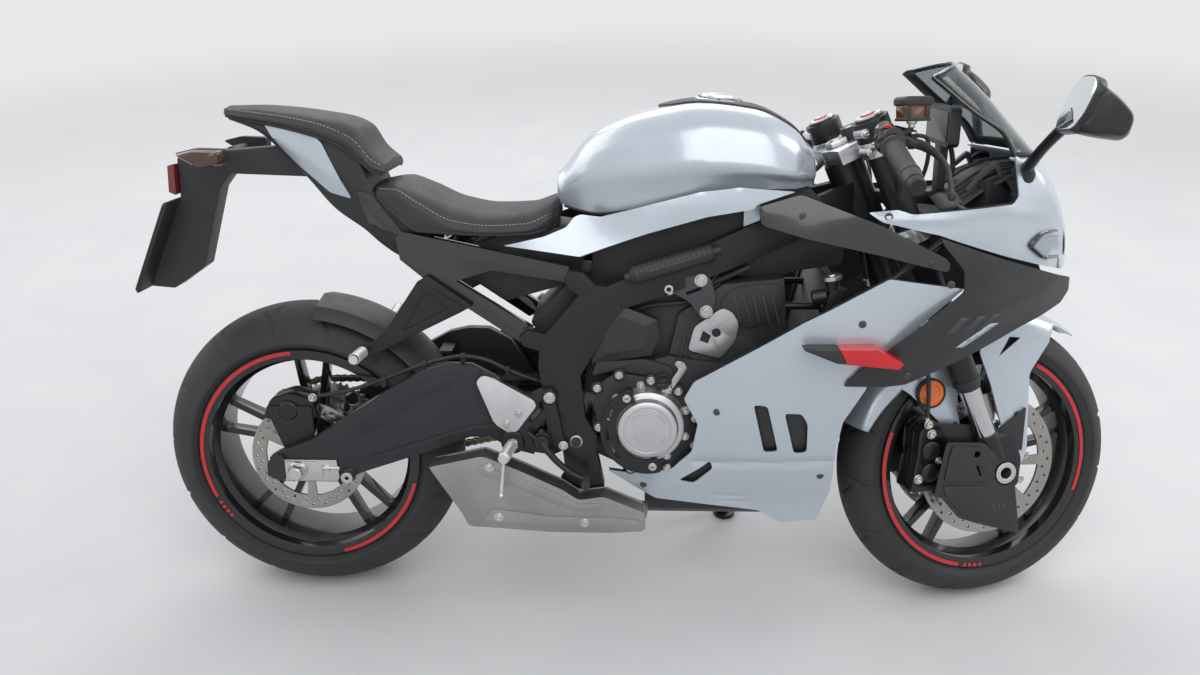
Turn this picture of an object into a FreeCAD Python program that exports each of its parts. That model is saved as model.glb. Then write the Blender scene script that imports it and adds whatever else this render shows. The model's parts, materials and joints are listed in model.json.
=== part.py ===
import FreeCAD, Part
import math
import os
from FreeCAD import Placement, Rotation, Vector

# Middleweight sport bike. Each sub-part is drawn upright in the bike's own frame: X forward from the rear
# axle, Y to the left, Z up from the ground. Its Placement then leans the bike onto its side stand.

os.makedirs("parts", exist_ok=True)
doc = FreeCAD.newDocument("SportBike")
sheet = doc.addObject("Spreadsheet::Sheet", "Sizes")

# alias, value, meaning
SIZES = [
    ("wheelbase", 1400, "axle to axle"),
    ("rake_angle", 24.2, "steering axis from vertical, degrees"),
    ("trail_length", 100, "ground point of the steering axis ahead of the front contact"),
    ("lean_angle", 11, "lean to the left on the side stand, degrees"),
    ("steer_angle", 15, "front wheel turned to the left at rest, degrees"),
    ("rear_tyre_radius", 315, "rear tyre outer radius"),
    ("rear_tyre_width", 180, "rear tyre width"),
    ("rear_shoulder_drop", 67, "rear crown height above the tread edge"),
    ("front_tyre_radius", 300, "front tyre outer radius"),
    ("front_tyre_width", 120, "front tyre width"),
    ("front_shoulder_drop", 44, "front crown height above the tread edge"),
    ("tyre_wall", 9, "tyre wall thickness"),
    ("tyre_facets", 44, "flat facets round each tyre"),
    ("tread_flat", 18, "half width of the flat on each tyre's crown, where the leaning bike stands"),
    ("rim_flange_radius", 232, "radius of both rims at the flange"),
    ("rear_rim_width", 160, "rear rim over the flanges"),
    ("front_rim_width", 108, "front rim over the flanges"),
    ("bead_seat_radius", 218, "radius of the seat under the bead"),
    ("rim_well_radius", 207, "radius of the rim between the seats"),
    ("rim_wall", 6, "rim wall thickness"),
    ("spoke_pairs", 5, "pairs of spokes in each wheel"),
    ("front_axle_radius", 17, "front axle tube outside"),
    ("front_axle_bore", 12, "front axle tube inside"),
    ("rear_axle_radius", 12.5, "rear axle"),
    ("shaft_clearance", 0.05, "radial clearance of shafts in their bores"),
    ("seat_gap", 0.3, "gap between a piece and its seat"),
    ("front_disc_radius", 150, "front brake disc outside"),
    ("rear_disc_radius", 120, "rear brake disc outside"),
    ("disc_thickness", 5, "brake disc thickness"),
    ("front_disc_offset", 62, "front disc centre from the centre plane"),
    ("rear_disc_offset", 79, "rear disc centre from the centre plane"),
    ("disc_hole_radius", 3, "drilled holes in the discs"),
    ("disc_holes", 24, "holes in each ring of a disc"),
    ("fork_spread", 105, "fork tube from the centre plane"),
    ("fork_offset", 31.8, "fork tubes ahead of the steering axis"),
    ("fork_outer_radius", 27, "upper fork tube"),
    ("fork_inner_radius", 20.5, "lower fork tube"),
    ("fork_slide_height", 205, "lower end of the upper tube above the axle, along the fork"),
    ("fork_top_rise", 42, "top of the fork above the top yoke, along the fork"),
    ("lower_yoke_height", 520, "underside of the lower yoke along the fork"),
    ("upper_yoke_height", 700, "underside of the top yoke along the fork"),
    ("yoke_thickness", 30, "yoke thickness along the fork"),
    ("stem_radius", 15, "steering stem"),
    ("head_tube_radius", 38, "head tube outside"),
    ("rear_sprocket_teeth", 43, "rear sprocket teeth"),
    ("drive_sprocket_teeth", 16, "front sprocket teeth"),
    ("chain_pitch", 15.875, "roller spacing"),
    ("chain_links", 114, "rollers in the loop"),
    ("chain_line", 104, "chain centre from the centre plane"),
    ("pivot_x", 565, "swingarm pivot ahead of the rear axle"),
    ("pivot_z", 384, "swingarm pivot above the ground"),
    ("pivot_radius", 10, "swingarm pivot shaft"),
    ("frame_inner", 118, "inner face of the frame plates"),
    ("frame_outer", 148, "outer face of the frame plates"),
    ("arm_inner", 120, "inner face of the swingarm"),
    ("arm_outer", 142, "outer face of the swingarm"),
    ("spool_hole_radius", 4, "threaded hole for a paddock spool"),
    ("spool_hole_depth", 16, "depth of that hole"),
    ("hose_radius", 4, "outer radius of a brake hose"),
    ("spool_boss_radius", 12, "radius of the threaded boss outside the swingarm"),
    ("spool_boss_length", 18, "length of that boss"),
    ("panel_wall", 3, "wall of the plastic panels"),
    ("screen_wall", 3, "wall of the windscreen"),
    ("stand_foot_x", 900, "stand foot ahead of the rear axle, on the ground"),
    ("stand_foot_y", 230, "stand foot to the left, on the ground"),
    ("stand_pivot_x", 780, "stand pivot ahead of the rear axle"),
    ("stand_pivot_y", 128, "stand pivot from the centre plane"),
    ("stand_pivot_z", 208, "stand pivot above the ground"),
    ("stand_leg_radius", 14, "radius of the stand's leg"),
    ("stand_pad_radius", 26, "radius of the stand's foot"),
    ("cap_radius", 40, "fuel cap lid"),
    ("grip_radius", 17, "handlebar grip"),
]
for row, (alias, value, meaning) in enumerate(SIZES, start=1):
    sheet.set("A%d" % row, alias)
    sheet.set("B%d" % row, str(value))
    sheet.set("C%d" % row, meaning)
    sheet.setAlias("B%d" % row, alias)
doc.recompute()


def size(alias):
    return float(sheet.get(alias))


def table(columns, rows):
    """Rows of plain values as dictionaries with named columns."""
    names = columns.split()
    return [dict(zip(names, row)) for row in rows]


Y_AXIS = Vector(0, 1, 0)
GAP = size("seat_gap")
RUN = size("shaft_clearance")


# Shape helpers, all in the bike's own frame
def mirrored(shape):
    return shape.mirror(Vector(0, 0, 0), Y_AXIS)


def pair(*shapes):
    both = []
    for shape in shapes:
        both += shape.Solids + mirrored(shape).Solids
    return Part.makeCompound(both)


def fuse(shapes):
    first = shapes[0]
    return first.fuse(shapes[1:]).removeSplitter() if len(shapes) > 1 else first


def plate(outline, y_low, y_high):
    """Flat piece with an outline of (x, z) points between two lateral planes."""
    points = [Vector(x, y_low, z) for x, z in outline]
    return Part.Face(Part.makePolygon(points + points[:1])).extrude(Vector(0, y_high - y_low, 0))


def cross_plate(outline, x_low, x_high):
    """Flat piece with an outline of (y, z) points between two planes across the bike."""
    points = [Vector(x_low, y, z) for y, z in outline]
    return Part.Face(Part.makePolygon(points + points[:1])).extrude(Vector(x_high - x_low, 0, 0))


def box(x_low, x_high, y_low, y_high, z_low, z_high):
    return Part.makeBox(x_high - x_low, y_high - y_low, z_high - z_low, Vector(x_low, y_low, z_low))


def rod(start, end, radius):
    start = Vector(*start)
    run = Vector(*end) - start
    return Part.makeCylinder(radius, run.Length, start, run)


def disc(x, z, radius, y_low, y_high):
    return rod((x, y_low, z), (x, y_high, z), radius)


def corner_bend(before, corner, after):
    """Turn at a corner of a route, and the radius of the tangent arc there."""
    back = before - corner
    ahead = after - corner
    turn = math.pi - back.getAngle(ahead)
    return turn, 0.45 * min(back.Length, ahead.Length) / math.tan(turn / 2)


def pipe(points, radius):
    """Round pipe along straight runs joined by tangent arcs."""
    points = [Vector(*point) for point in points]
    edges = []
    cursor = points[0]
    for before, corner, after in zip(points, points[1:], points[2:]):
        turn, bend = corner_bend(before, corner, after)
        back = before - corner
        ahead = after - corner
        reach = bend * math.tan(turn / 2)
        back.normalize()
        ahead.normalize()
        first = corner + back * reach
        last = corner + ahead * reach
        inward = back + ahead
        inward.normalize()
        middle = corner + inward * (bend / math.cos(turn / 2) - bend)
        edges.append(Part.makeLine(cursor, first))
        edges.append(Part.Arc(first, middle, last).toShape())
        cursor = last
    edges.append(Part.makeLine(cursor, points[-1]))
    path = Part.Wire(edges)
    profile = Part.Wire([Part.makeCircle(radius, points[0], points[1] - points[0])])
    return path.makePipeShell([profile], True, False)


def hose(points, radius):
    """Pipe along a hose's route; prints the bend radii."""
    route = [Vector(*point) for point in points]
    radii = [round(corner_bend(*corner)[1]) for corner in zip(route, route[1:], route[2:])]
    print("hose bend radii", radii)
    return pipe(points, radius)


def loft(sections):
    """Solid through closed sections with equal numbers of points."""
    wires = [Part.makePolygon([Vector(*p) for p in section + section[:1]]) for section in sections]
    return Part.makeLoft(wires, True, True)


def hull(rows):
    """Symmetric body: each row is x and its (half width, z) points from the top down."""
    sections = []
    for x, points in rows:
        left = [(x, half, z) for half, z in points]
        right = [(x, -half, z) for half, z in reversed(points)]
        sections.append(left + right)
    return loft(sections)


def thick_grid(grid, wall, shift=0.0):
    """Solid sheet whose outer surface passes through a grid of points; the wall lies behind it."""
    rows = len(grid)
    columns = len(grid[0])
    inner = []
    outer = []
    for i in range(rows):
        line = []
        edge = []
        for j in range(columns):
            along = grid[min(i + 1, rows - 1)][j] - grid[max(i - 1, 0)][j]
            across = grid[i][min(j + 1, columns - 1)] - grid[i][max(j - 1, 0)]
            normal = along.cross(across)
            normal.normalize()
            line.append(grid[i][j] + normal * (shift - wall))
            edge.append(grid[i][j] + normal * shift)
        inner.append(line)
        outer.append(edge)
    grid = outer
    corners = []
    for i in range(rows - 1):
        for j in range(columns - 1):
            for face in (grid, inner):
                corners.append((face[i][j], face[i + 1][j], face[i + 1][j + 1]))
                corners.append((face[i][j], face[i + 1][j + 1], face[i][j + 1]))
    rim = [(i, 0) for i in range(rows)] + [(rows - 1, j) for j in range(1, columns)]
    rim += [(i, columns - 1) for i in range(rows - 2, -1, -1)] + [(0, j) for j in range(columns - 2, 0, -1)]
    for (i, j), (k, m) in zip(rim, rim[1:] + rim[:1]):
        corners.append((grid[i][j], grid[k][m], inner[k][m]))
        corners.append((grid[i][j], inner[k][m], inner[i][j]))
    faces = [Part.Face(Part.makePolygon([a, b, c, a])) for a, b, c in corners]
    shell = Part.makeCompound(faces)
    shell.sewShape()
    solid = Part.makeSolid(shell.Shells[0])
    if solid.Volume < 0:
        solid.reverse()
    return solid


def skin(name, wall=None, shift=0.0):
    """Left half of a body skin, from its table of half widths; shift moves its outer surface outward."""
    table_x, table_z, halves = SKINS[name]
    grid = [[Vector(x, halves[j][i], z) for i, x in enumerate(table_x)] for j, z in enumerate(table_z)]
    return thick_grid(grid, size("panel_wall") if wall is None else wall, shift)


def beyond(name, wall):
    """Space outside a panel's inner face, with the seat gap; a bracket is cut back from it."""
    return skin(name, -80, -wall - GAP)


def within(name):
    """Space inside a panel's outer face, with the seat gap."""
    return skin(name, 60, GAP)


def panel(outline, skin_name, slots=(), wall=None):
    """Left panel with a side outline, cut from a body skin."""
    piece = skin(skin_name, wall).common(plate(outline, 1, 400))
    for slot in slots:
        piece = piece.cut(plate(slot, 1, 400))
    return piece


def hull_panel(outline, rows, wall):
    """Left panel lying on a hull's side, with a side outline."""
    def widened(extra):
        return hull([(x, [(half + extra, z) for half, z in points]) for x, points in rows])
    return widened(GAP + wall).cut(widened(GAP)).common(plate(outline, 1, 400))


def ring_solid(profile, x, z, angle=360, start=0):
    """Turned piece about a lateral axis; the profile holds (y, r) points."""
    points = [Vector(x, y, z + r) for y, r in profile]
    face = Part.Face(Part.makePolygon(points + points[:1]))
    face = face.rotate(Vector(x, 0, z), Y_AXIS, 90 - start) if start or angle < 360 else face
    return face.revolve(Vector(x, 0, z), Vector(0, -1, 0), angle)


# Body skins: x columns, z rows, half width at each crossing
SKINS = {
    "fairing": ([600, 760, 900, 1000, 1060, 1140, 1200, 1300],
                [180, 250, 320, 400, 480, 560, 640, 740, 860],
                [[105, 110, 115, 118, 118, 118, 118, 118],
                 [125, 132, 138, 140, 138, 135, 130, 125],
                 [140, 155, 170, 175, 172, 165, 160, 150],
                 [150, 172, 200, 208, 205, 195, 180, 165],
                 [155, 182, 215, 226, 226, 215, 195, 175],
                 [158, 186, 220, 236, 240, 232, 215, 195],
                 [160, 186, 222, 240, 248, 246, 235, 215],
                 [150, 170, 205, 228, 240, 246, 242, 230],
                 [120, 135, 165, 190, 205, 215, 215, 205]]),
    "wing": ([1040, 1140, 1220, 1300, 1380, 1440, 1500, 1560],
             [530, 640, 700, 760, 840],
             [[243, 236, 216, 178, 130, 100, 60, 20],
              [256, 258, 246, 218, 172, 135, 85, 30],
              [256, 260, 254, 232, 188, 148, 95, 35],
              [250, 254, 250, 230, 188, 150, 100, 40],
              [232, 234, 230, 212, 178, 145, 100, 40]]),
    "nose": ([1090, 1180, 1260, 1350, 1400, 1450, 1500, 1550],
             [680, 760, 820, 870, 920, 970],
             [[226, 228, 215, 185, 150, 112, 62, 15],
              [222, 224, 212, 184, 152, 116, 68, 18],
              [212, 214, 203, 177, 148, 114, 70, 20],
              [196, 198, 188, 164, 138, 108, 66, 18],
              [172, 174, 166, 146, 124, 96, 58, 12],
              [145, 148, 142, 126, 108, 82, 46, 5]]),
    "upper": ([880, 980, 1120, 1200, 1290],
              [700, 780, 840, 900],
              [[160, 186, 222, 232, 232],
               [156, 180, 214, 224, 224],
               [146, 168, 202, 208, 208],
               [132, 152, 186, 192, 192]]),
    "cover": ([420, 560, 700, 820, 940, 1080],
              [690, 740, 800, 850, 900],
              [[140, 160, 165, 165, 172, 184],
               [138, 152, 160, 162, 170, 182],
               [132, 128, 150, 160, 168, 180],
               [120, 108, 142, 158, 162, 170],
               [100, 95, 128, 150, 155, 160]]),
}

# Side outlines of the panels, (x, z)
OUTLINES = {
    "side_panel": [(775, 490), (793, 527), (982, 655), (1133, 743), (1269, 723), (1167, 627), (1068, 547),
                   (1112, 535), (1073, 459), (1068, 402), (1072, 280), (1055, 209), (982, 200), (933, 231),
                   (725, 255), (627, 321), (674, 316), (753, 328), (793, 375), (803, 439)],
    "slot_upper_rear": [(905, 491), (931, 490), (957, 391), (931, 387)],
    "slot_upper_front": [(963, 477), (995, 477), (1008, 455), (1012, 390), (988, 387)],
    "slot_lower": [(770, 304), (831, 354), (836, 339), (800, 298)],
    "wing_panel": [(1219, 816), (1517, 712), (1525, 683), (1507, 661), (1413, 633), (1357, 609), (1181, 540),
                   (1140, 537), (1065, 539), (1089, 568), (1159, 632), (1267, 720), (1264, 758), (1225, 803)],
    "nose_side": [(1096, 855), (1148, 860), (1175, 852), (1366, 864), (1379, 876), (1371, 949), (1428, 912),
                  (1469, 852), (1500, 798), (1516, 719), (1251, 806), (1226, 815), (1122, 838)],
    "upper_side": [(906, 855), (982, 880), (1120, 832), (1243, 773), (1241, 752), (1121, 779), (983, 804),
                   (912, 823)],
    "lower_tank_cover": [(429, 777), (506, 794), (548, 811), (562, 829), (575, 834), (613, 831), (718, 861),
                         (798, 883), (870, 892), (972, 885), (902, 861), (897, 853), (812, 838),
                         (700, 804), (574, 759)],
    "tail_side": [(-35, 998), (62, 979), (79, 964), (95, 930), (129, 857), (87, 868), (27, 919), (-9, 957)],
}

# Positions of the whole bike
rake = math.radians(size("rake_angle"))
steer_axis = Vector(-math.sin(rake), 0, math.cos(rake))
steer_foot = Vector(size("wheelbase") + size("trail_length"), 0, 0)
front_centre = Vector(size("wheelbase"), 0, size("front_tyre_radius"))
rear_centre = Vector(0, 0, size("rear_tyre_radius"))
turn_steering = Placement(Vector(0, 0, 0), Rotation(steer_axis, size("steer_angle")), steer_foot)


def crown_radius(name):
    half = size(name + "_tyre_width") / 2
    drop = size(name + "_shoulder_drop")
    return (half * half + drop * drop) / (2 * drop)


def lowest(place, centre, name):
    """World point where a leaning tyre meets the ground."""
    crown = crown_radius(name)
    axle = place.Rotation.multVec(Y_AXIS)
    down = Vector(0, 0, -1) - axle * axle.dot(Vector(0, 0, -1))
    down.normalize()
    return place.multVec(centre) + down * (size(name + "_tyre_radius") - crown) + Vector(0, 0, -crown)


# The lean is known; pitch and lift follow from both tyres standing on the ground
lean = Rotation(Vector(1, 0, 0), -size("lean_angle"))
chassis_place = Placement(Vector(0, 0, 0), lean)
for step in range(6):
    rear_low = lowest(chassis_place, rear_centre, "rear")
    front_low = lowest(chassis_place * turn_steering, front_centre, "front")
    slope = math.atan2(front_low.z - rear_low.z, front_low.x - rear_low.x)
    pitch = Placement(Vector(0, 0, 0), Rotation(Y_AXIS, math.degrees(slope)))
    chassis_place = pitch * chassis_place
    rear_low = lowest(chassis_place, rear_centre, "rear")
    chassis_place = Placement(Vector(0, 0, -rear_low.z), Rotation()) * chassis_place
steering_place = chassis_place * turn_steering

nodes = []


def add(name, shape, on="chassis"):
    """Sub-part whose shape comes from the code; it reads its sizes from the sheet."""
    feature = doc.addObject("Part::Feature", name)
    feature.Label = name
    feature.Shape = Part.makeCompound(shape.Solids)
    nodes.append((feature, on))
    return feature


# Wheels
def tyre_profile(name):
    half = size(name + "_tyre_width") / 2
    radius = size(name + "_tyre_radius")
    shoulder = radius - size(name + "_shoulder_drop")
    seat = size("bead_seat_radius") + GAP
    flange = size("rim_flange_radius") + 2
    bead = size(name + "_rim_width") / 2 - 7 - 3 * GAP
    wall = size("tyre_wall")
    inner = bead - wall
    return half, radius, shoulder, seat, flange, bead, wall, inner


def tyre_shape(name):
    """Tyre about its own centre: a hollow ring of flat facets, few enough to stay light."""
    half, radius, shoulder, seat, flange, bead, wall, inner = tyre_profile(name)
    count = int(size("tyre_facets"))
    seat = seat / math.cos(math.pi / count)
    rise = radius - shoulder
    crown = (half * half + rise * rise) / (2 * rise)
    tread = size("tread_flat")
    tread_radius = radius - crown + math.sqrt(crown * crown - tread * tread)
    outside = [(bead, seat), (bead, flange), (half, shoulder), (0.62 * half, shoulder + 0.68 * rise),
               (tread, tread_radius)]
    inside = [(inner, seat), (half - wall, shoulder), (0, radius - wall)]
    profile = outside + [(-y, r) for y, r in outside[::-1]]
    profile += [(-y, r) for y, r in inside] + inside[-2::-1]
    rings = []
    for y, r in profile:
        angles = [2 * math.pi * k / count for k in range(count)]
        rings.append([Vector(r * math.cos(a), y, r * math.sin(a)) for a in angles])
    faces = []
    for here, ahead in zip(rings, rings[1:] + rings[:1]):
        for k in range(count):
            beside = (k + 1) % count
            faces.append(Part.Face(Part.makePolygon([here[k], here[beside], ahead[beside], ahead[k], here[k]])))
    return Part.Solid(Part.Shell(faces))


def rim_shape(name, hub_low, hub_high, hub_radius, bore, collar=None):
    """Cast wheel: turned barrel and hub joined by pairs of spokes, about its own centre."""
    half = size(name + "_rim_width") / 2
    flange = size("rim_flange_radius")
    seat = size("bead_seat_radius")
    well = size("rim_well_radius")
    wall = size("rim_wall")
    barrel = [(-half, flange), (5 - half, flange), (7 - half, seat), (26 - half, seat), (36 - half, well),
              (half - 36, well), (half - 26, seat), (half - 7, seat), (half - 5, flange), (half, flange),
              (half - 2, seat - wall), (half - 24, seat - wall), (half - 34, well - wall),
              (34 - half, well - wall), (24 - half, seat - wall), (2 - half, seat - wall)]
    pieces = [ring_solid(barrel, 0, 0), disc(0, 0, hub_radius, hub_low, hub_high)]
    if collar:
        pieces.append(disc(0, 0, collar[0], collar[1], collar[2]))
    root = hub_radius - 6
    tip = well - wall / 2
    count = int(size("spoke_pairs"))
    # station radius, tangential offset, half thickness, half depth
    stations = table("radius offset half_width half_depth",
                     [(root, 9, 9, 24), (80, 14, 7, 17), (tip, 33, 6.5, 13)])
    for index in range(count):
        for side in (-1, 1):
            sections = []
            for s in stations:
                low = side * s["offset"] - s["half_width"]
                high = side * s["offset"] + s["half_width"]
                deep = s["half_depth"]
                corners = [(low, -deep), (high, -deep), (high, deep), (low, deep)]
                sections.append([(x, y, s["radius"]) for x, y in corners])
            spoke = loft(sections)
            spoke.rotate(Vector(0, 0, 0), Y_AXIS, index * 360 / count)
            pieces.append(spoke)
    return fuse(pieces).cut(disc(0, 0, bore, hub_low - 50, hub_high + 50))


def disc_body(name, outer, inner, hub, bore, offset, arms):
    """Drilled brake disc with its carrier: padded sketches and patterned holes."""
    body = doc.addObject("PartDesign::Body", name)
    thickness = size("disc_thickness")

    def sketch_on(label):
        made = body.newObject("Sketcher::SketchObject", name + label)
        plane = [f for f in body.Origin.OriginFeatures if f.Role == "XZ_Plane"][0]
        made.AttachmentSupport = (plane, [""])
        made.MapMode = "FlatFace"
        made.AttachmentOffset = Placement(Vector(0, 0, -offset - thickness / 2), Rotation())
        return made

    def ring_pad(label, big, small):
        made = sketch_on(label)
        made.addGeometry([Part.Circle(Vector(0, 0, 0), Vector(0, 0, 1), big),
                          Part.Circle(Vector(0, 0, 0), Vector(0, 0, 1), small)])
        pad = body.newObject("PartDesign::Pad", name + label + "_pad")
        pad.Profile = made
        pad.setExpression("Length", "Sizes.disc_thickness")
        return pad

    ring_pad("_band", outer, inner)
    arm = sketch_on("_arm")
    corners = [Vector(-7, hub - 3, 0), Vector(7, hub - 3, 0), Vector(11, inner + 3, 0), Vector(-11, inner + 3, 0)]
    arm.addGeometry([Part.LineSegment(a, b) for a, b in zip(corners, corners[1:] + corners[:1])])
    arm_pad = body.newObject("PartDesign::Pad", name + "_arm_pad")
    arm_pad.Profile = arm
    arm_pad.setExpression("Length", "Sizes.disc_thickness")
    arm_ring = body.newObject("PartDesign::PolarPattern", name + "_arms")
    arm_ring.Originals = [arm_pad]
    arm_ring.Axis = (arm, ["N_Axis"])
    arm_ring.Angle = 360
    arm_ring.Occurrences = arms
    body.Tip = arm_ring
    ring_pad("_hub", hub, bore)
    drill = sketch_on("_drill")
    step = (outer - inner) / 3
    turn = math.pi / size("disc_holes")
    low = inner + step
    high = outer - step
    hole = size("disc_hole_radius")
    drill.addGeometry([Part.Circle(Vector(0, high, 0), Vector(0, 0, 1), hole),
                       Part.Circle(Vector(low * math.sin(turn), low * math.cos(turn), 0), Vector(0, 0, 1), hole)])
    pocket = body.newObject("PartDesign::Pocket", name + "_drilled")
    pocket.Profile = drill
    pocket.Type = "ThroughAll"
    pocket.Midplane = True
    holes = body.newObject("PartDesign::PolarPattern", name + "_holes")
    holes.Originals = [pocket]
    holes.Axis = (drill, ["N_Axis"])
    holes.Angle = 360
    holes.setExpression("Occurrences", "Sizes.disc_holes")
    body.Tip = holes
    return body


add("rear_tyre", tyre_shape("rear"), "rear_wheel")
add("front_tyre", tyre_shape("front"), "front_wheel")
rear_centre_place = Placement(rear_centre, Rotation())
front_centre_place = Placement(front_centre, Rotation())

rear_bore = size("rear_axle_radius") + RUN
front_bore = size("front_axle_radius") + RUN
chain_y = size("chain_line")
rear_disc_y = -size("rear_disc_offset")
half_disc = size("disc_thickness") / 2
rear_hub_low = rear_disc_y + half_disc + GAP
rear_rim = rim_shape("rear", rear_hub_low, 62, 36, rear_bore, collar=(62, 40, chain_y - 3 - GAP))
front_hub = size("front_disc_offset") - half_disc - GAP
front_rim = rim_shape("front", -front_hub, front_hub, 34, front_bore)
add("rear_rim", rear_rim, "rear_wheel")
add("front_rim", front_rim, "front_wheel")
rear_disc = disc_body("rear_disc", size("rear_disc_radius"), 90, 48, 26, rear_disc_y, 6)
front_disc = disc_body("front_disc_left", size("front_disc_radius"), 118, 52, 30, size("front_disc_offset"), 8)


# Roller chain and its rear sprocket: every tooth gap and every roller comes from the pitch
def pitch_radius(teeth):
    return size("chain_pitch") / (2 * math.sin(math.pi / teeth))


teeth = int(size("rear_sprocket_teeth"))
rear_pitch = pitch_radius(teeth)
drive_pitch = pitch_radius(size("drive_sprocket_teeth"))
roller = size("chain_pitch") * 0.32
tooth_tip = rear_pitch - roller - 2 * GAP


def sprocket_shape():
    """Toothed ring with curved gaps, five windows and a bore, about its own centre."""
    step = 2 * math.pi / teeth
    root = tooth_tip - 6
    edges = []

    def at(radius, angle):
        return Vector(radius * math.sin(angle), chain_y - 3, radius * math.cos(angle))

    for index in range(teeth):
        middle = index * step
        left = at(tooth_tip, middle - 0.36 * step)
        right = at(tooth_tip, middle + 0.36 * step)
        edges.append(Part.Arc(left, at(root, middle), right).toShape())
        edges.append(Part.makeLine(right, at(tooth_tip, middle + 0.64 * step)))
    blank = Part.Face(Part.Wire(edges)).extrude(Vector(0, 6, 0))
    for index in range(5):
        angle = index * 72 + 36
        window = disc(0, 76, 15, chain_y - 10, chain_y + 10)
        blank = blank.cut(window.rotate(Vector(0, 0, 0), Y_AXIS, angle))
    return blank.cut(disc(0, 0, 32, chain_y - 10, chain_y + 10))


add("rear_sprocket", sprocket_shape(), "rear_wheel")


def drive_distance():
    """Centre distance at which the loop holds a whole number of links."""
    wanted = size("chain_links") * size("chain_pitch")
    low, high = 300.0, 1200.0
    for step in range(60):
        span = (low + high) / 2
        slant = math.asin((rear_pitch - drive_pitch) / span)
        loop = 2 * span * math.cos(slant) + rear_pitch * (math.pi + 2 * slant) + drive_pitch * (math.pi - 2 * slant)
        low, high = (span, high) if loop < wanted else (low, span)
    return span, slant


drive_span, chain_slant = drive_distance()
drive_rise = math.atan2(395 - rear_centre.z, 660)
drive_centre = rear_centre + Vector(drive_span * math.cos(drive_rise), 0, drive_span * math.sin(drive_rise))


def chain_point(distance, offset=0.0):
    """Point on the loop at a distance along it, with an outward offset; starts on top of the rear sprocket."""
    forward = Vector(math.cos(drive_rise), 0, math.sin(drive_rise))
    upward = Vector(-math.sin(drive_rise), 0, math.cos(drive_rise))
    straight = drive_span * math.cos(chain_slant)
    front_arc = drive_pitch * (math.pi - 2 * chain_slant)

    def polar(centre, radius, angle):
        return centre + forward * (radius * math.sin(angle)) + upward * (radius * math.cos(angle))

    if distance < straight:
        start = polar(rear_centre, rear_pitch + offset, chain_slant)
        end = polar(drive_centre, drive_pitch + offset, chain_slant)
        return start + (end - start) * (distance / straight)
    distance -= straight
    if distance < front_arc:
        return polar(drive_centre, drive_pitch + offset, chain_slant + distance / drive_pitch)
    distance -= front_arc
    if distance < straight:
        start = polar(drive_centre, drive_pitch + offset, math.pi - chain_slant)
        end = polar(rear_centre, rear_pitch + offset, math.pi - chain_slant)
        return start + (end - start) * (distance / straight)
    distance -= straight
    return polar(rear_centre, rear_pitch + offset, math.pi - chain_slant + distance / rear_pitch)


def chain_band(offset, y_low, y_high):
    """Filled outline of the loop at an offset: straight from pin to pin on the sprockets."""
    straight = drive_span * math.cos(chain_slant)
    front_arc = drive_pitch * (math.pi - 2 * chain_slant)
    rear_arc = rear_pitch * (math.pi + 2 * chain_slant)
    marks = [(straight, front_arc), (2 * straight + front_arc, rear_arc)]
    points = []
    for start, length in marks:
        links = round(length / size("chain_pitch"))
        points += [chain_point(start + length * (0.0001 + 0.9998 * k / links), offset) for k in range(links + 1)]
    lift = Vector(0, y_low, 0)
    loop = Part.makePolygon([p + lift for p in points + points[:1]])
    return Part.Face(loop).extrude(Vector(0, y_high - y_low, 0))


def chain_shape():
    bands = []
    for low, high in ((-9, -6), (6, 9)):
        ring = chain_band(7, chain_y + low, chain_y + high)
        ring = ring.cut(chain_band(-7, chain_y + low - 1, chain_y + high + 1))
        bands.append(ring)
    pins = []
    for index in range(int(size("chain_links"))):
        centre = chain_point(index * size("chain_pitch"))
        points = [centre + Vector(roller * math.cos(a), chain_y - 7.5, roller * math.sin(a))
                  for a in [math.radians(72 * k) for k in range(5)]]
        pins.append(Part.Face(Part.makePolygon(points + points[:1])).extrude(Vector(0, 15, 0)))
    return bands[0].fuse([bands[1]] + pins)


add("chain", chain_shape())

# Swingarm, rear axle and shock
pivot = (size("pivot_x"), size("pivot_z"))
arm_in = size("arm_inner")
arm_out = size("arm_outer")
ARM_OUTLINE = [(-60, 338), (-42, 349), (28, 376), (100, 425), (207, 496), (269, 530), (311, 540), (359, 539),
               (405, 514), (455, 440), (480, 412), (480, 352), (440, 362), (391, 389), (352, 388), (259, 353),
               (132, 309), (81, 286), (-39, 286), (-60, 292)]
axle_z = rear_centre.z
spool_x, spool_z = 100, 302
spool_root = arm_out + GAP
spool_face = spool_root + size("spool_boss_length")


def swingarm_shape():
    pieces = []
    for side in (-1, 1):
        low, high = sorted((side * arm_in, side * arm_out))
        pieces.append(plate(ARM_OUTLINE, low, high))
    pieces.append(box(418, 500, -(arm_in + 4), arm_in + 4, 354, 408))
    pieces.append(box(480, pivot[0], -(frame_in - 4), frame_in - 4, 362, 406))
    pieces.append(disc(pivot[0], pivot[1], 30, -(frame_in - 4), frame_in - 4))
    pieces.append(disc(pivot[0], pivot[1], size("pivot_radius"), -frame_out - 6, frame_out + 6))
    pieces.append(plate([(470, 400), (530, 400), (512, 446), (488, 446)], -14, 14))
    body = fuse(pieces)
    return body.cut(disc(0, axle_z, rear_bore, -200, 200))


frame_in = size("frame_inner")
frame_out = size("frame_outer")
add("swingarm", swingarm_shape())

boss = disc(spool_x, spool_z, size("spool_boss_radius"), spool_root, spool_face)
hole_floor = spool_face - size("spool_hole_depth")
boss = boss.cut(disc(spool_x, spool_z, size("spool_hole_radius"), hole_floor, spool_face + 1))
add("spool_bosses", pair(boss))

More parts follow.
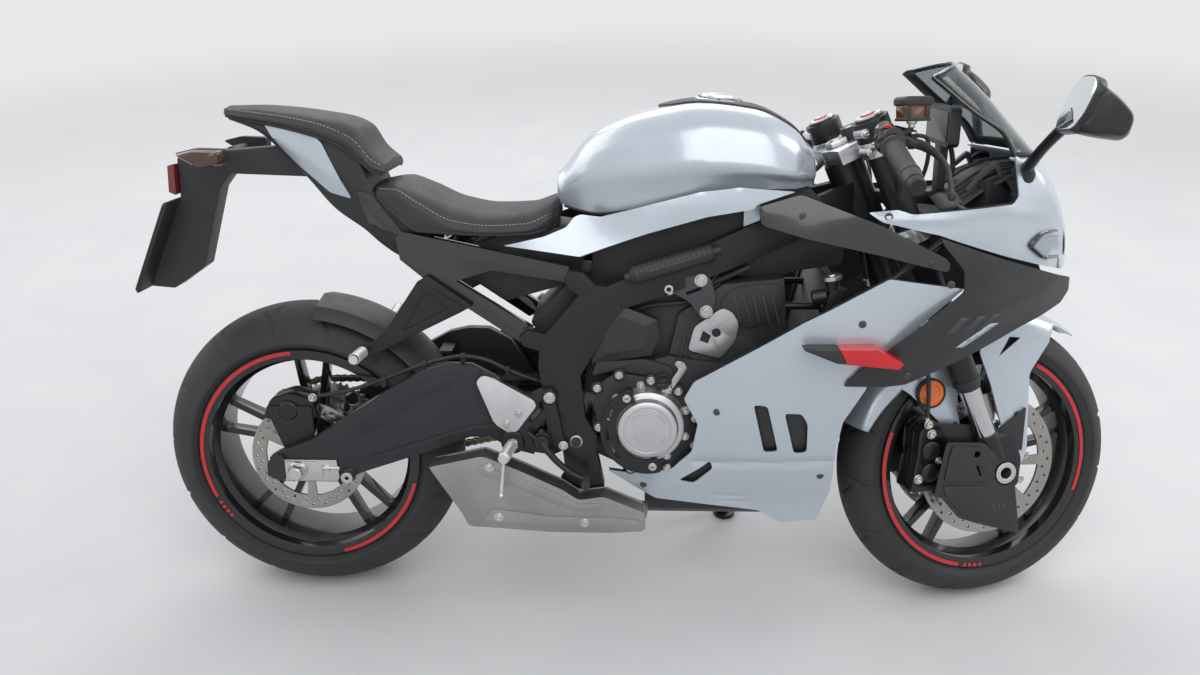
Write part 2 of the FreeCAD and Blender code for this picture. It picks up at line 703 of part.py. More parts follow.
adjuster = plate([(-37, 290), (78, 290), (82, 300), (78, 336), (-37, 336)], arm_out + GAP, arm_out + 6)
axle_pieces = [disc(0, axle_z, size("rear_axle_radius"), -arm_out - 12, arm_out + 12)]
for side in (-1, 1):
    ends = sorted((side * (arm_out + GAP), side * (arm_out + 13)))
    axle_pieces.append(disc(0, axle_z, 19, ends[0], ends[1]))
    axle_pieces.append(adjuster if side > 0 else mirrored(adjuster))
axle_pieces.append(disc(0, axle_z, 20, rear_disc_y - half_disc - 20, rear_disc_y - half_disc - 1.5))
axle_pieces.append(disc(0, axle_z, 22, chain_y + 4.5, arm_in - GAP))
axle_pieces.append(disc(0, axle_z, 20, -arm_in + GAP, rear_disc_y - half_disc - 20))
add("rear_axle", fuse(axle_pieces))

shock = fuse([rod((592, 0, 643), (500.8, 0, 451.7), 15), rod((586, 0, 630), (516, 0, 484), 29)])
add("shock", shock)

# Frame: plates beside the swingarm, twin beams and the head tube
FRAME_OUTLINE = [(580, 729), (552, 731), (544, 712), (556, 694), (572, 684), (508, 606), (474, 613),
                 (455, 598), (464, 582), (495, 572), (492, 542), (500, 490), (530, 390), (538, 364), (547, 285),
                 (580, 263), (621, 286), (605, 365), (603, 400), (583, 436), (574, 522), (602, 570), (657, 655),
                 (640, 700), (604, 704)]


def fork_line(height, y=0.0, ahead=0.0):
    """Point beside the fork line at a height along it, moved ahead of it."""
    across = Vector(math.cos(rake), 0, math.sin(rake))
    return front_centre + steer_axis * height + across * ahead + Vector(0, y, 0)


def axis_rod(low, high, radius, y=0.0, ahead=None):
    """Cylinder along the fork direction between two heights, on the steering axis unless told otherwise."""
    ahead = -size("fork_offset") if ahead is None else ahead
    return rod(tuple(fork_line(low, y, ahead)), tuple(fork_line(high, y, ahead)), radius)


yoke = size("yoke_thickness")
fork_top = size("upper_yoke_height") + yoke + size("fork_top_rise")
head_low = size("lower_yoke_height") + yoke + 2
head_high = size("upper_yoke_height") - 2
head_mid = fork_line((head_low + head_high) / 2, 0, -size("fork_offset"))
BEAM = table("x top bottom outer inner",
             [(600, 690, 640, 148, 118), (740, 748, 684, 140, 112), (860, 798, 730, 120, 92),
              (980, 846, 776, 88, 62), (head_mid.x - 13, head_mid.z + 29, head_mid.z - 41, 40, 14)])
stem = size("stem_radius")
stand_axis_dir = Vector(0.057, 0.921, 0.384)
stand_axis_dir.normalize()
stand_pivot = Vector(size("stand_pivot_x"), size("stand_pivot_y"), size("stand_pivot_z"))
pin_radius = 7


def frame_shape():
    pieces = []
    for side in (-1, 1):
        low, high = sorted((side * frame_in, side * frame_out))
        pieces.append(plate(FRAME_OUTLINE, low, high))
        sections = []
        for b in BEAM:
            corners = [(b["outer"], b["top"]), (b["outer"], b["bottom"]), (b["inner"], b["bottom"]),
                       (b["inner"], b["top"])]
            sections.append([(b["x"], side * y, z) for y, z in corners])
        pieces.append(loft(sections))
        low, high = sorted((side * 116.3, side * 127))
        pieces.append(plate([(735, 702), (815, 728), (832, 674), (806, 660)], low, high))
        low, high = sorted((side * frame_in, side * (frame_in + 10)))
        pieces.append(plate([(640, 668), (722, 635), (728, 599), (711, 563), (596, 545), (600, 600)], low, high))
    pieces.append(axis_rod(head_low, head_high, size("head_tube_radius")))
    pieces.append(disc(580, 281, 14, -frame_in, frame_in))
    pieces.append(disc(603, 664, 20, -frame_in, frame_in))
    x, z = stand_pivot.x, stand_pivot.z
    pieces.append(plate([(566, 268), (594, 296), (700, 258), (x + 20, z + 20), (x + 24, z), (x + 16, z - 20),
                         (x - 10, z - 24), (680, 212)], 100, 112))
    pieces.append(box(1130, 1292, -18, 18, 842, 866))
    boss = rod(tuple(stand_pivot - stand_axis_dir * 24), tuple(stand_pivot - stand_axis_dir), 17)
    pieces.append(boss)
    body = fuse(pieces)
    body = body.cut(axis_rod(head_low - 5, head_high + 5, stem + RUN))
    body = body.cut(disc(pivot[0], pivot[1], size("pivot_radius") + RUN, -frame_out - 5, frame_out + 5))
    reach = stand_axis_dir * 30
    return body.cut(rod(tuple(stand_pivot - reach), tuple(stand_pivot + reach), pin_radius + RUN))


add("frame", frame_shape())

# Subframe under the seats
SUBFRAME = [(561, 728), (228, 797), (216, 786), (222, 742), (284, 690), (452, 577), (478, 590), (478, 606),
            (330, 700), (400, 722), (556, 698), (580, 705)]
sub_parts = []
for side in (-1, 1):
    low, high = sorted((side * (84 + GAP), side * 104))
    sub_parts.append(plate(SUBFRAME, low, high))
    for x, z in ((562, 712), (468, 597)):
        low, high = sorted((side * 96, side * (frame_in - GAP)))
        sub_parts.append(disc(x, z, 12, low, high))
for x, z in ((300, 768), (540, 713)):
    sub_parts.append(disc(x, z, 10, -90, 90))
add("subframe", fuse(sub_parts))

# Engine: closed plain blocks at their real place, with covers that show
crank = [(640, 345), (880, 345), (915, 390), (915, 470), (880, 540), (745, 560), (660, 535), (640, 480)]
engine_parts = [plate(crank, -135, 82),
                plate([(752, 345), (880, 345), (915, 390), (915, 470), (880, 540), (752, 560)], 82, 128),
                plate([(660, 292), (870, 292), (890, 345), (650, 345)], -95, 95),
                plate([(745, 545), (905, 470), (975, 610), (965, 712), (850, 700), (765, 640)], -116, 116),
                disc(drive_centre.x, drive_centre.z, 15, 80, chain_y + 5),
                disc(drive_centre.x, drive_centre.z, drive_pitch - roller - 2, chain_y - 4, chain_y + 4)]
engine = fuse(engine_parts)
add("engine", engine)

covers = [fuse([disc(706, 425, 84, -170, -135 - GAP), disc(706, 425, 57, -190, -165),
                plate([(640, 400), (735, 350), (790, 400), (790, 450), (735, 510), (650, 480)], -150, -135 - GAP)]),
          disc(736, 518, 14, -165, -135 - GAP),
          fuse([disc(845, 440, 72, 128 + GAP, 158), disc(845, 440, 48, 128 + GAP, 168)]),
          plate([(612, 352), (700, 340), (752 - GAP, 380), (752 - GAP, 470), (700, 478), (630, 462)], 119, 134),
          plate([(848, 656), (867, 648), (881, 626), (875, 589), (847, 554), (784, 570), (795, 617)],
                -126, -116 - GAP),
          plate([(848, 656), (867, 648), (881, 626), (875, 589), (847, 554), (784, 570), (795, 617)],
                116 + GAP, 126)]
add("engine_covers", Part.makeCompound(covers))

# Cooling and exhaust
radiator = fuse([plate([(984, 420), (1010, 414), (1074, 708), (1048, 714)], -150, 150),
                 pair(plate([(980, 424), (1012, 416), (1078, 706), (1046, 716)], 148, 172)).Solids[0],
                 pair(plate([(980, 424), (1012, 416), (1078, 706), (1046, 716)], 148, 172)).Solids[1]])
stays = [rod((971 + GAP, y, 655), (1040, y, 655), 7) for y in (-104, 104)]
add("radiator", fuse([radiator] + stays))
pipes = []
for lateral in (-62, 0, 62):
    pipes.append(pipe([(953.5, lateral, 565.8), (991, lateral, 547), (952, lateral, 420), (936, lateral * 0.9, 248),
                       (760, lateral * 0.6, 240)], 16))
collector = loft([[(800, -58, 222), (800, 58, 222), (800, 58, 258), (800, -58, 258)],
                  [(704 + GAP, -40, 216), (704 + GAP, 40, 216), (704 + GAP, 40, 250), (704 + GAP, -40, 250)]])
add("exhaust_header", fuse(pipes + [collector]))
SILENCER = [(277, 348), (384, 373), (459, 342), (540, 304), (572, 282), (622, 290), (704, 255), (704, 216),
            (638, 211), (518, 211), (352, 222), (339, 251)]
silencer = fuse([plate(SILENCER, -203, -152), plate([(420, 214), (704, 214), (704, 252), (420, 256)], -153, 60)])
add("silencer", silencer)

# Fuel tank: x, then half widths and heights from the top down
TANK = [(532, [(14, 900), (30, 888), (40, 868), (34, 842)]),
        (600, [(40, 978), (72, 952), (90, 905), (78, 832)]),
        (700, [(60, 1018), (104, 984), (128, 918), (112, 850)]),
        (800, [(78, 1036), (128, 1000), (150, 930), (130, 872)]),
        (900, [(82, 1026), (128, 990), (150, 925), (130, 885)]),
        (975, [(74, 992), (112, 962), (136, 912), (118, 885)]),
        (1012, [(56, 955), (88, 935), (108, 905), (92, 888)])]
cap_centre = Vector(835, 0, 1034.0)
cap_tilt = Rotation(Y_AXIS, 5.7)
cap_frame = Placement(cap_centre, cap_tilt)


def capped(shape):
    shape.Placement = cap_frame
    return Part.makeCompound([shape]).Solids[0]


cap_r = size("cap_radius")
tank = hull(TANK)
tank = tank.fuse(capped(Part.makeCylinder(cap_r + 6, 16, Vector(0, 0, -8))))
tank = tank.cut(capped(Part.makeCylinder(28, 60, Vector(0, 0, -32))))
tank = tank.cut(capped(Part.makeBox(20, 30, 20, Vector(cap_r, -15, -1))))
foot_block = plate([(885, 808 + GAP), (915, 820 + GAP), (915, 905), (885, 905)], 84, 102)
tank = tank.fuse([foot_block, mirrored(foot_block)])
add("fuel_tank", tank)
lid = Part.makeCylinder(cap_r, 7, Vector(0, 0, 8 + GAP))
lid = lid.fuse(Part.makeBox(14, 20, 6, Vector(cap_r - 5, -10, 8 + GAP)))
lid = lid.fuse(Part.makeCylinder(4, 26, Vector(cap_r + 9, -13, 8), Y_AXIS))
add("fuel_cap", capped(lid), "fuel_cap")
cover = panel(OUTLINES["lower_tank_cover"], "cover")
cover_tab = plate([(728, 738), (748, 746), (748, 835), (728, 830)], 141, 175).cut(beyond("cover", 1))
add("tank_covers", pair(cover.fuse(cover_tab)))

# Seats
RIDER_SEAT = [(180, [(60, 880), (88, 872), (86, 864)]),
              (215, [(66, 885), (100, 872), (98, 832)]),
              (260, [(74, 871), (112, 850), (110, 802)]),
              (330, [(78, 840), (118, 815), (116, 798)]),
              (400, [(78, 828), (116, 806), (114, 795)]),
              (470, [(68, 832), (104, 808), (102, 795)]),
              (515, [(52, 848), (80, 824), (78, 802)]),
              (524, [(44, 852), (62, 826), (60, 806)])]
add("rider_seat", hull(RIDER_SEAT))
PILLION_SEAT = [(-118, [(24, 1024), (40, 1018), (36, 1012)]),
                (-60, [(40, 1025), (62, 1014), (58, 1003)]),
                (0, [(52, 1021), (78, 1008), (74, 994)]),
                (60, [(58, 1013), (88, 998), (84, 980)]),
                (110, [(60, 1004), (92, 982), (88, 962)]),
                (145, [(62, 988), (94, 962), (90, 938)]),
                (170, [(62, 948), (92, 930), (88, 915)]),
                (194, [(58, 926), (86, 914), (82, 905)])]
add("pillion_seat", hull(PILLION_SEAT))
TAIL_BASE = [(-112, [(34, 1010), (36, 1004), (28, 1001)]),
             (-60, [(54, 1001), (56, 990), (44, 984)]),
             (0, [(68, 992), (72, 965), (52, 932)]),
             (40, [(74, 983), (78, 940), (56, 890)]),
             (90, [(80, 969), (84, 905), (60, 832)]),
             (145, [(84, 936), (84, 870), (62, 792)]),
             (178, [(80, 862), (84, 820), (62, 762)]),
             (215, [(80, 832 - GAP), (84, 790), (62, 738)]),
             (260, [(80, 802 - GAP), (84, 772), (60, 728)])]
add("tail_base", hull(TAIL_BASE))
add("tail_panels", pair(hull_panel(OUTLINES["tail_side"], TAIL_BASE, size("panel_wall"))))

# Fairing
slots = [OUTLINES[name] for name in ("slot_upper_rear", "slot_upper_front", "slot_lower")]
add("side_panels", pair(panel(OUTLINES["side_panel"], "fairing", slots)))
wing = panel(OUTLINES["wing_panel"], "wing")
WINGLET = [(982, 620), (1042, 596), (1153, 586), (1161, 597), (1113, 623)]
winglet = loft([[(x, 247, z) for x, z in WINGLET], [(x, 284, z) for x, z in WINGLET]])
add("wing_panels", pair(wing.fuse(winglet)))
add("upper_panels", pair(panel(OUTLINES["upper_side"], "upper")))
LAMP = [(40, 745), (118, 757), (146, 786), (124, 806), (62, 800), (38, 778)]
LAMP_LENS = [(92 + (y - 92) * 0.99, 776 + (z - 776) * 0.99) for y, z in LAMP]
nose_side = panel(OUTLINES["nose_side"], "nose", wall=4)
nose_side = nose_side.cut(cross_plate(LAMP, 1300, 1700))
# Front of the nose between its sides: middle and edge of each row
NOSE_ROWS = table("x_mid z_mid x_edge y_edge z_edge",
                  [(1447, 935.2, 1360, 123, 943), (1485, 880, 1414, 112, 908), (1512, 820, 1452, 98, 850),
                   (1524, 775, 1484, 76, 796), (1530, 724, 1500, 60, 724)])


def bowed(rows, shares):
    """Rows of points across the bike, from middle and edge positions."""
    grid = []
    for s in rows:
        line = []
        for share in shares:
            curve = share * share
            line.append(Vector(s["x_mid"] + (s["x_edge"] - s["x_mid"]) * curve, share * s["y_edge"],
                               s["z_mid"] + (s["z_edge"] - s["z_mid"]) * curve))
        grid.append(line)
    return grid


nose_front = thick_grid(bowed(NOSE_ROWS[::-1], (-1, -0.5, 0, 0.5, 1)), 4).cut(cross_plate(LAMP, 1300, 1700))
nose_front = nose_front.cut(mirrored(cross_plate(LAMP, 1300, 1700)))
nose = fuse([nose_side, mirrored(nose_side), nose_front])
add("nose_cowl", nose)
lens = skin("nose", 3).common(cross_plate(LAMP_LENS, 1300, 1505)).common(plate(OUTLINES["nose_side"], 1, 400))
add("headlamps", pair(lens))
SCREEN = table("x_mid z_mid x_edge y_edge z_edge",
               [(1447, 942, 1371, 123, 950), (1391, 999, 1347, 126, 988), (1335, 1059, 1290, 121, 1027),
                (1278, 1108, 1216, 104, 1086)])
screen_grid = bowed(SCREEN[::-1], (-1, -0.66, -0.33, 0, 0.33, 0.66, 1))
add("windscreen", thick_grid(screen_grid, size("screen_wall")))
add("dash", fuse([cross_plate([(-78, 955), (78, 955), (78, 1030), (-78, 1030)], 1262, 1284),
                  box(1266, 1282, -16, 16, 866 + GAP, 960)]))
add("lamp_housing", loft([[(1292.3, -30, 840), (1292.3, 30, 840), (1292.3, 30, 870), (1292.3, -30, 870)],
                          [(1330, -110, 745), (1330, 110, 745), (1330, 120, 900), (1330, -120, 900)],
                          [(1380, -108, 748), (1380, 108, 748), (1380, 96, 880), (1380, -96, 880)]]))
MIRROR = [(1367, 1012), (1399, 1094), (1435, 1069), (1466, 1038), (1456, 996), (1408, 1002)]
mirror_mid = (1418, 1040)
heads = []
for y, scale in ((262, 0.35), (305, 0.95), (355, 1.0), (383, 0.7)):
    heads.append([(mirror_mid[0] + (x - mirror_mid[0]) * scale, y, mirror_mid[1] + (z - mirror_mid[1]) * scale)
                  for x, z in MIRROR])
stalk = pipe([(1392, 110, 905), (1398, 168, 962), (1414, 268, 1036)], 9).cut(within("nose"))
add("mirrors", pair(fuse([loft(heads), stalk])))
BELLY = [(704 + GAP, [(97, 292 - GAP), (94, 215), (70, 195)]), (980, [(97, 292 - GAP), (94, 212), (70, 196)])]
belly_outer = hull(BELLY)
belly_inner = hull([(x, [(half - 3, z + (1 if index == 0 else 3)) for index, (half, z) in enumerate(points)])
                    for x, points in [(701, BELLY[0][1]), (983, BELLY[1][1])]])
add("belly_pan", belly_outer.cut(belly_inner))

# Stays that carry the fairing: arms run down from a cross tube, with pads against the panels
cross_tube = rod((1284, -210, 851), (1284, 210, 851), 6).cut(box(1270, 1300, -18 - GAP, 18 + GAP, 835, 870))
arm_tube = pipe([(1284, 172, 851), (1236, 190, 800), (1118, 196, 702)], 6)
pads = [rod((1240, 186, 792), (1240, 260, 792), 6).cut(beyond("wing", size("panel_wall"))),
        rod((1196, 190, 766), (1196, 240, 766), 6).cut(beyond("upper", size("panel_wall"))),
        rod((1120, 196, 704), (1120, 262, 704), 6).cut(beyond("fairing", size("panel_wall")))]
cross_half = cross_tube.common(box(1270, 1300, 0, 300, 800, 900)).cut(beyond("nose", 4))
stay_left = fuse([cross_half, arm_tube] + pads)
lower_stay = rod((1044, 172 + GAP, 570), (1044, 260, 570), 7).cut(beyond("fairing", size("panel_wall")))
add("fairing_stays", pair(stay_left, lower_stay))

# Tail
ARM = [(38, 891.4), (0, 931.2), (-22, 950), (-115, 944), (-224, 936), (-230, 925), (-232, 847),
       (-313, 666), (-267, 662), (-200, 708), (-151, 867), (-126, 897)]
holder = fuse([plate(ARM, -26, 26)])
add("plate_holder", holder.fuse(plate([(-232, 847), (-313, 666), (-318, 668), (-237, 849)], -88, 88)))
add("tail_lamp", plate([(-233, 856), (-231, 918), (-244, 914), (-247, 862)], -42, 42))
indicator = loft([[(-150, 26 + GAP, 930), (-128, 26 + GAP, 930), (-128, 26 + GAP, 944), (-150, 26 + GAP, 944)],
                  [(-150, 108, 932), (-128, 108, 932), (-128, 108, 946), (-150, 108, 946)]])
bulb = loft([[(-189, 105, 946), (-91, 105, 936), (-95, 105, 925), (-144, 105, 923)],
             [(-189, 125, 952), (-91, 125, 957), (-95, 125, 923), (-144, 125, 921)],
             [(-170, 150, 945), (-105, 150, 950), (-108, 150, 930), (-144, 150, 928)]])
add("rear_indicators", pair(indicator.fuse(bulb)))
hugger_profile = [(-82, 300), (-60, 322), (0, 334), (60, 322), (82, 300), (79, 298), (58, 319), (0, 331),
                  (-58, 319), (-79, 298)]


def ring_sector(profile, centre, first, last):
    """Turned sector about a lateral axis; angles from the forward direction, upward."""
    points = [Vector(centre.x + r * math.cos(math.radians(first)), y, centre.z + r * math.sin(math.radians(first)))
              for y, r in profile]
    face = Part.Face(Part.makePolygon(points + points[:1]))
    return face.revolve(centre, Vector(0, -1, 0), last - first)


hugger = ring_sector(hugger_profile, rear_centre, 18, 84)
tab = box(258, 286, 50, arm_in - GAP, 500, 508)
add("hugger", fuse([hugger, tab, mirrored(tab)]))

# Rear brake
caliper = plate([(-78, 412), (-60, 452), (-20, 466), (28, 452), (34, 414), (-20, 396)], -112, -58)
caliper = caliper.cut(box(-120, 80, rear_disc_y - half_disc - 5, rear_disc_y + half_disc + 5, 300, 441))
bracket = plate([(-70, 440), (28, 440), (26, 318), (0, 288), (-26, 318)], -118, -108)
bracket = bracket.cut(disc(0, axle_z, 20 + GAP, -130, -100))
add("rear_caliper", caliper.fuse(bracket))
rear_route = [(28.5, -104, 457), (95, -110, 471), (178, -115.7, 500), (263, -115.7, 533), (340, -115.7, 550),
              (428, -115, 522), (512, -113.7, 492)]
add("rear_brake_hose", hose(rear_route, size("hose_radius")))

# Footrests and foot controls
HEEL = [(520, 500), (545, 372), (520, 358), (456, 368), (424, 370), (422, 402), (402, 450), (376, 516),
        (392, 520), (481, 474), (492, 500)]
right_foot = fuse([plate(HEEL, -158, -frame_out - GAP), rod((440, -155, 385), (430, -240, 383), 11),
                   rod((425, -236, 383), (416, -240, 305), 4)])
pedal = pipe([(498, -170, 389), (532, -178, 350), (588, -182, 314)], 6)
pedal = pedal.fuse(rod((586, -172, 315), (586, -208, 315), 8))
pedal = pedal.fuse(rod((500, -150, 388), (500, -178, 388), 8))
left_foot = fuse([mirrored(plate(HEEL, -158, -frame_out - GAP)), rod((440, 155, 385), (430, 240, 383), 11),
                  rod((425, 236, 383), (416, 240, 305), 4)])
lever = pipe([(498, 170, 389), (530, 180, 356), (602, 182, 345)], 6)
lever = lever.fuse(rod((600, 172, 345), (600, 212, 345), 8))
lever = lever.fuse(rod((500, 150, 388), (500, 178, 388), 8))
add("footrests", fuse([right_foot, pedal]).fuse(fuse([left_foot, lever])))
PILLION_HANGER = [(275, 712), (361, 652), (340, 640), (150, 545), (128, 548), (190, 605), (255, 700)]
pillion = fuse([plate(PILLION_HANGER, 104 + GAP, 114), rod((142, 108, 560), (142, 195, 566), 10)])
add("pillion_rests", pair(pillion))

# Steering assembly
spread = size("fork_spread")
outer_r = size("fork_outer_radius")
inner_r = size("fork_inner_radius")
slide = size("fork_slide_height")
fork_outer = axis_rod(slide, fork_top, outer_r, spread, 0)
fork_outer = fork_outer.cut(axis_rod(slide - 5, slide + 70, inner_r + RUN, spread, 0))
yoke_low = size("lower_yoke_height")
yoke_high = size("upper_yoke_height")


def yoke_shape(low, high, ring):
    pieces = [axis_rod(low, high, 34)]
    for side in (-1, 1):
        pieces.append(axis_rod(low, high, outer_r + ring, side * spread, 0))
    first = [fork_line(low, y, ahead) for y, ahead in ((spread, -18), (spread, 18), (-spread, 18), (-spread, -18))]
    slab = Part.Face(Part.makePolygon(first + first[:1])).extrude(steer_axis * (high - low))
    core = [fork_line(low, y, ahead) for y, ahead in ((60, -60), (60, 0), (-60, 0), (-60, -60))]
    web = Part.Face(Part.makePolygon(core + core[:1])).extrude(steer_axis * (high - low))
    shape = fuse(pieces + [slab, web])
    for side in (-1, 1):
        shape = shape.cut(axis_rod(low - 5, high + 5, outer_r + RUN, side * spread, 0))
    return shape


add("fork_uppers", pair(fork_outer), "steering")
foot = plate([(1372, 268), (1432, 268), (1436, 330), (1412, 378), (1352, 372), (1366, 330)], 84.5, 126)
lug = plate([(1370, 390), (1262, 404), (1232, 395), (1212, 280), (1236, 270), (1376, 290)], 84.5, 97)
fork_lower = fuse([axis_rod(30, slide + 60, inner_r, spread, 0), foot, lug])
fork_lower = fork_lower.cut(disc(front_centre.x, front_centre.z, front_bore, 60, 140))
add("fork_lowers", pair(fork_lower), "steering")
yokes = fuse([yoke_shape(yoke_low, yoke_low + yoke, 9), yoke_shape(yoke_high, yoke_high + yoke, 8),
              axis_rod(yoke_low + 2, yoke_high + yoke + 6, stem)])
add("yokes", yokes, "steering")
bar_root = fork_line(fork_top)
BAR_IN = (bar_root.x + 11.5, 132, bar_root.z - 16)
BAR_OUT = (bar_root.x - 17.5, 318, bar_root.z - 114)


def along_bar(y, radius, y_end):
    def at(lateral):
        share = (lateral - BAR_IN[1]) / (BAR_OUT[1] - BAR_IN[1])
        return tuple(a + (b - a) * share for a, b in zip(BAR_IN, BAR_OUT))
    return rod(at(y), at(y_end), radius)


clamp = axis_rod(yoke_high + yoke + GAP, fork_top - 4, outer_r + 8, spread, 0)
clamp = clamp.cut(axis_rod(yoke_high, fork_top + 20, outer_r + RUN, spread, 0))
bar = along_bar(134, 11, 329).cut(axis_rod(yoke_high, fork_top + 20, outer_r + RUN, spread, 0))
switch = along_bar(172, 19, 203)
weight = along_bar(319, 15, 333)
add("handlebars", pair(fuse([clamp, bar, switch, weight])), "steering")
grip = along_bar(204, size("grip_radius"), 318).cut(along_bar(200, 11 + RUN, 325))
add("grips", pair(grip), "steering")
lever_bar = pipe([(28, 158, -38), (68, 182, -52), (74, 262, -92), (48, 326, -136)], 6)
perch = rod((14, 160, -32), (62, 176, -50), 9)
reservoir = fuse([box(28, 78, -194, -150, -10, 32), rod((32, -164, -42), (56, -168, -4), 6)])
for shape in (lever_bar, perch, reservoir):
    shape.translate(Vector(bar_root.x, 0, bar_root.z))
hand = fuse([lever_bar, perch, along_bar(150, 19, 171)]).cut(along_bar(130, 11 + RUN, 200))
right_hand = mirrored(hand).fuse(reservoir)
add("levers", Part.makeCompound(hand.Solids + right_hand.Solids), "steering")

# Front fender, calipers and air guides
fender_profile = [(-77, 272), (-73, 302), (-46, 322), (0, 329), (46, 322), (73, 302), (77, 272),
                  (74, 272), (70, 300), (44, 319), (0, 326), (-44, 319), (-70, 300), (-74, 272)]
fender_shell = ring_sector(fender_profile, front_centre, 50, 162)
front_leg = plate([(1387, 560), (1476, 590), (1520, 556), (1468, 491), (1478, 325), (1460, 297), (1445, 306),
                   (1384, 470), (1353, 540)], 74, 78)
rear_leg = plate([(1290, 560), (1170, 485), (1205, 466), (1253, 424), (1297, 378), (1331, 367), (1312, 433),
                  (1330, 540)], 74, 78)
tie = plate([(1400, 338), (1465, 330), (1468, 420), (1404, 374)], 76, 84.5 - GAP)
fender = fuse([fender_shell, front_leg, rear_leg, mirrored(front_leg), mirrored(rear_leg), tie, mirrored(tie)])
add("front_fender", fender, "steering")
add("front_reflectors", pair(disc(1251, 464, 29, 78 + GAP, 90)), "steering")
disc_y = size("front_disc_offset")
CALIPER = [(1224, 388), (1240, 402), (1268, 404), (1290, 372), (1282, 300), (1268, 262), (1210, 262), (1222, 330)]
front_caliper = plate(CALIPER, 44, 84.5 - GAP)
slot_y = (disc_y - half_disc - 5, disc_y + half_disc + 5)
front_caliper = front_caliper.cut(disc(front_centre.x, front_centre.z, size("front_disc_radius") + 6,
                                       slot_y[0], slot_y[1]))
add("front_calipers", pair(front_caliper), "steering")
GUIDE = [(1266, 373), (1348, 367), (1419, 299), (1428, 238), (1440, 168), (1358, 193), (1301, 213), (1261, 259),
         (1244, 262)]
guide = plate(GUIDE, 126 + GAP, 129).cut(disc(front_centre.x, front_centre.z, 26, 120, 140))
add("air_guides", pair(guide), "steering")
axle_tube = fuse([disc(front_centre.x, front_centre.z, size("front_axle_radius"), -129, 129),
                  disc(front_centre.x, front_centre.z, 22, -131, -126 - GAP),
                  disc(front_centre.x, front_centre.z, 22, 126 + GAP, 131),
                  disc(front_centre.x, front_centre.z, 22, disc_y + half_disc + 1.5, 84.5 - GAP),
                  disc(front_centre.x, front_centre.z, 22, -84.5 + GAP, -disc_y - half_disc - 1.5)])
axle_tube = axle_tube.cut(disc(front_centre.x, front_centre.z, size("front_axle_bore"), -140, 140))
add("front_axle", axle_tube, "steering")
front_route = [(1160, 66, 760), (1190, 85, 668), (1220, 95, 572), (1238, 98, 485), (1240, 95, 399.1)]
add("front_brake_hoses", pair(hose(front_route, size("hose_radius"))), "steering")


# Side stand: the pad lies flat on the ground while the bike leans
def stand_shape():
    to_bike = chassis_place.inverse()
    foot_ground = Vector(size("stand_foot_x"), size("stand_foot_y"), 0)
    leg_radius = size("stand_leg_radius")
    pad = Part.makeCylinder(size("stand_pad_radius"), 10, foot_ground)
    ankle = to_bike.multVec(foot_ground + Vector(0, 0, leg_radius - 2))
    pad.Placement = to_bike * pad.Placement
    hip = stand_pivot + stand_axis_dir * (leg_radius + 1)
    leg = rod(tuple(hip), tuple(ankle), leg_radius)
    boss_end = stand_pivot + stand_axis_dir * (2 * leg_radius + 1)
    boss = rod(tuple(stand_pivot + stand_axis_dir), tuple(boss_end), 17)
    pin = rod(tuple(stand_pivot - stand_axis_dir * 27), tuple(boss_end), pin_radius)
    return fuse([leg, boss, pin, Part.makeCompound([pad]).Solids[0]])


add("side_stand", stand_shape(), "side_stand")
doc.recompute()

# Discs: the left front one is mirrored to the right
front_mirror = doc.addObject("Part::Mirroring", "front_disc_right")
front_mirror.Source = front_disc
front_mirror.Normal = Y_AXIS
both_discs = doc.addObject("Part::Compound", "front_discs")
both_discs.Label = "front_discs"
both_discs.Links = [front_disc, front_mirror]
nodes += [(rear_disc, "rear_wheel"), (both_discs, "front_wheel")]
doc.recompute()

# Everything goes to its place, centred over the origin
CARRIERS = {"chassis": chassis_place, "fuel_cap": chassis_place, "side_stand": chassis_place,
            "steering": steering_place, "rear_wheel": chassis_place * rear_centre_place,
            "front_wheel": steering_place * front_centre_place}
low = Vector(1e9, 1e9, 1e9)
high = Vector(-1e9, -1e9, -1e9)
for feature, carrier in nodes:
    for point in feature.Shape.tessellate(2.0)[0]:
        there = CARRIERS[carrier].multVec(point)
        low = Vector(min(low.x, there.x), min(low.y, there.y), min(low.z, there.z))
        high = Vector(max(high.x, there.x), max(high.y, there.y), max(high.z, there.z))
centring = Placement(Vector(-(low.x + high.x) / 2, -(low.y + high.y) / 2, 0), Rotation())
for feature, carrier in nodes:
    feature.Placement = centring * CARRIERS[carrier]
doc.recompute()

for thing in doc.Objects:
    if "Invalid" in thing.State or "Error" in thing.State:
        raise RuntimeError("%s: %s" % (thing.Name, thing.State))
for feature, carrier in nodes:
    if feature.Shape.isNull() or not feature.Shape.isValid():
        raise RuntimeError("%s has no valid shape" % feature.Label)
    feature.Shape.exportStep("parts/%s.step" % feature.Label)
print("nodes", len(nodes), "low", low, "high", high, "centring", centring.Base)
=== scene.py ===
import json
import math
import random

import bmesh
import bpy
from mathutils import Matrix, Vector
from mathutils.geometry import delaunay_2d_cdt

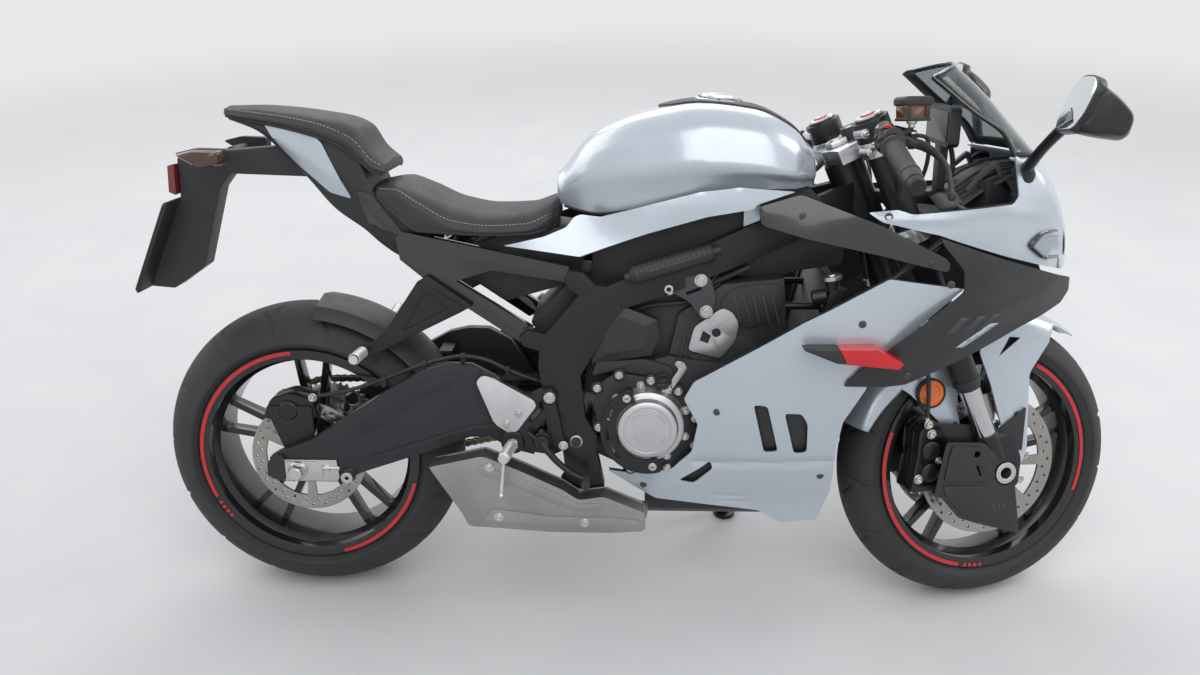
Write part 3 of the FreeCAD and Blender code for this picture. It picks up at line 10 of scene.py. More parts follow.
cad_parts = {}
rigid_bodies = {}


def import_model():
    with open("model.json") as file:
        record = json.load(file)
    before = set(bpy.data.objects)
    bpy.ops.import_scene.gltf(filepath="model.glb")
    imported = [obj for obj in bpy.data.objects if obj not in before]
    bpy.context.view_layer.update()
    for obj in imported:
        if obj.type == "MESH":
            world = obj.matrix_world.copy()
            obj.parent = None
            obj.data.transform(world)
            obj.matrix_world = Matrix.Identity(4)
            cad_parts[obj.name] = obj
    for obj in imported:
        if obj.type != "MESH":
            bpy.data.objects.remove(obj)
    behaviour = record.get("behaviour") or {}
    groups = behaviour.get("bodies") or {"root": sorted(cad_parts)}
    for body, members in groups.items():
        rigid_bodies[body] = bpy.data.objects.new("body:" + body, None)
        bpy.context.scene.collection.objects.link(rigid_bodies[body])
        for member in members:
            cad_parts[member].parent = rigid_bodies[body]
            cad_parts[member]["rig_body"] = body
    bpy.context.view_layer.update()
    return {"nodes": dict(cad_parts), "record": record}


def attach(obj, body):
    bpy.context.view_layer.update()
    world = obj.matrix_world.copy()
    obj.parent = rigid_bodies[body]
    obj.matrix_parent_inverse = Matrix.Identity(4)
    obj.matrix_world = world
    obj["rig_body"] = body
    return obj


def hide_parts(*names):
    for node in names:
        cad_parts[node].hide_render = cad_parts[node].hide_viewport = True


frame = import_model()
scene = bpy.context.scene
random.seed(7)

# Bike frame: x forward from the rear axle, y left, z up from the floor, millimetres, bike upright.
# Its place in the row frame follows from the joints.
RAKE = math.radians(24.2)
STEER = math.radians(15)
REAR_R = 315
FRONT_R = 300
WHEELBASE = 1400
joints = {j["name"]: j for j in frame["record"]["behaviour"]["joints"]}


def joint_axis(name):
    return Vector(joints[name]["axis"]).normalized()


def joint_place(name):
    return Vector(joints[name]["pos_m"])


left = joint_axis("rear_wheel_spin")
stem = joint_axis("steering_turn")
across = left.cross(stem)
ahead = across * math.cos(RAKE) - stem * math.sin(RAKE)
upward = across * math.sin(RAKE) + stem * math.cos(RAKE)
turn = Matrix((ahead, left, upward)).transposed().to_4x4()
rear_axle = joint_place("rear_wheel_spin")
CHASSIS = Matrix.Translation(rear_axle) @ turn @ Matrix.Scale(0.001, 4) @ Matrix.Translation((0, 0, -REAR_R))
pivot = Matrix.Translation(joint_place("steering_turn"))
STEERED = pivot @ Matrix.Rotation(STEER, 4, stem) @ pivot.inverted() @ CHASSIS
CARRIER = {"chassis": CHASSIS, "fuel_cap": CHASSIS, "side_stand": CHASSIS, "rear_wheel": CHASSIS,
           "steering": STEERED, "front_wheel": STEERED}


# Materials
def shader(name):
    mat = bpy.data.materials.new(name)
    mat.use_nodes = True
    nodes = mat.node_tree.nodes
    links = mat.node_tree.links
    return mat, nodes, links, nodes["Principled BSDF"]


def noise(nodes, links, scale, detail=4.0, rough=0.55, stretch=None):
    place = nodes.new("ShaderNodeTexCoord")
    tex = nodes.new("ShaderNodeTexNoise")
    tex.inputs["Scale"].default_value = scale
    tex.inputs["Detail"].default_value = detail
    tex.inputs["Roughness"].default_value = rough
    if stretch:
        mapping = nodes.new("ShaderNodeMapping")
        mapping.inputs["Scale"].default_value = stretch
        links.new(place.outputs["Object"], mapping.inputs["Vector"])
        links.new(mapping.outputs["Vector"], tex.inputs["Vector"])
    else:
        links.new(place.outputs["Object"], tex.inputs["Vector"])
    return tex.outputs["Fac"]


def ramp(nodes, links, source, low, high, colours):
    node = nodes.new("ShaderNodeValToRGB")
    node.color_ramp.elements[0].position = low
    node.color_ramp.elements[1].position = high
    node.color_ramp.elements[0].color = (*colours[0], 1)
    node.color_ramp.elements[1].color = (*colours[1], 1)
    links.new(source, node.inputs["Fac"])
    return node.outputs["Color"]


def spread(nodes, links, source, low, high):
    node = nodes.new("ShaderNodeMapRange")
    node.inputs["To Min"].default_value = low
    node.inputs["To Max"].default_value = high
    links.new(source, node.inputs["Value"])
    return node.outputs["Result"]


def bump(nodes, links, bsdf, source, strength, distance, before=None):
    node = nodes.new("ShaderNodeBump")
    node.inputs["Strength"].default_value = strength
    node.inputs["Distance"].default_value = distance
    links.new(source, node.inputs["Height"])
    if before:
        links.new(before, node.inputs["Normal"])
    links.new(node.outputs["Normal"], bsdf.inputs["Normal"])
    return node.outputs["Normal"]


def finish(name, colour, metallic=0.0, rough=0.5, vary=0.12, coat=0.0, grain=900, depth=0.00004, stretch=None,
           dirt=0.12, specular=0.5):
    """Surface with cloudy colour and gloss, a fine grain, and the coat that it is given."""
    mat, nodes, links, bsdf = shader(name)
    cloud = noise(nodes, links, 9, 6)
    dark = tuple(c * (1 - vary) for c in colour)
    light = tuple(min(1, c * (1 + vary)) for c in colour)
    links.new(ramp(nodes, links, cloud, 0.3, 0.7, (dark, light)), bsdf.inputs["Base Color"])
    smudge = noise(nodes, links, 32, 8, 0.6)
    links.new(spread(nodes, links, smudge, max(0.02, rough - dirt), min(1, rough + dirt)),
              bsdf.inputs["Roughness"])
    bsdf.inputs["Metallic"].default_value = metallic
    bsdf.inputs["Coat Weight"].default_value = coat
    bsdf.inputs["Coat Roughness"].default_value = 0.04
    bsdf.inputs["Specular IOR Level"].default_value = specular
    bump(nodes, links, bsdf, noise(nodes, links, grain, 3, 0.6, stretch), 0.35, depth)
    return mat


def metallic_paint(name, colour, flake):
    """Clear-coated paint with metal flakes and a slight orange peel."""
    mat, nodes, links, bsdf = shader(name)
    place = nodes.new("ShaderNodeTexCoord")
    cells = nodes.new("ShaderNodeTexVoronoi")
    cells.inputs["Scale"].default_value = 1800
    links.new(place.outputs["Object"], cells.inputs["Vector"])
    sparkle = ramp(nodes, links, cells.outputs["Color"], 0.1, 0.9, (colour, flake))
    links.new(sparkle, bsdf.inputs["Base Color"])
    bsdf.inputs["Metallic"].default_value = 0.45
    smudge = noise(nodes, links, 14, 6, 0.6)
    links.new(spread(nodes, links, smudge, 0.27, 0.36), bsdf.inputs["Roughness"])
    bsdf.inputs["Coat Weight"].default_value = 1.0
    bsdf.inputs["Coat Roughness"].default_value = 0.05
    bump(nodes, links, bsdf, noise(nodes, links, 260, 2, 0.5), 0.08, 0.0002)
    return mat


def glass(name, colour, rough, alpha, ior=1.45):
    mat, nodes, links, bsdf = shader(name)
    bsdf.inputs["Base Color"].default_value = (*colour, 1)
    bsdf.inputs["Transmission Weight"].default_value = alpha
    bsdf.inputs["IOR"].default_value = ior
    links.new(spread(nodes, links, noise(nodes, links, 18, 6), rough, rough + 0.05), bsdf.inputs["Roughness"])
    return mat


SILVER = metallic_paint("paint_silver", (0.44, 0.49, 0.55), (0.60, 0.655, 0.72))
GLOSS_BLACK = finish("gloss_black", (0.012, 0.012, 0.014), 0, 0.12, coat=0.8, grain=300, depth=0.00002,
                     dirt=0.05)
MATT_BLACK = finish("matt_black_plastic", (0.022, 0.022, 0.024), 0, 0.52, grain=1400, depth=0.0001)
GREY_PLASTIC = finish("grey_plastic", (0.05, 0.05, 0.055), 0, 0.5, grain=1200, depth=0.0001)
FRAME_BLACK = finish("frame_black", (0.018, 0.018, 0.02), 0.3, 0.36, grain=700, depth=0.00006)
ARM_BLACK = finish("arm_black", (0.035, 0.036, 0.04), 0.5, 0.38, grain=500, depth=0.00006)
CAST_BLACK = finish("wheel_black", (0.014, 0.014, 0.016), 0.2, 0.22, coat=0.35, grain=420, depth=0.00005)
CAST_SILVER = finish("cast_silver", (0.52, 0.52, 0.53), 0.85, 0.4, grain=800, depth=0.00012)
ALUMINIUM = finish("satin_aluminium", (0.66, 0.66, 0.67), 0.95, 0.32, grain=900, depth=0.00004)
BRUSHED = finish("brushed_steel", (0.55, 0.54, 0.52), 1, 0.3, grain=500, depth=0.00006, stretch=(0.05, 1, 1))
CAN_STEEL = finish("silencer_steel", (0.33, 0.32, 0.305), 1, 0.42, grain=500, depth=0.00006,
                   stretch=(0.05, 1, 1))
HEADER = finish("heated_steel", (0.33, 0.28, 0.23), 1, 0.38, vary=0.3, grain=600)
CHROME = finish("fork_chrome", (0.55, 0.55, 0.57), 1, 0.12, vary=0.03, grain=200, depth=0.00001, dirt=0.04)
DISC = finish("disc_steel", (0.36, 0.34, 0.32), 1, 0.34, vary=0.15, grain=900, depth=0.00005)
DARK_STEEL = finish("dark_steel", (0.1, 0.1, 0.105), 0.9, 0.4)
CHAIN_STEEL = finish("oiled_chain", (0.16, 0.12, 0.08), 0.9, 0.42, vary=0.4)
ENGINE_BLACK = finish("engine_black", (0.035, 0.035, 0.037), 0.3, 0.5, grain=900, depth=0.0002)
TYRE = finish("tyre_rubber", (0.03, 0.03, 0.031), 0, 0.72, vary=0.2, grain=1100, depth=0.00012, dirt=0.1)
RUBBER = finish("rubber", (0.025, 0.025, 0.026), 0, 0.66, grain=1500, depth=0.00015)
RED = finish("red_paint", (0.62, 0.012, 0.018), 0, 0.28, vary=0.06, coat=0.3)
ORANGE = finish("orange_reflector", (0.85, 0.17, 0.01), 0, 0.18, vary=0.06, coat=0.6, grain=420, depth=0.0004)
RED_LENS = finish("red_lens", (0.2, 0.008, 0.008), 0, 0.15, vary=0.1, coat=0.8)
PLATE = finish("blank_plate", (0.035, 0.035, 0.037), 0, 0.5)
SCREEN = glass("smoked_screen", (0.32, 0.35, 0.36), 0.02, 0.96, 1.3)
LENS = glass("lamp_lens", (0.92, 0.95, 0.97), 0.01, 1.0)
MIRROR_GLASS = finish("mirror_glass", (0.75, 0.78, 0.8), 1, 0.04, vary=0.02, grain=50, depth=0.000001,
                      dirt=0.02)
SEAT = finish("seat_vinyl", (0.032, 0.032, 0.034), 0, 0.6, grain=2200, depth=0.00035)
THREAD = finish("seat_thread", (0.42, 0.43, 0.45), 0, 0.7, grain=2600, depth=0.0001)
PALE = finish("pale_stripe", (0.55, 0.60, 0.68), 0.2, 0.35, coat=0.4)
BRAID = finish("braided_hose", (0.03, 0.03, 0.032), 0.2, 0.45, grain=2500, depth=0.0003)
MIRROR_BLACK = finish("mirror_black", (0.016, 0.016, 0.018), 0, 0.3, grain=900, depth=0.00006)
AMBER = finish("brake_fluid", (0.16, 0.055, 0.02), 0, 0.14, vary=0.3, coat=0.6, grain=60)
SMOKED = finish("smoked_lens", (0.06, 0.022, 0.012), 0, 0.12, vary=0.1, coat=0.6, grain=300)
DISPLAY = finish("display_glass", (0.012, 0.014, 0.017), 0, 0.34, vary=0.1, grain=200, depth=0.00001,
                 dirt=0.05)
LAMP_WHITE = finish("lamp_white", (0.78, 0.82, 0.86), 0, 0.2, vary=0.04, coat=0.5, grain=200)

NODE_FINISH = {
    "air_guides": MATT_BLACK, "belly_pan": MATT_BLACK, "chain": CHAIN_STEEL, "dash": MATT_BLACK,
    "engine": ENGINE_BLACK, "engine_covers": CAST_SILVER, "exhaust_header": HEADER, "footrests": ALUMINIUM,
    "fairing_stays": FRAME_BLACK, "fork_lowers": CHROME, "fork_uppers": FRAME_BLACK, "frame": FRAME_BLACK,
    "front_axle": BRUSHED, "front_brake_hoses": BRAID, "front_calipers": FRAME_BLACK, "front_discs": DISC,
    "front_fender": SILVER, "front_reflectors": ORANGE, "front_rim": CAST_BLACK, "front_tyre": TYRE,
    "fuel_cap": ALUMINIUM, "fuel_tank": SILVER, "grips": RUBBER, "handlebars": FRAME_BLACK,
    "headlamps": LENS, "hugger": MATT_BLACK, "lamp_housing": MATT_BLACK, "levers": DARK_STEEL,
    "mirrors": GLOSS_BLACK, "nose_cowl": SILVER, "pillion_rests": FRAME_BLACK, "pillion_seat": SEAT,
    "plate_holder": MATT_BLACK, "radiator": ENGINE_BLACK, "rear_axle": BRUSHED, "rear_brake_hose": BRAID,
    "rear_caliper": FRAME_BLACK, "rear_disc": DISC, "rear_indicators": MATT_BLACK, "rear_rim": CAST_BLACK,
    "rear_sprocket": BRUSHED, "rear_tyre": TYRE, "rider_seat": SEAT, "shock": DARK_STEEL,
    "side_panels": SILVER, "side_stand": FRAME_BLACK, "silencer": BRUSHED, "spool_bosses": BRUSHED,
    "subframe": GLOSS_BLACK,
    "swingarm": ARM_BLACK, "tail_base": MATT_BLACK, "tail_lamp": RED_LENS, "tail_panels": SILVER,
    "tank_covers": SILVER, "upper_panels": GLOSS_BLACK, "windscreen": SCREEN, "wing_panels": MATT_BLACK,
    "yokes": ALUMINIUM,
}
for node, finish_of_node in NODE_FINISH.items():
    cad = frame["nodes"][node]
    if not cad.material_slots:
        cad.data.materials.append(finish_of_node)
    for material_slot in cad.material_slots:
        material_slot.material = finish_of_node


# Shapes are built in bike millimetres and carried to the row frame
def piece(name, body, material, mesh, replaces=(), sharp=35, wall=0, levels=0):
    mesh.materials.append(material)
    obj = bpy.data.objects.new(name, mesh)
    scene.collection.objects.link(obj)
    mesh.shade_smooth()
    mesh.set_sharp_from_angle(angle=math.radians(sharp))
    if wall:
        solid = obj.modifiers.new("wall", "SOLIDIFY")
        solid.thickness = wall / 1000
        solid.offset = -1
    if levels:
        rounder = obj.modifiers.new("round", "SUBSURF")
        rounder.levels = levels
        rounder.render_levels = levels
    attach(obj, body)
    if replaces:
        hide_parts(*replaces)
    return obj


def cubic(places, values, at):
    """Smooth curve through a table, without overshoot, held past its ends."""
    if at <= places[0]:
        return values[0]
    if at >= places[-1]:
        return values[-1]
    i = max(k for k in range(len(places) - 1) if places[k] <= at)
    slopes = [(values[k + 1] - values[k]) / (places[k + 1] - places[k]) for k in range(len(places) - 1)]

    def tangent(k):
        if k == 0:
            return slopes[0]
        if k == len(slopes):
            return slopes[-1]
        before, after = slopes[k - 1], slopes[k]
        return 0 if before * after <= 0 else 2 * before * after / (before + after)

    span = places[i + 1] - places[i]
    s = (at - places[i]) / span
    a, b = tangent(i) * span, tangent(i + 1) * span
    return (values[i] * (1 + 2 * s) * (1 - s) ** 2 + a * s * (1 - s) ** 2 + values[i + 1] * s * s * (3 - 2 * s)
            + b * s * s * (s - 1))


def smooth_line(points, steps=6, closed=False):
    """Catmull-Rom line through the points."""
    points = [Vector(p) for p in points]
    count = len(points)
    out = []
    for k in range(count if closed else count - 1):
        if closed:
            p0, p1, p2, p3 = (points[(k + d) % count] for d in (-1, 0, 1, 2))
        else:
            p1, p2 = points[k], points[k + 1]
            p0 = points[k - 1] if k else 2 * p1 - p2
            p3 = points[k + 2] if k + 2 < count else 2 * p2 - p1
        for j in range(steps):
            s = j / steps
            out.append(0.5 * (2 * p1 + (p2 - p0) * s + (2 * p0 - 5 * p1 + 4 * p2 - p3) * s * s
                              + (3 * p1 - p0 - 3 * p2 + p3) * s ** 3))
    if not closed:
        out.append(points[-1])
    return out


def rounded(outline, radius, steps=4):
    """Outline with its corners rounded."""
    points = [Vector(p) for p in outline]
    out = []
    for k, corner in enumerate(points):
        before = points[k - 1] - corner
        after = points[(k + 1) % len(points)] - corner
        cut = min(radius, 0.45 * before.length, 0.45 * after.length)
        start = corner + before.normalized() * cut
        end = corner + after.normalized() * cut
        for j in range(steps + 1):
            s = j / steps
            out.append(start * (1 - s) ** 2 + corner * 2 * s * (1 - s) + end * s * s)
    return out


def inside(point, outline):
    hit = False
    x, z = point
    for a, b in zip(outline, outline[1:] + outline[:1]):
        if (a[1] > z) != (b[1] > z) and x < (b[0] - a[0]) * (z - a[1]) / (b[1] - a[1]) + a[0]:
            hit = not hit
    return hit


def divided(outline, step):
    out = []
    for a, b in zip(outline, outline[1:] + outline[:1]):
        a, b = Vector(a), Vector(b)
        parts = max(1, int((b - a).length / step + 0.5))
        out += [a.lerp(b, k / parts) for k in range(parts)]
    return out


def flat_mesh(outline, holes=(), step=0.0):
    """Triangles that fill a flat outline round its holes; step adds points inside."""
    loops = [[Vector(p) for p in loop] for loop in (outline, *holes)]
    if step:
        loops = [divided(loop, step) for loop in loops]
    points, edges = [], []
    for loop in loops:
        first = len(points)
        points += loop
        edges += [(first + k, first + (k + 1) % len(loop)) for k in range(len(loop))]
    if step:
        rim = list(points)
        xs = [p[0] for p in loops[0]]
        zs = [p[1] for p in loops[0]]
        row = 0
        z = min(zs) + step / 2
        while z < max(zs):
            x = min(xs) + (step / 2 if row % 2 else 0)
            while x < max(xs):
                here = Vector((x, z))
                free = inside(here, loops[0]) and not any(inside(here, hole) for hole in loops[1:])
                if free and min((here - p).length_squared for p in rim) > (0.6 * step) ** 2:
                    points.append(here)
                x += step
            z += step * 0.87
            row += 1
    found = delaunay_2d_cdt(points, edges, [], 0, 1e-4)
    kept = []
    for face in found[2]:
        middle = sum((found[0][k] for k in face), Vector((0, 0))) / len(face)
        if inside(middle, loops[0]) and not any(inside(middle, hole) for hole in loops[1:]):
            kept.append(face)
    return found[0], kept


class Shape:
    """Mesh being made, in bike millimetres."""

    def __init__(self):
        self.bm = bmesh.new()

    def add(self, points, faces):
        verts = [self.bm.verts.new(p) for p in points]
        made = []
        for face in faces:
            try:
                made.append(self.bm.faces.new([verts[k] for k in face]))
            except ValueError:
                continue
        return verts, made

    def grid(self, rows, wrap=False, loop=False, caps=False):
        """Skin over rows of points; wrap joins each row's ends, loop joins the last row to the first."""
        count = len(rows[0])
        points = [p for row in rows for p in row]
        faces = []
        for r in range(len(rows) if loop else len(rows) - 1):
            below = ((r + 1) % len(rows)) * count
            for c in range(count if wrap else count - 1):
                nxt = (c + 1) % count
                faces.append((r * count + c, r * count + nxt, below + nxt, below + c))
        if caps:
            faces.append(tuple(reversed(range(count))))
            faces.append(tuple(range((len(rows) - 1) * count, len(rows) * count)))
        self.add(points, faces)

    def prism(self, outline, low, high, edge=0.0, holes=(), place=None):
        """Side outline carried across the bike between two y, with its rims eased."""
        part = bmesh.new()
        flat, faces = flat_mesh(outline, holes)
        verts = [[part.verts.new((p[0], y, p[1])) for p in flat] for y in (low, high)]
        for face in faces:
            part.faces.new([verts[0][k] for k in face])
            part.faces.new([verts[1][k] for k in reversed(face)])
        uses = {}
        for face in faces:
            for a, b in zip(face, face[1:] + face[:1]):
                key = (min(a, b), max(a, b))
                uses[key] = None if key in uses else (a, b)
        for pair in uses.values():
            if pair:
                a, b = pair
                part.faces.new((verts[0][b], verts[0][a], verts[1][a], verts[1][b]))
        bmesh.ops.recalc_face_normals(part, faces=part.faces)
        bmesh.ops.dissolve_limit(part, angle_limit=0.01, verts=part.verts, edges=part.edges)
        if edge:
            sharp = [e for e in part.edges if len(e.link_faces) == 2 and e.calc_face_angle() > 0.6]
            bmesh.ops.bevel(part, geom=sharp, offset=edge, segments=2, profile=0.6, affect="EDGES",
                            clamp_overlap=True)
        if place:
            part.transform(place)
        self.join(part)

    def join(self, part):
        mesh = bpy.data.meshes.new("part")
        part.to_mesh(mesh)
        part.free()
        self.bm.from_mesh(mesh)
        bpy.data.meshes.remove(mesh)

    def lathe(self, centre, direction, profile, count=32, closed=False):
        """Turned form: the profile holds (distance along, radius) points."""
        axis = Vector(direction).normalized()
        side = axis.orthogonal().normalized()
        other = axis.cross(side)
        rows = []
        for along, radius in profile:
            rows.append([Vector(centre) + axis * along
                         + (side * math.cos(2 * math.pi * k / count) + other * math.sin(2 * math.pi * k / count))
                         * radius for k in range(count)])
        self.grid(rows, wrap=True, loop=closed, caps=not closed)

    def rod(self, start, end, radius, tip=None, edge=0.6, count=20):
        start, end = Vector(start), Vector(end)
        length = (end - start).length
        tip = radius if tip is None else tip
        cut = min(edge, radius * 0.4, length * 0.3)
        self.lathe(start, end - start, [(0, radius - cut), (cut, radius), (length - cut, tip),
                                        (length, tip - cut)],
                   count)

    def tube(self, points, radius, steps=6, sides=12, radii=None, smooth=True):
        line = smooth_line(points, steps) if smooth else [Vector(p) for p in points]
        side = (line[1] - line[0]).orthogonal().normalized()
        rows = []
        for k, p in enumerate(line):
            along = (line[min(k + 1, len(line) - 1)] - line[max(k - 1, 0)]).normalized()
            side = (side - along * side.dot(along)).normalized()
            other = along.cross(side)
            r = radius
            if radii:
                r = cubic([j / (len(radii) - 1) for j in range(len(radii))], radii, k / (len(line) - 1))
            rows.append([p + (side * math.cos(2 * math.pi * j / sides) + other * math.sin(2 * math.pi * j / sides))
                         * r for j in range(sides)])
        self.grid(rows, wrap=True, caps=True)

    def bolt(self, centre, direction, radius, depth, washer=0.0, socket=0.5):
        """Cap screw with a round socket, its seat at the centre."""
        axis = Vector(direction).normalized()
        inner = radius * socket
        if washer:
            self.lathe(centre, axis, [(0, washer), (1.2, washer), (1.6, washer - 0.5), (1.6, radius)], 24)
        self.lathe(centre, axis, [(0, radius), (depth - 1, radius), (depth - 0.3, radius - 0.4),
                                  (depth, radius - 1),
                                  (depth, inner + 0.4), (depth - 0.4, inner), (depth * 0.4, inner)], 18)

    def ball(self, centre, radii, rows=10, count=18):
        made = []
        for r in range(1, rows):
            a = math.pi * r / rows
            made.append([Vector(centre) + Vector((radii[0] * math.sin(a) * math.cos(2 * math.pi * k / count),
                                                  radii[1] * math.sin(a) * math.sin(2 * math.pi * k / count),
                                                  radii[2] * math.cos(a))) for k in range(count)])
        self.grid(made, wrap=True, caps=True)

    def mirror(self):
        other = self.bm.copy()
        bmesh.ops.scale(other, vec=(1, -1, 1), verts=other.verts)
        bmesh.ops.reverse_faces(other, faces=other.faces)
        self.join(other)

    def done(self, name, body, material, replaces=(), sharp=35, wall=0, levels=0, tidy=True):
        if tidy:
            bmesh.ops.recalc_face_normals(self.bm, faces=self.bm.faces)
        mesh = bpy.data.meshes.new(name)
        self.bm.to_mesh(mesh)
        self.bm.free()
        mesh.transform(CARRIER[body])
        return piece(name, body, material, mesh, replaces, sharp, wall, levels)


def softened(node, width=1.5, angle=28, material=None):
    """A CAD node with its coplanar facets joined and its edges eased; it stands for the node."""
    cad = frame["nodes"][node]
    bm = bmesh.new()
    bm.from_mesh(cad.data)
    bmesh.ops.remove_doubles(bm, verts=bm.verts, dist=0.00003)
    bmesh.ops.dissolve_limit(bm, angle_limit=math.radians(0.8), verts=bm.verts, edges=bm.edges)
    sharp = [e for e in bm.edges if len(e.link_faces) == 2 and e.calc_face_angle() > math.radians(angle)]
    bmesh.ops.bevel(bm, geom=sharp, offset=width / 1000, segments=2, profile=0.6, affect="EDGES",
                    clamp_overlap=True)
    mesh = bpy.data.meshes.new(node + "_eased")
    bm.to_mesh(mesh)
    bm.free()
    return piece(node + "_eased", cad["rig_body"], material or NODE_FINISH[node], mesh, [node], 38)


# Tyres: round crown, grooved shoulders and ribbed side walls
def tyre(name, body, place, radius, half, drop, flange, bead, lean_of_grooves):
    around = 540
    shoulder = radius - drop
    def wall_at(r):
        share = (r - flange - 3) / (shoulder - flange - 3)
        return bead + 4 + (half - bead - 4) * math.sin(share * math.pi / 2)

    profile = [(bead - 6, 220), (bead - 1, 226), (bead + 1, flange + 1)]
    for share in (0, 0.25, 0.5, 0.75):
        r = flange + 3 + (shoulder - flange - 3) * share
        profile.append((wall_at(r), r))
    wall_points = list(profile)
    crown = 26
    rise_radius = (half * half + drop * drop) / (2 * drop)
    arc = math.asin(min(1,
                        half / rise_radius)) if drop < rise_radius else math.pi - math.asin(half / rise_radius)
    for k in range(crown + 1):
        a = arc * (1 - 2 * k / crown)
        profile.append((rise_radius * math.sin(a), radius - rise_radius * (1 - math.cos(a))))
    profile += [(-y, r) for y, r in reversed(wall_points)]
    rows = []
    for k in range(around):
        a = 2 * math.pi * k / around
        row = []
        for y, r in profile:
            depth = 0.0
            side = 1 if y > 0 else -1
            share = abs(y) / half
            if r > shoulder - 2:
                for phase, low, high, slope, width in ((0.0, 0.30, 0.93, 0.30, 0.085),
                                                       (0.5, 0.08, 0.56, -0.42, 0.07)):
                    turn_here = (a * 15 / (2 * math.pi) + phase + (0.5 if side > 0 else 0) + slope * share
                                 * lean_of_grooves) % 1
                    if low < share < high:
                        taper = min(1, (share - low) / 0.12, (high - share) / 0.12)
                        if abs(turn_here - 0.5) < width * 0.5 * taper:
                            depth = 4.2
            rr = r - depth
            row.append(Vector((rr * math.cos(a), y, rr * math.sin(a))) + place)
        rows.append(row)
    made = Shape()
    made.grid(rows, loop=True)
    made.done(name + "_rubber", body, TYRE, [name], 30)
    ribs = Shape()
    for r in (flange + 5, shoulder - 4):
        for side in (-1, 1):
            ribs.lathe(place + Vector((0, side * (wall_at(r) - 1), 0)), (0, side, 0),
                       [(0, r - 1.5), (1.6, r - 1), (2, r), (1.6, r + 1), (0, r + 1.5)], 120, closed=True)
    ribs.done(name + "_ribs", body, TYRE, sharp=60)


rear_place = Vector((0, 0, REAR_R))
front_place = Vector((WHEELBASE, 0, FRONT_R))
tyre("rear_tyre", "rear_wheel", rear_place, REAR_R, 90, 67, 234, 73, 1)
tyre("front_tyre", "front_wheel", front_place, FRONT_R, 60, 44, 234, 47, -1)


# Wheels: eased castings and red rim arcs
softened("rear_rim", 2.0)
softened("front_rim", 2.0)


def rim_stripe(name, body, place, side_y, arcs, dashes):
    """Painted bands just off the rim's flange; arcs and dashes are in degrees from straight ahead, upward."""
    made = Shape()
    bands = list(arcs) + [(start, start + 1.6) for start in dashes]
    for start, end in bands:
        count = max(2, int((end - start) / 2))
        for side in (-1, 1):
            rows = []
            for k in range(count + 1):
                a = math.radians(start + (end - start) * k / count)
                out = Vector((math.cos(a), 0, math.sin(a)))
                y = Vector((0, side * side_y, 0))
                rows.append([place + out * 223.0 + y, place + out * 230.6 + y,
                             place + out * 230.6 + y * 1.004, place + out * 223.0 + y * 1.004])
            made.grid(rows, wrap=True, caps=True)
    made.done(name, body, RED, sharp=30)


rim_stripe("rear_rim_stripe", "rear_wheel", rear_place, 80.3, [(95, 205), (285, 345)], [208, 211, 214, 217])
rim_stripe("front_rim_stripe", "front_wheel", front_place, 54.3, [(-20, 62), (160, 258)],
           [261, 264, 267, 270])


# Chain: inner and outer plates, rollers and pins along the loop
CHAIN_PITCH = 15.875
CHAIN_LINE = 104
LINKS = 114
REAR_TEETH, DRIVE_TEETH = 43, 16


def chain_path():
    rear_r = CHAIN_PITCH / (2 * math.sin(math.pi / REAR_TEETH))
    drive_r = CHAIN_PITCH / (2 * math.sin(math.pi / DRIVE_TEETH))
    low, high = 300.0, 1200.0
    for step in range(60):
        span = (low + high) / 2
        slant = math.asin((rear_r - drive_r) / span)
        loop = 2 * span * math.cos(slant) + rear_r * (math.pi + 2 * slant) + drive_r * (math.pi - 2 * slant)
        low, high = (span, high) if loop < LINKS * CHAIN_PITCH else (low, span)
    rise = math.atan2(395 - REAR_R, 660)
    forward = Vector((math.cos(rise), 0, math.sin(rise)))
    up = Vector((-math.sin(rise), 0, math.cos(rise)))
    drive = rear_place + forward * span
    straight = span * math.cos(slant)
    front_arc = drive_r * (math.pi - 2 * slant)

    def polar(centre, radius, angle):
        return centre + forward * (radius * math.sin(angle)) + up * (radius * math.cos(angle))

    points = []
    for k in range(LINKS):
        d = k * CHAIN_PITCH
        if d < straight:
            p = polar(rear_place, rear_r, slant).lerp(polar(drive, drive_r, slant), d / straight)
        elif d < straight + front_arc:
            p = polar(drive, drive_r, slant + (d - straight) / drive_r)
        elif d < 2 * straight + front_arc:
            p = polar(drive, drive_r, math.pi - slant).lerp(polar(rear_place, rear_r, math.pi - slant),
                                                             (d - straight - front_arc) / straight)
        else:
            p = polar(rear_place, rear_r, math.pi - slant + (d - 2 * straight - front_arc) / rear_r)
        points.append(p + Vector((0, CHAIN_LINE, 0)))
    return points


def link_plate(start, end, y, thick, tall):
    """Waisted plate outline between two pins."""
    along = (end - start).normalized()
    up = Vector((-along.z, 0, along.x))
    outline = []
    for centre, first in ((end, -90), (start, 90)):
        for k in range(7):
            a = math.radians(first + 30 * k)
            outline.append(centre + along * (tall * math.cos(a)) + up * (tall * math.sin(a)))
        middle = (start + end) / 2
        outline.append(middle + up * (tall * 0.72 * (1 if first < 0 else -1)))
    return [[p + Vector((0, y - thick / 2, 0)) for p in outline],
            [p + Vector((0, y + thick / 2, 0)) for p in outline]]


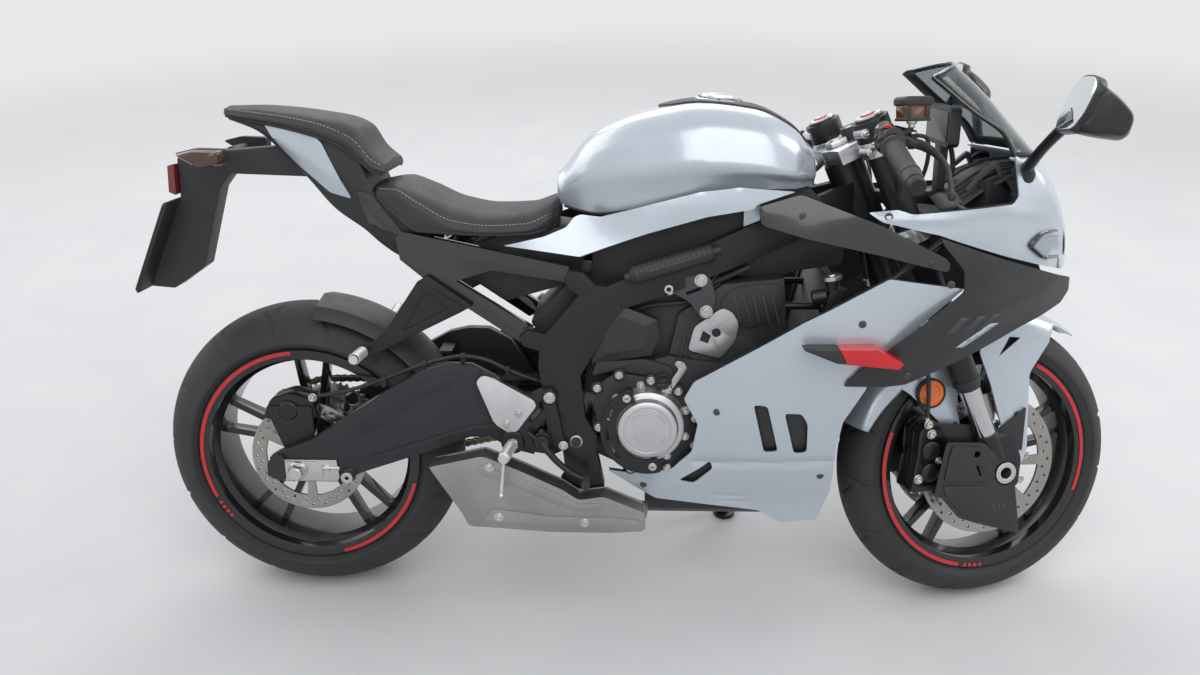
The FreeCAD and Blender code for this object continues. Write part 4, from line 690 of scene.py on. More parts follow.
chain_points = chain_path()
plates, rollers = Shape(), Shape()
for k, start in enumerate(chain_points):
    end = chain_points[(k + 1) % LINKS]
    offset = 7.3 if k % 2 else 5.0
    for side in (-1, 1):
        plates.grid(link_plate(start, end, side * offset, 1.8, 6.6 if k % 2 else 7.2), wrap=True, caps=True)
    rollers.lathe(start + Vector((0, -4, 0)), (0, 1, 0), [(0, 4.8), (8, 4.8)], 12)
    rollers.lathe(start + Vector((0, -9.4, 0)), (0, 1, 0), [(0, 1.6), (0.5, 2.5), (18.3, 2.5), (18.8, 1.6)],
                  8)
plates.done("chain_plates", "chassis", CHAIN_STEEL, ["chain"], 40)
rollers.done("chain_rollers", "chassis", DARK_STEEL, sharp=40)


# Body panels: smooth sheets on the same tables as the solids
SKINS = {
    "fairing": ([600, 760, 900, 1000, 1060, 1140, 1200, 1300],
                [180, 250, 320, 400, 480, 560, 640, 740, 860],
                [[105, 110, 115, 118, 118, 118, 118, 118],
                 [125, 132, 138, 140, 138, 135, 130, 125],
                 [140, 155, 170, 175, 172, 165, 160, 150],
                 [150, 172, 200, 208, 205, 195, 180, 165],
                 [155, 182, 215, 226, 226, 215, 195, 175],
                 [158, 186, 220, 236, 240, 232, 215, 195],
                 [160, 186, 222, 240, 248, 246, 235, 215],
                 [150, 170, 205, 228, 240, 246, 242, 230],
                 [120, 135, 165, 190, 205, 215, 215, 205]]),
    "wing": ([1040, 1140, 1220, 1300, 1380, 1440, 1500, 1560],
             [530, 640, 700, 760, 840],
             [[243, 236, 216, 178, 130, 100, 60, 20],
              [256, 258, 246, 218, 172, 135, 85, 30],
              [256, 260, 254, 232, 188, 148, 95, 35],
              [250, 254, 250, 230, 188, 150, 100, 40],
              [232, 234, 230, 212, 178, 145, 100, 40]]),
    "nose": ([1090, 1180, 1260, 1350, 1400, 1450, 1500, 1550],
             [680, 760, 820, 870, 920, 970],
             [[226, 228, 215, 185, 150, 112, 62, 15],
              [222, 224, 212, 184, 152, 116, 68, 18],
              [212, 214, 203, 177, 148, 114, 70, 20],
              [196, 198, 188, 164, 138, 108, 66, 18],
              [172, 174, 166, 146, 124, 96, 58, 12],
              [145, 148, 142, 126, 108, 82, 46, 5]]),
    "upper": ([880, 980, 1120, 1200, 1290],
              [700, 780, 840, 900],
              [[160, 186, 222, 232, 232],
               [156, 180, 214, 224, 224],
               [146, 168, 202, 208, 208],
               [132, 152, 186, 192, 192]]),
    "cover": ([420, 560, 700, 820, 940, 1080],
              [690, 740, 800, 850, 900],
              [[140, 160, 165, 165, 172, 184],
               [138, 152, 160, 162, 170, 182],
               [132, 128, 150, 160, 168, 180],
               [120, 108, 142, 158, 162, 170],
               [100, 95, 128, 150, 155, 160]]),
}


def on_skin(name, x, z):
    xs, zs, halves = SKINS[name]
    return cubic(zs, [cubic(xs, row, x) for row in halves], z)


def sheet(outline, surface, holes=(), step=9.0, radius=6.0, wall=3.0):
    """Left and right sheets with a side outline, on a surface that gives y for x and z; the wall lies inside."""
    holes = [rounded(hole, 8) for hole in holes]
    flat, faces = flat_mesh(rounded(outline, radius), holes, step)
    outer, inner = [], []
    for p in flat:
        y = surface(p[0], p[1])
        normal = Vector((surface(p[0] - 1, p[1]) - y, 1, surface(p[0], p[1] - 1) - y)).normalized()
        outer.append(Vector((p[0], y, p[1])))
        inner.append(outer[-1] - normal * wall)
    count = len(flat)
    skins = [tuple(face) for face in faces] + [tuple(k + count for k in reversed(face)) for face in faces]
    uses = {}
    for face in faces:
        for a, b in zip(face, face[1:] + face[:1]):
            key = (min(a, b), max(a, b))
            uses[key] = None if key in uses else (a, b)
    rims = [pair for pair in uses.values() if pair]
    made = Shape()
    verts, _ = made.add(outer + inner, skins + [(b, a, a + count, b + count) for a, b in rims])
    made.bm.edges.ensure_lookup_table()
    edges = [made.bm.edges.get((verts[a + shift], verts[b + shift])) for a, b in rims for shift in (0, count)]
    bmesh.ops.bevel(made.bm, geom=[e for e in edges if e], offset=0.8, segments=2, profile=0.6,
                    affect="EDGES",
                    clamp_overlap=True)
    made.mirror()
    return made


def groove(x, z, start, end, width, depth):
    """Depth of a straight groove at a point, eased at its sides and ends."""
    a, b = Vector(start), Vector(end)
    along = b - a
    share = max(0, min(1, (Vector((x, z)) - a).dot(along) / along.length_squared))
    away = (Vector((x, z)) - (a + along * share)).length
    return depth * max(0, 1 - (away / width) ** 2) if away < width else 0


SIDE_PANEL = [(775, 490), (793, 527), (982, 655), (1133, 743), (1269, 723), (1167, 627), (1068, 547),
              (1112, 535), (1073, 459), (1068, 402), (1072, 280), (1055, 209), (982, 200), (933, 231),
              (725, 255), (627, 321), (674, 316), (753, 328), (793, 375), (803, 439)]
SIDE_SLOTS = [[(905, 491), (931, 490), (957, 391), (931, 387)],
              [(963, 477), (995, 477), (1008, 455), (1012, 390),
                                                                (988, 387)],
              [(770, 304), (831, 354), (836, 339), (800, 298)]]


def side_surface(x, z):
    y = on_skin("fairing", x, z)
    # long crease under the slots, and three short grooves below it
    y -= 7 * math.exp(-((z - (352 + (x - 820) * 0.06)) / 9) ** 2) * (1 if 800 < x < 1060 else 0.2)
    for low_x, high_x, z_line in ((838, 905, 266), (850, 1000, 254), (870, 990, 241)):
        y -= groove(x, z, (low_x, z_line), (high_x, z_line + 2), 4, 2.6)
    return y


side_sheet = sheet(SIDE_PANEL, side_surface, SIDE_SLOTS, 8.0)
side_sheet.done("side_panel_sheets", "chassis", SILVER, ["side_panels"], 32)
WING = [(1219, 816), (1517, 712), (1525, 683), (1507, 661), (1413, 633), (1357, 609), (1181, 540),
        (1140, 537), (1065, 539), (1089, 568), (1159, 632), (1267, 720), (1264, 758), (1225, 803)]


def wing_surface(x, z):
    y = on_skin("wing", x, z)
    # raised spine from the tip down to the blade
    spine = 640 + (x - 1200) * 0.28
    return y + 7 * math.exp(-((z - spine) / 26) ** 2) * max(0, min(1, (x - 1110) / 90))


wing_sheet = sheet(WING, wing_surface, (), 8.0, 5)
wing_sheet.done("wing_sheets", "chassis", MATT_BLACK, ["wing_panels"], 26)
NOSE = [(1096, 855), (1148, 860), (1175, 852), (1366, 864), (1379, 876), (1371, 949), (1428, 912),
        (1469, 852), (1500, 798), (1516, 719), (1251, 806), (1226, 815), (1122, 838)]


def nose_surface(x, z):
    y = on_skin("nose", x, z)
    # recessed field behind the bare badge place, with a soft edge above it
    edge_z = 835 + 12 * min(1, max(0, (x - 1240) / 80)) - 0.18 * max(0, x - 1345)
    return y - 3.5 / (1 + math.exp((z - edge_z) / 1.6))


nose_sheet = sheet(NOSE, nose_surface, (), 7.0, 5)
nose_sheet.done("nose_side_sheets", "chassis", SILVER, ["nose_cowl"], 32)
UPPER = [(906, 855), (982, 880), (1120, 832), (1243, 773), (1241, 752), (1121, 779), (983, 804), (912, 823)]
upper_sheet = sheet(UPPER, lambda x, z: on_skin("upper", x, z), (), 8.0, 8)
upper_sheet.done("upper_sheets", "chassis", GLOSS_BLACK, ["upper_panels"], 32)
COVER = [(429, 777), (506, 794), (548, 811), (562, 829), (575, 834), (613, 831), (718, 861),
         (798, 883), (870, 892), (972, 885), (902, 861), (897, 853), (812, 838),
         (700, 804), (574, 759)]
cover_sheet = sheet(COVER, lambda x, z: on_skin("cover", x, z), (), 8.0, 4)
cover_sheet.done("cover_sheets", "chassis", SILVER, ["tank_covers"], 32)

# Tank, seats and tail: skins through half sections, with the corner radii that make soft or crisp edges
def section_at(rows, x):
    xs = [row[0] for row in rows]
    return [Vector((cubic(xs, [row[1][i][0] for row in rows], x),
                    cubic(xs, [row[1][i][1] for row in rows], x)))
            for i in range(len(rows[0][1]))]


def eased_line(points, radii, steps=6):
    """Open line with each inner corner rounded by its own radius."""
    out = [points[0]]
    for k in range(1, len(points) - 1):
        before = points[k - 1] - points[k]
        after = points[k + 1] - points[k]
        cut = min(radii[k], 0.46 * before.length, 0.46 * after.length)
        start = points[k] + before.normalized() * cut
        end = points[k] + after.normalized() * cut
        for j in range(steps + 1):
            s = j / steps
            out.append(start * (1 - s) ** 2 + points[k] * 2 * s * (1 - s) + end * s * s)
    out.append(points[-1])
    return out


def skin_rows(low, high, step, section, ends=((0, 1.0),)):
    """Closed rows across the bike; section gives the left half from the top centre down."""
    count = max(2, int((high - low) / step))
    places = [low + (high - low) * k / count for k in range(count + 1)]
    rows = []
    for x in places:
        half = section(x)
        line = [Vector((x, -p[0], p[1])) for p in reversed(half[1:])] + [Vector((x, p[0],
                                                                                 p[1])) for p in half]
        rows.append(line)

    def shrunk(row, shift, share):
        middle = sum(row, Vector((0, 0, 0))) / len(row)
        moved = [middle + (p - middle) * share for p in row]
        return [Vector((p.x + shift, p.y, p.z)) for p in moved]

    first, last = rows[0], rows[-1]
    for shift, share in ends:
        if shift:
            rows.insert(0, shrunk(first, -shift, share))
            rows.append(shrunk(last, shift, share))
    return rows


TANK = [(532, [(14, 900), (30, 888), (40, 868), (34, 842)]),
        (600, [(40, 978), (72, 952), (90, 905), (78, 832)]),
        (700, [(60, 1018), (104, 984), (128, 918), (112, 850)]),
        (800, [(78, 1036), (128, 1000), (150, 930), (130, 872)]),
        (900, [(82, 1026), (128, 990), (150, 925), (130, 885)]),
        (975, [(74, 992), (112, 962), (136, 912), (118, 885)]),
        (1012, [(56, 955), (88, 935), (108, 905), (92, 888)])]


def tank_section(x):
    top, shoulder, belly, foot = section_at(TANK, x)
    waist = belly.lerp(foot, 0.5) + Vector((-7, -2)) * min(1, max(0, (x - 560) / 120))
    crown = Vector((0, top.y + 4))
    crisp = min(1, max(0, (x - 720) / 90))
    points = [crown, top, shoulder, belly, waist, foot]
    return eased_line(points, [0, 40, 55 - 38 * crisp, 46 - 34 * crisp, 30, 0])


TANK_ENDS = ((2.5, 0.965), (5, 0.9), (7, 0.8))
tank_skin = Shape()
tank_skin.grid(skin_rows(532, 1012, 8, tank_section, TANK_ENDS), wrap=True, caps=True)
for side in (-1, 1):
    low, high = sorted((side * 84, side * 102))
    tank_skin.prism([(885, 810), (915, 822), (915, 905), (885, 905)], low, high)
tank_skin.done("tank_skin", "chassis", SILVER, ["fuel_tank"], 50)


def tank_top(x, y):
    top = section_at(TANK, x)[0]
    share = min(1, abs(y) / top.x)
    return top.y + 4 * (1 - share * share)


COVER_HALF = ([722, 748, 800, 900, 975, 1006], [10, 40, 52, 60, 60, 46])
cover_rows = []
for k in range(37):
    x = 722 + 284 * k / 36
    half = cubic(*COVER_HALF, x)
    row = [Vector((x, half * s, tank_top(x, half * s) + lift)) for s, lift in
           ((-1, -1), (-1, 1.6), (-0.96, 2.6), (-0.5, 3.2), (0, 3.4), (0.5, 3.2), (0.96, 2.6), (1, 1.6),
            (1, -1))]
    cover_rows.append(row)
top_cover = Shape()
top_cover.grid(cover_rows)
top_cover.done("tank_top_cover", "chassis", MATT_BLACK, sharp=40)

# Filler: bolted ring on the tank, lid with a key flap on its hinge
CAP_TILT = math.radians(5.7)
cap_out = Vector((math.sin(CAP_TILT), 0, math.cos(CAP_TILT)))
cap_ahead = Vector((math.cos(CAP_TILT), 0, -math.sin(CAP_TILT)))
cap_centre = Vector((835, 0, 1034))
filler = Shape()
filler.lathe(cap_centre, cap_out, [(-6, 44), (5, 44), (7, 42.5), (7.6, 41), (7.6, 36), (4, 35.5), (4, 30)],
             64)
filler.done("filler_ring", "chassis", ALUMINIUM, sharp=40)
ring_bolts = Shape()
for k in range(6):
    a = 2 * math.pi * (k + 0.5) / 6
    place = cap_centre + cap_ahead * (39 * math.cos(a)) + Vector((0, 39 * math.sin(a), 0)) + cap_out * 7.4
    ring_bolts.bolt(place, cap_out, 3, 2.4)
ring_bolts.done("filler_bolts", "chassis", DARK_STEEL)
lid = Shape()
lid.lathe(cap_centre + cap_out * 8.3, cap_out, [(0, 34), (3, 34.5), (6, 33), (7, 30), (7.4, 20), (7.6, 4)],
          56)
lid.lathe(cap_centre + cap_out * 14 - cap_ahead * 4, cap_out, [(0, 13), (2.6, 13), (3.4, 12), (3.6, 4)], 32)
lid.rod(cap_centre + cap_ahead * 43 + cap_out * 10 + Vector((0, -13, 0)),
        cap_centre + cap_ahead * 43 + cap_out * 10 + Vector((0, 13, 0)), 4)
lid.done("filler_lid", "fuel_cap", ALUMINIUM, ["fuel_cap"], 40)

# Dark seam between the tank and the panels below it
gap_line = Shape()
for side in (-1, 1):
    route = []
    for x in (540, 570, 610, 660, 700, 750, 800, 850, 900, 950, 985):
        foot = section_at(TANK, x)[3]
        route.append((x, side * (foot.x - 1), foot.y - 2))
    gap_line.tube(route, 3, steps=4, sides=8)
gap_line.done("tank_seal", "chassis", RUBBER)

RIDER_SEAT = [(180, [(60, 880), (88, 872), (86, 864)]),
              (215, [(66, 885), (100, 872), (98, 832)]),
              (260, [(74, 871), (112, 850), (110, 802)]),
              (330, [(78, 840), (118, 815), (116, 798)]),
              (400, [(78, 828), (116, 806), (114, 795)]),
              (470, [(68, 832), (104, 808), (102, 795)]),
              (515, [(52, 848), (80, 824), (78, 802)]),
              (524, [(44, 852), (62, 826), (60, 806)])]
PILLION_SEAT = [(-118, [(24, 1024), (40, 1018), (36, 1012)]),
                (-60, [(40, 1025), (62, 1014), (58, 1003)]),
                (0, [(52, 1021), (78, 1008), (74, 994)]),
                (60, [(58, 1013), (88, 998), (84, 980)]),
                (110, [(60, 1004), (92, 982), (88, 962)]),
                (145, [(62, 988), (94, 962), (90, 938)]),
                (170, [(62, 948), (92, 930), (88, 915)]),
                (194, [(58, 926), (86, 914), (82, 905)])]


def cushion(name, node, rows, low, high, crown):
    """Padded seat: crowned top, seam sunk between the panels, soft puckers beside it."""

    def section(x):
        top, edge, foot = section_at(rows, x)
        pucker = 0.7 * math.sin(x * 0.9) + 0.4 * math.sin(x * 0.37 + 1)
        swell = 2.4 if low + 12 < x < high - 12 else 0.8
        middle = Vector((0, top.y + crown))
        inner = Vector((edge.x - 3.4, edge.y + 2.2 + pucker))
        seam = Vector((edge.x - 1.8, edge.y - 1.2))
        outer = Vector((edge.x + 0.8, edge.y - 4.5 + 0.4 * pucker))
        bulge = outer.lerp(foot, 0.5) + Vector((swell, 0))
        shoulder = top.lerp(inner, 0.5) + Vector((2.6, 2.6))
        points = [middle, top * 0.5 + Vector((0, top.y * 0.5 + crown * 0.75)), top, shoulder, inner, seam,
                  outer,
                  bulge, foot]
        return eased_line(points, [0, 40, 26, 30, 2.4, 1.2, 2.4, 20, 0], 4)

    made = Shape()
    ends = ((2, 0.97), (4.5, 0.88), (6, 0.76))
    made.grid(skin_rows(low, high, 3.2, section, ends), wrap=True, caps=True)
    cover = made.done(name, "chassis", SEAT, [node], 60)
    thread = Shape()
    for side in (-1, 1):
        x = low + 6
        while x < high - 8:
            a, b = section_at(rows, x)[1], section_at(rows, x + 4.2)[1]
            thread.rod((x, side * (a.x - 6.4), a.y + 5.0), (x + 4.2, side * (b.x - 6.4), b.y + 5.0), 0.8,
                       edge=0.3,
                       count=6)
            x += 6.6
    thread.done(name + "_stitches", "chassis", THREAD)
    trim = Shape()
    for side in (-1, 1):
        route = []
        for k in range(15):
            x = low + (high - low) * k / 14
            foot = section_at(rows, x)[2]
            route.append((x, side * (foot.x - 1.5), foot.y - 1))
        trim.tube(route, 3.6, steps=3, sides=10)
    trim.done(name + "_trim", "chassis", RUBBER)


cushion("rider_cushion", "rider_seat", RIDER_SEAT, 180, 524, 5)
cushion("pillion_cushion", "pillion_seat", PILLION_SEAT, -118, 194, 4)

TAIL_BASE = [(-112, [(34, 1010), (36, 1004), (28, 1001)]),
             (-60, [(54, 1001), (56, 990), (44, 984)]),
             (0, [(68, 992), (72, 965), (52, 932)]),
             (40, [(74, 983), (78, 940), (56, 890)]),
             (90, [(80, 969), (84, 905), (60, 832)]),
             (145, [(84, 936), (84, 870), (62, 792)]),
             (178, [(80, 862), (84, 820), (62, 762)]),
             (215, [(80, 831.7), (84, 790), (62, 738)]),
             (260, [(80, 801.7), (84, 772), (60, 728)])]


def tail_section(x):
    top, side_point, foot = section_at(TAIL_BASE, x)
    return eased_line([Vector((0, top.y)), top, side_point, foot, Vector((0, foot.y - 2))],
                      [0, 6, 14, 10, 0], 5)


tail_skin = Shape()
tail_skin.grid(skin_rows(-112, 260, 8, tail_section, ((3, 0.93),)), wrap=True, caps=True)
tail_skin.done("tail_skin", "chassis", MATT_BLACK, ["tail_base"], 40)


def tail_surface(x, z):
    top, side_point, foot = section_at(TAIL_BASE, x)
    if z > side_point.y:
        return side_point.x + (top.x - side_point.x) * (z - side_point.y) / (top.y - side_point.y) + 4
    return side_point.x + (foot.x - side_point.x) * (side_point.y - z) / (side_point.y - foot.y) + 4


TAIL_SIDE = [(-35, 998), (62, 979), (79, 964), (95, 930), (129, 857), (87, 868), (27, 919), (-9, 957)]
sheet(TAIL_SIDE, tail_surface, (), 7, 5).done("tail_sheets", "chassis", SILVER, ["tail_panels"], 30,
                                              tidy=False)
sheet([(143, 873), (168, 868), (206, 818), (232, 784), (159, 806), (148, 843)], tail_surface, (), 7, 5).done(
    "tail_gloss_sheets", "chassis", GLOSS_BLACK, (), 30)

# Nose front with lamp openings, between the side sheets
NOSE_ROWS = [(1447, 935.2, 1360, 123, 943), (1485, 880, 1414, 112, 908), (1512, 820, 1452, 98, 850),
             (1524, 775, 1484, 76, 796), (1530, 724, 1500, 60, 724)]
LAMP = [(40, 745), (118, 757), (146, 786), (124, 806), (62, 800), (38, 778)]
front_rows = []
for k in range(33):
    s = 4 * k / 32
    x_mid, z_mid, x_edge, y_edge, z_edge = (cubic([0, 1, 2, 3, 4], [row[c] for row in NOSE_ROWS], s)
                                            for c in range(5))
    row = []
    for j in range(41):
        share = -1 + j / 20
        row.append(Vector((x_mid + (x_edge - x_mid) * share * share, share * y_edge,
                           z_mid + (z_edge - z_mid) * share * share)))
    front_rows.append(row)
front_mesh = Shape()
front_points = [p for row in front_rows for p in row]
front_faces = []
for r in range(32):
    for c in range(40):
        corners = (r * 41 + c, r * 41 + c + 1, (r + 1) * 41 + c + 1, (r + 1) * 41 + c)
        middle = sum((front_points[k] for k in corners), Vector((0, 0, 0))) / 4
        if not inside((abs(middle.y), middle.z), LAMP):
            front_faces.append(corners)
front_mesh.add(front_points, front_faces)
front_mesh.done("nose_front_sheet", "chassis", SILVER, (), 30, wall=4, tidy=False)
lamp_rim = Shape()
for side in (-1, 1):
    ring = []
    for y, z in rounded(LAMP, 10, 3):
        low_x, high_x = 1380.0, 1560.0
        s = min(4, max(0, (900 - z) / 45))
        for step in range(30):
            x = (low_x + high_x) / 2
            low_x, high_x = (x, high_x) if on_skin("nose", x, z) > y else (low_x, x)
        edge_y = cubic([724, 796, 850, 908], [60, 76, 98, 112], z)
        mid_x = cubic([724, 775, 820, 880], [1530, 1524, 1512, 1485], z)
        side_x = cubic([724, 796, 850, 908], [1500, 1484, 1452, 1414], z)
        front_x = mid_x + (side_x - mid_x) * (y / edge_y) ** 2
        ring.append(Vector((front_x if y < edge_y else x, side * y, z)))
    lamp_rim.tube(ring + ring[:1], 4, steps=2, sides=8)
lamp_rim.done("lamp_bezels", "chassis", GLOSS_BLACK)

# Screen: double curved sheet with a dark rim
SCREEN_ROWS = [(1447, 942, 1371, 123, 950), (1391, 999, 1347, 126, 988), (1335, 1059, 1290, 121, 1027),
               (1278, 1108, 1216, 104, 1086)]


def screen_point(s, share):
    x_mid, z_mid, x_edge, y_edge, z_edge = (cubic([0, 1, 2, 3], [row[c] for row in SCREEN_ROWS], s)
                                            for c in range(5))
    return Vector((x_mid + (x_edge - x_mid) * share * share, share * y_edge,
                   z_mid + (z_edge - z_mid) * share * share))


screen_skin = Shape()
screen_skin.grid([[screen_point(3 * k / 24, -1 + j / 12) for j in range(25)] for k in range(25)])
screen_skin.done("screen_sheet", "chassis", SCREEN, ["windscreen"], 60, wall=3)
screen_rim = Shape()
border = [screen_point(3 * k / 12, -1) for k in range(13)] + [screen_point(3, -1 + j / 8) for j in range(1,
                                                                                                         17)]
border += [screen_point(3 - 3 * k / 12, 1) for k in range(1, 13)]
screen_rim.tube(border, 2.6, steps=2, sides=8)
screen_rim.done("screen_rim", "chassis", GLOSS_BLACK)
screen_band = Shape()
for side in (-1, 1):
    screen_band.grid([[screen_point(3 * k / 18, side * share) + Vector((-3.4, 0, -2.2)) for share in (1,
                                                                                                      0.93, 0.86)]
                      for k in range(19)])
screen_band.grid([[screen_point(s, -1 + j / 12) + Vector((-3.4, 0, -2.2)) for j in range(25)] for s in (0,
                                                                                                        0.2, 0.4)])
screen_band.done("screen_band", "chassis", MATT_BLACK, (), 60, wall=1.5)

# Winglet blades, the front part of each in red
blades = Shape()
for side in (-1, 1):
    low, high = sorted((side * 243, side * 284))
    blades.prism([(982, 620), (1042, 596), (1060, 594.5), (1046, 621.5)], low, high, 2)
blades.done("winglet_tails", "chassis", MATT_BLACK)
tips = Shape()
for side in (-1, 1):
    low, high = sorted((side * 243, side * 285))
    tips.prism([(1046, 621.7), (1060, 594.3), (1153, 586), (1161, 597), (1113, 623)], low, high, 2)
tips.done("winglet_tips", "chassis", RED)

# Wing stripes: three short dashes and one long pale bar, standing just off the panel
def wing_stripe(name, quads, material):
    made = Shape()
    for corners in quads:
        flat, faces = flat_mesh(corners, (), 8)
        for side in (1, -1):
            points = [Vector((p[0], side * (wing_surface(p[0], p[1]) + 0.7), p[1])) for p in flat]
            made.add(points, [tuple(f) if side < 0 else tuple(reversed(f)) for f in faces])
    made.done(name, "chassis", material, (), 60, wall=0.6, tidy=False)


wing_stripe("wing_dashes", [[(1236 + 32 * k, 640), (1250 + 32 * k, 640), (1283 + 32 * k, 672),
                             (1266 + 32 * k, 674)]
                            for k in range(3)], GREY_PLASTIC)
wing_stripe("wing_bars", [[(1268, 610), (1284, 608), (1352, 650), (1330, 652)]], PALE)

# Front fender: curved shell over the tyre with drilled legs
FENDER_SECTION = [(-78, 270), (-77, 292), (-66, 312), (-40, 326), (0, 332), (40, 326), (66, 312), (77, 292),
                  (78, 270)]
fender = Shape()
fender_rows = []
for k in range(49):
    degrees = 50 + 112 * k / 48
    a = math.radians(degrees)
    tip = max(0, 1 - (degrees - 50) / 16)
    tail = max(0, (degrees - 142) / 20)
    row = []
    for p in smooth_line([(y, 0, r) for y, r in FENDER_SECTION], 4):
        y, r = p.x, p.z
        side_share = max(0, (abs(y) - 30) / 48)
        r = r + (318 - r) * min(1, 1.1 * tip) * side_share + (312 - r) * 0.5 * tail * side_share
        shift = 16 * tip * side_share
        here = a + math.radians(shift)
        row.append(front_place + Vector((r * math.cos(here), y * (1 - 0.30 * tip), r * math.sin(here))))
    fender_rows.append(row)
fender.grid(fender_rows)
fender.done("fender_shell", "steering", SILVER, ["front_fender"], 50, wall=3, tidy=True)
FRONT_LEG = [(1387, 564), (1470, 592), (1518, 560), (1474, 491), (1480, 325), (1470, 300), (1455, 296),
             (1443, 308),
             (1388, 470), (1356, 545)]
REAR_LEG = [(1290, 560), (1204, 512), (1170, 485), (1205, 466), (1253, 424), (1297, 378), (1331, 367),
            (1322, 400),
            (1312, 433), (1330, 540)]
TIE = [(1400, 338), (1465, 330), (1468, 420), (1404, 374)]


def hole(x, z, radius, count=12):
    return [(x + radius * math.cos(2 * math.pi * k / count), z + radius * math.sin(2 * math.pi * k / count))
            for k in range(count)]


legs = Shape()
for side in (-1, 1):
    low, high = sorted((side * 73.5, side * 78))
    front_holes = [hole(1452, 405, 6), hole(1460, 335, 7), [(1426, 574), (1448, 566), (1402, 530)]]
    legs.prism(rounded(FRONT_LEG, 10), low, high, 1.2, front_holes)
    legs.prism(rounded(REAR_LEG, 10), low, high, 1.2, [hole(1312, 392, 6)])
legs.done("fender_legs", "steering", SILVER)
ties = Shape()
for side in (-1, 1):
    low, high = sorted((side * 76, side * 84))
    ties.prism(TIE, low, high, 1.5)
    for x, z in ((1452, 405), (1460, 335), (1312, 392)):
        ties.bolt((x, side * 78, z), (0, side, 0), 5, 5, 7)
ties.done("fender_ties", "steering", MATT_BLACK)


# Solids that keep their form, with eased edges
EASED = {
    "belly_pan": 2.5, "exhaust_header": 1.0, "fairing_stays": 1.5, "swingarm": 5, "frame": 2.2,
    "subframe": 2.0,
    "plate_holder": 2.5, "hugger": 1.5, "side_stand": 1.2, "rear_axle": 1.2, "front_axle": 1.0,
    "yokes": 2.0, "engine": 5.0, "rear_sprocket": 0.6, "front_discs": 0.5, "rear_disc": 0.5,
    "pillion_rests": 2.0,
    "spool_bosses": 1.0, "handlebars": 1.2, "fork_uppers": 0.8, "lamp_housing": 4.0,
}
for node, width in EASED.items():
    softened(node, width)


# Engine: right cover with its guard, filler, casing bolts and clutch arm
OUT_R = (0, -1, 0)
OUT_L = (0, 1, 0)
CLUTCH = (706, -135.3, 425)
cover = Shape()
cover.lathe(CLUTCH, OUT_R, [(0, 84), (9, 84), (11, 82), (11, 77), (14, 75), (25, 73), (34, 71), (37, 66),
                            (39, 61),
                            (46, 59.5), (51, 57), (54, 52), (54.4, 47), (53.4, 46), (53.4, 44), (54.6, 43),
                            (55.2, 20), (55.4, 3)], 64)
for k in range(9):
    a = math.radians(20 + 40 * k)
    x, z = CLUTCH[0] + 79.5 * math.cos(a), CLUTCH[2] + 79.5 * math.sin(a)
    cover.lathe((x, -135.3, z), OUT_R, [(0, 10), (14, 9), (16, 7.5), (16, 1)], 20)
cover.done("clutch_cover", "chassis", CAST_SILVER, ["engine_covers"], 32)
arcs = Shape()
for radius, first, last in ((37, 20, 80), (37, 92, 150), (37, 300, 352), (26, 196, 250)):
    for a0 in range(first, last - 5, 6):
        ends = [(CLUTCH[0] + radius * math.cos(math.radians(a)), -190.5,
                 CLUTCH[2] + radius * math.sin(math.radians(a)))
                for a in (a0, a0 + 6)]
        arcs.rod(ends[0], ends[1], 1.3, count=8)
arcs.done("clutch_cover_arcs", "chassis", CAST_SILVER)
CASING = [(604, 498), (640, 529), (715, 519), (770, 499), (804, 441), (803, 372), (749, 322), (672, 320),
          (630, 362),
          (608, 415), (600, 465)]
casing = Shape()
casing.prism(rounded(CASING, 26, 6), -147, -135.3, 3)
for x, z, radius in ((607, 497, 13), (650, 524, 13), (712, 514, 13), (766, 492, 13), (800, 436, 12),
                     (799, 378, 12),
                     (747, 330, 13), (674, 327, 13), (634, 366, 13), (610, 415, 13)):
    casing.lathe((x, -135.3, z), OUT_R, [(0, radius), (13, radius - 1), (15, radius - 3), (15, 1)], 20)
casing.prism(rounded([(596, 520), (604, 548), (700, 556), (752, 540), (760, 508), (700, 522), (640, 532)],
                     8), -142,
             -128, 3)
casing.done("right_casing", "chassis", ENGINE_BLACK)
casing_bolts = Shape()
for x, z in ((607, 497), (650, 524), (712, 514), (766, 492), (800, 436), (799, 378), (747, 330), (674, 327),
             (634, 366), (610, 415)):
    casing_bolts.bolt((x, -150, z), OUT_R, 6.5, 6, 8)
for k in range(9):
    a = math.radians(20 + 40 * k)
    casing_bolts.bolt((CLUTCH[0] + 79.5 * math.cos(a), -151, CLUTCH[2] + 79.5 * math.sin(a)), OUT_R, 5.5, 5,
                      0)
casing_bolts.done("right_casing_bolts", "chassis", BRUSHED)


def arc_band(centre, inner, outer, first, last, steps=24):
    """Outline of a ring sector between two angles in degrees."""
    line = [math.radians(first + (last - first) * k / steps) for k in range(steps + 1)]
    outside = [(centre[0] + outer * math.cos(a), centre[1] + outer * math.sin(a)) for a in line]
    return outside + [(centre[0] + inner * math.cos(a),
                       centre[1] + inner * math.sin(a)) for a in reversed(line)]


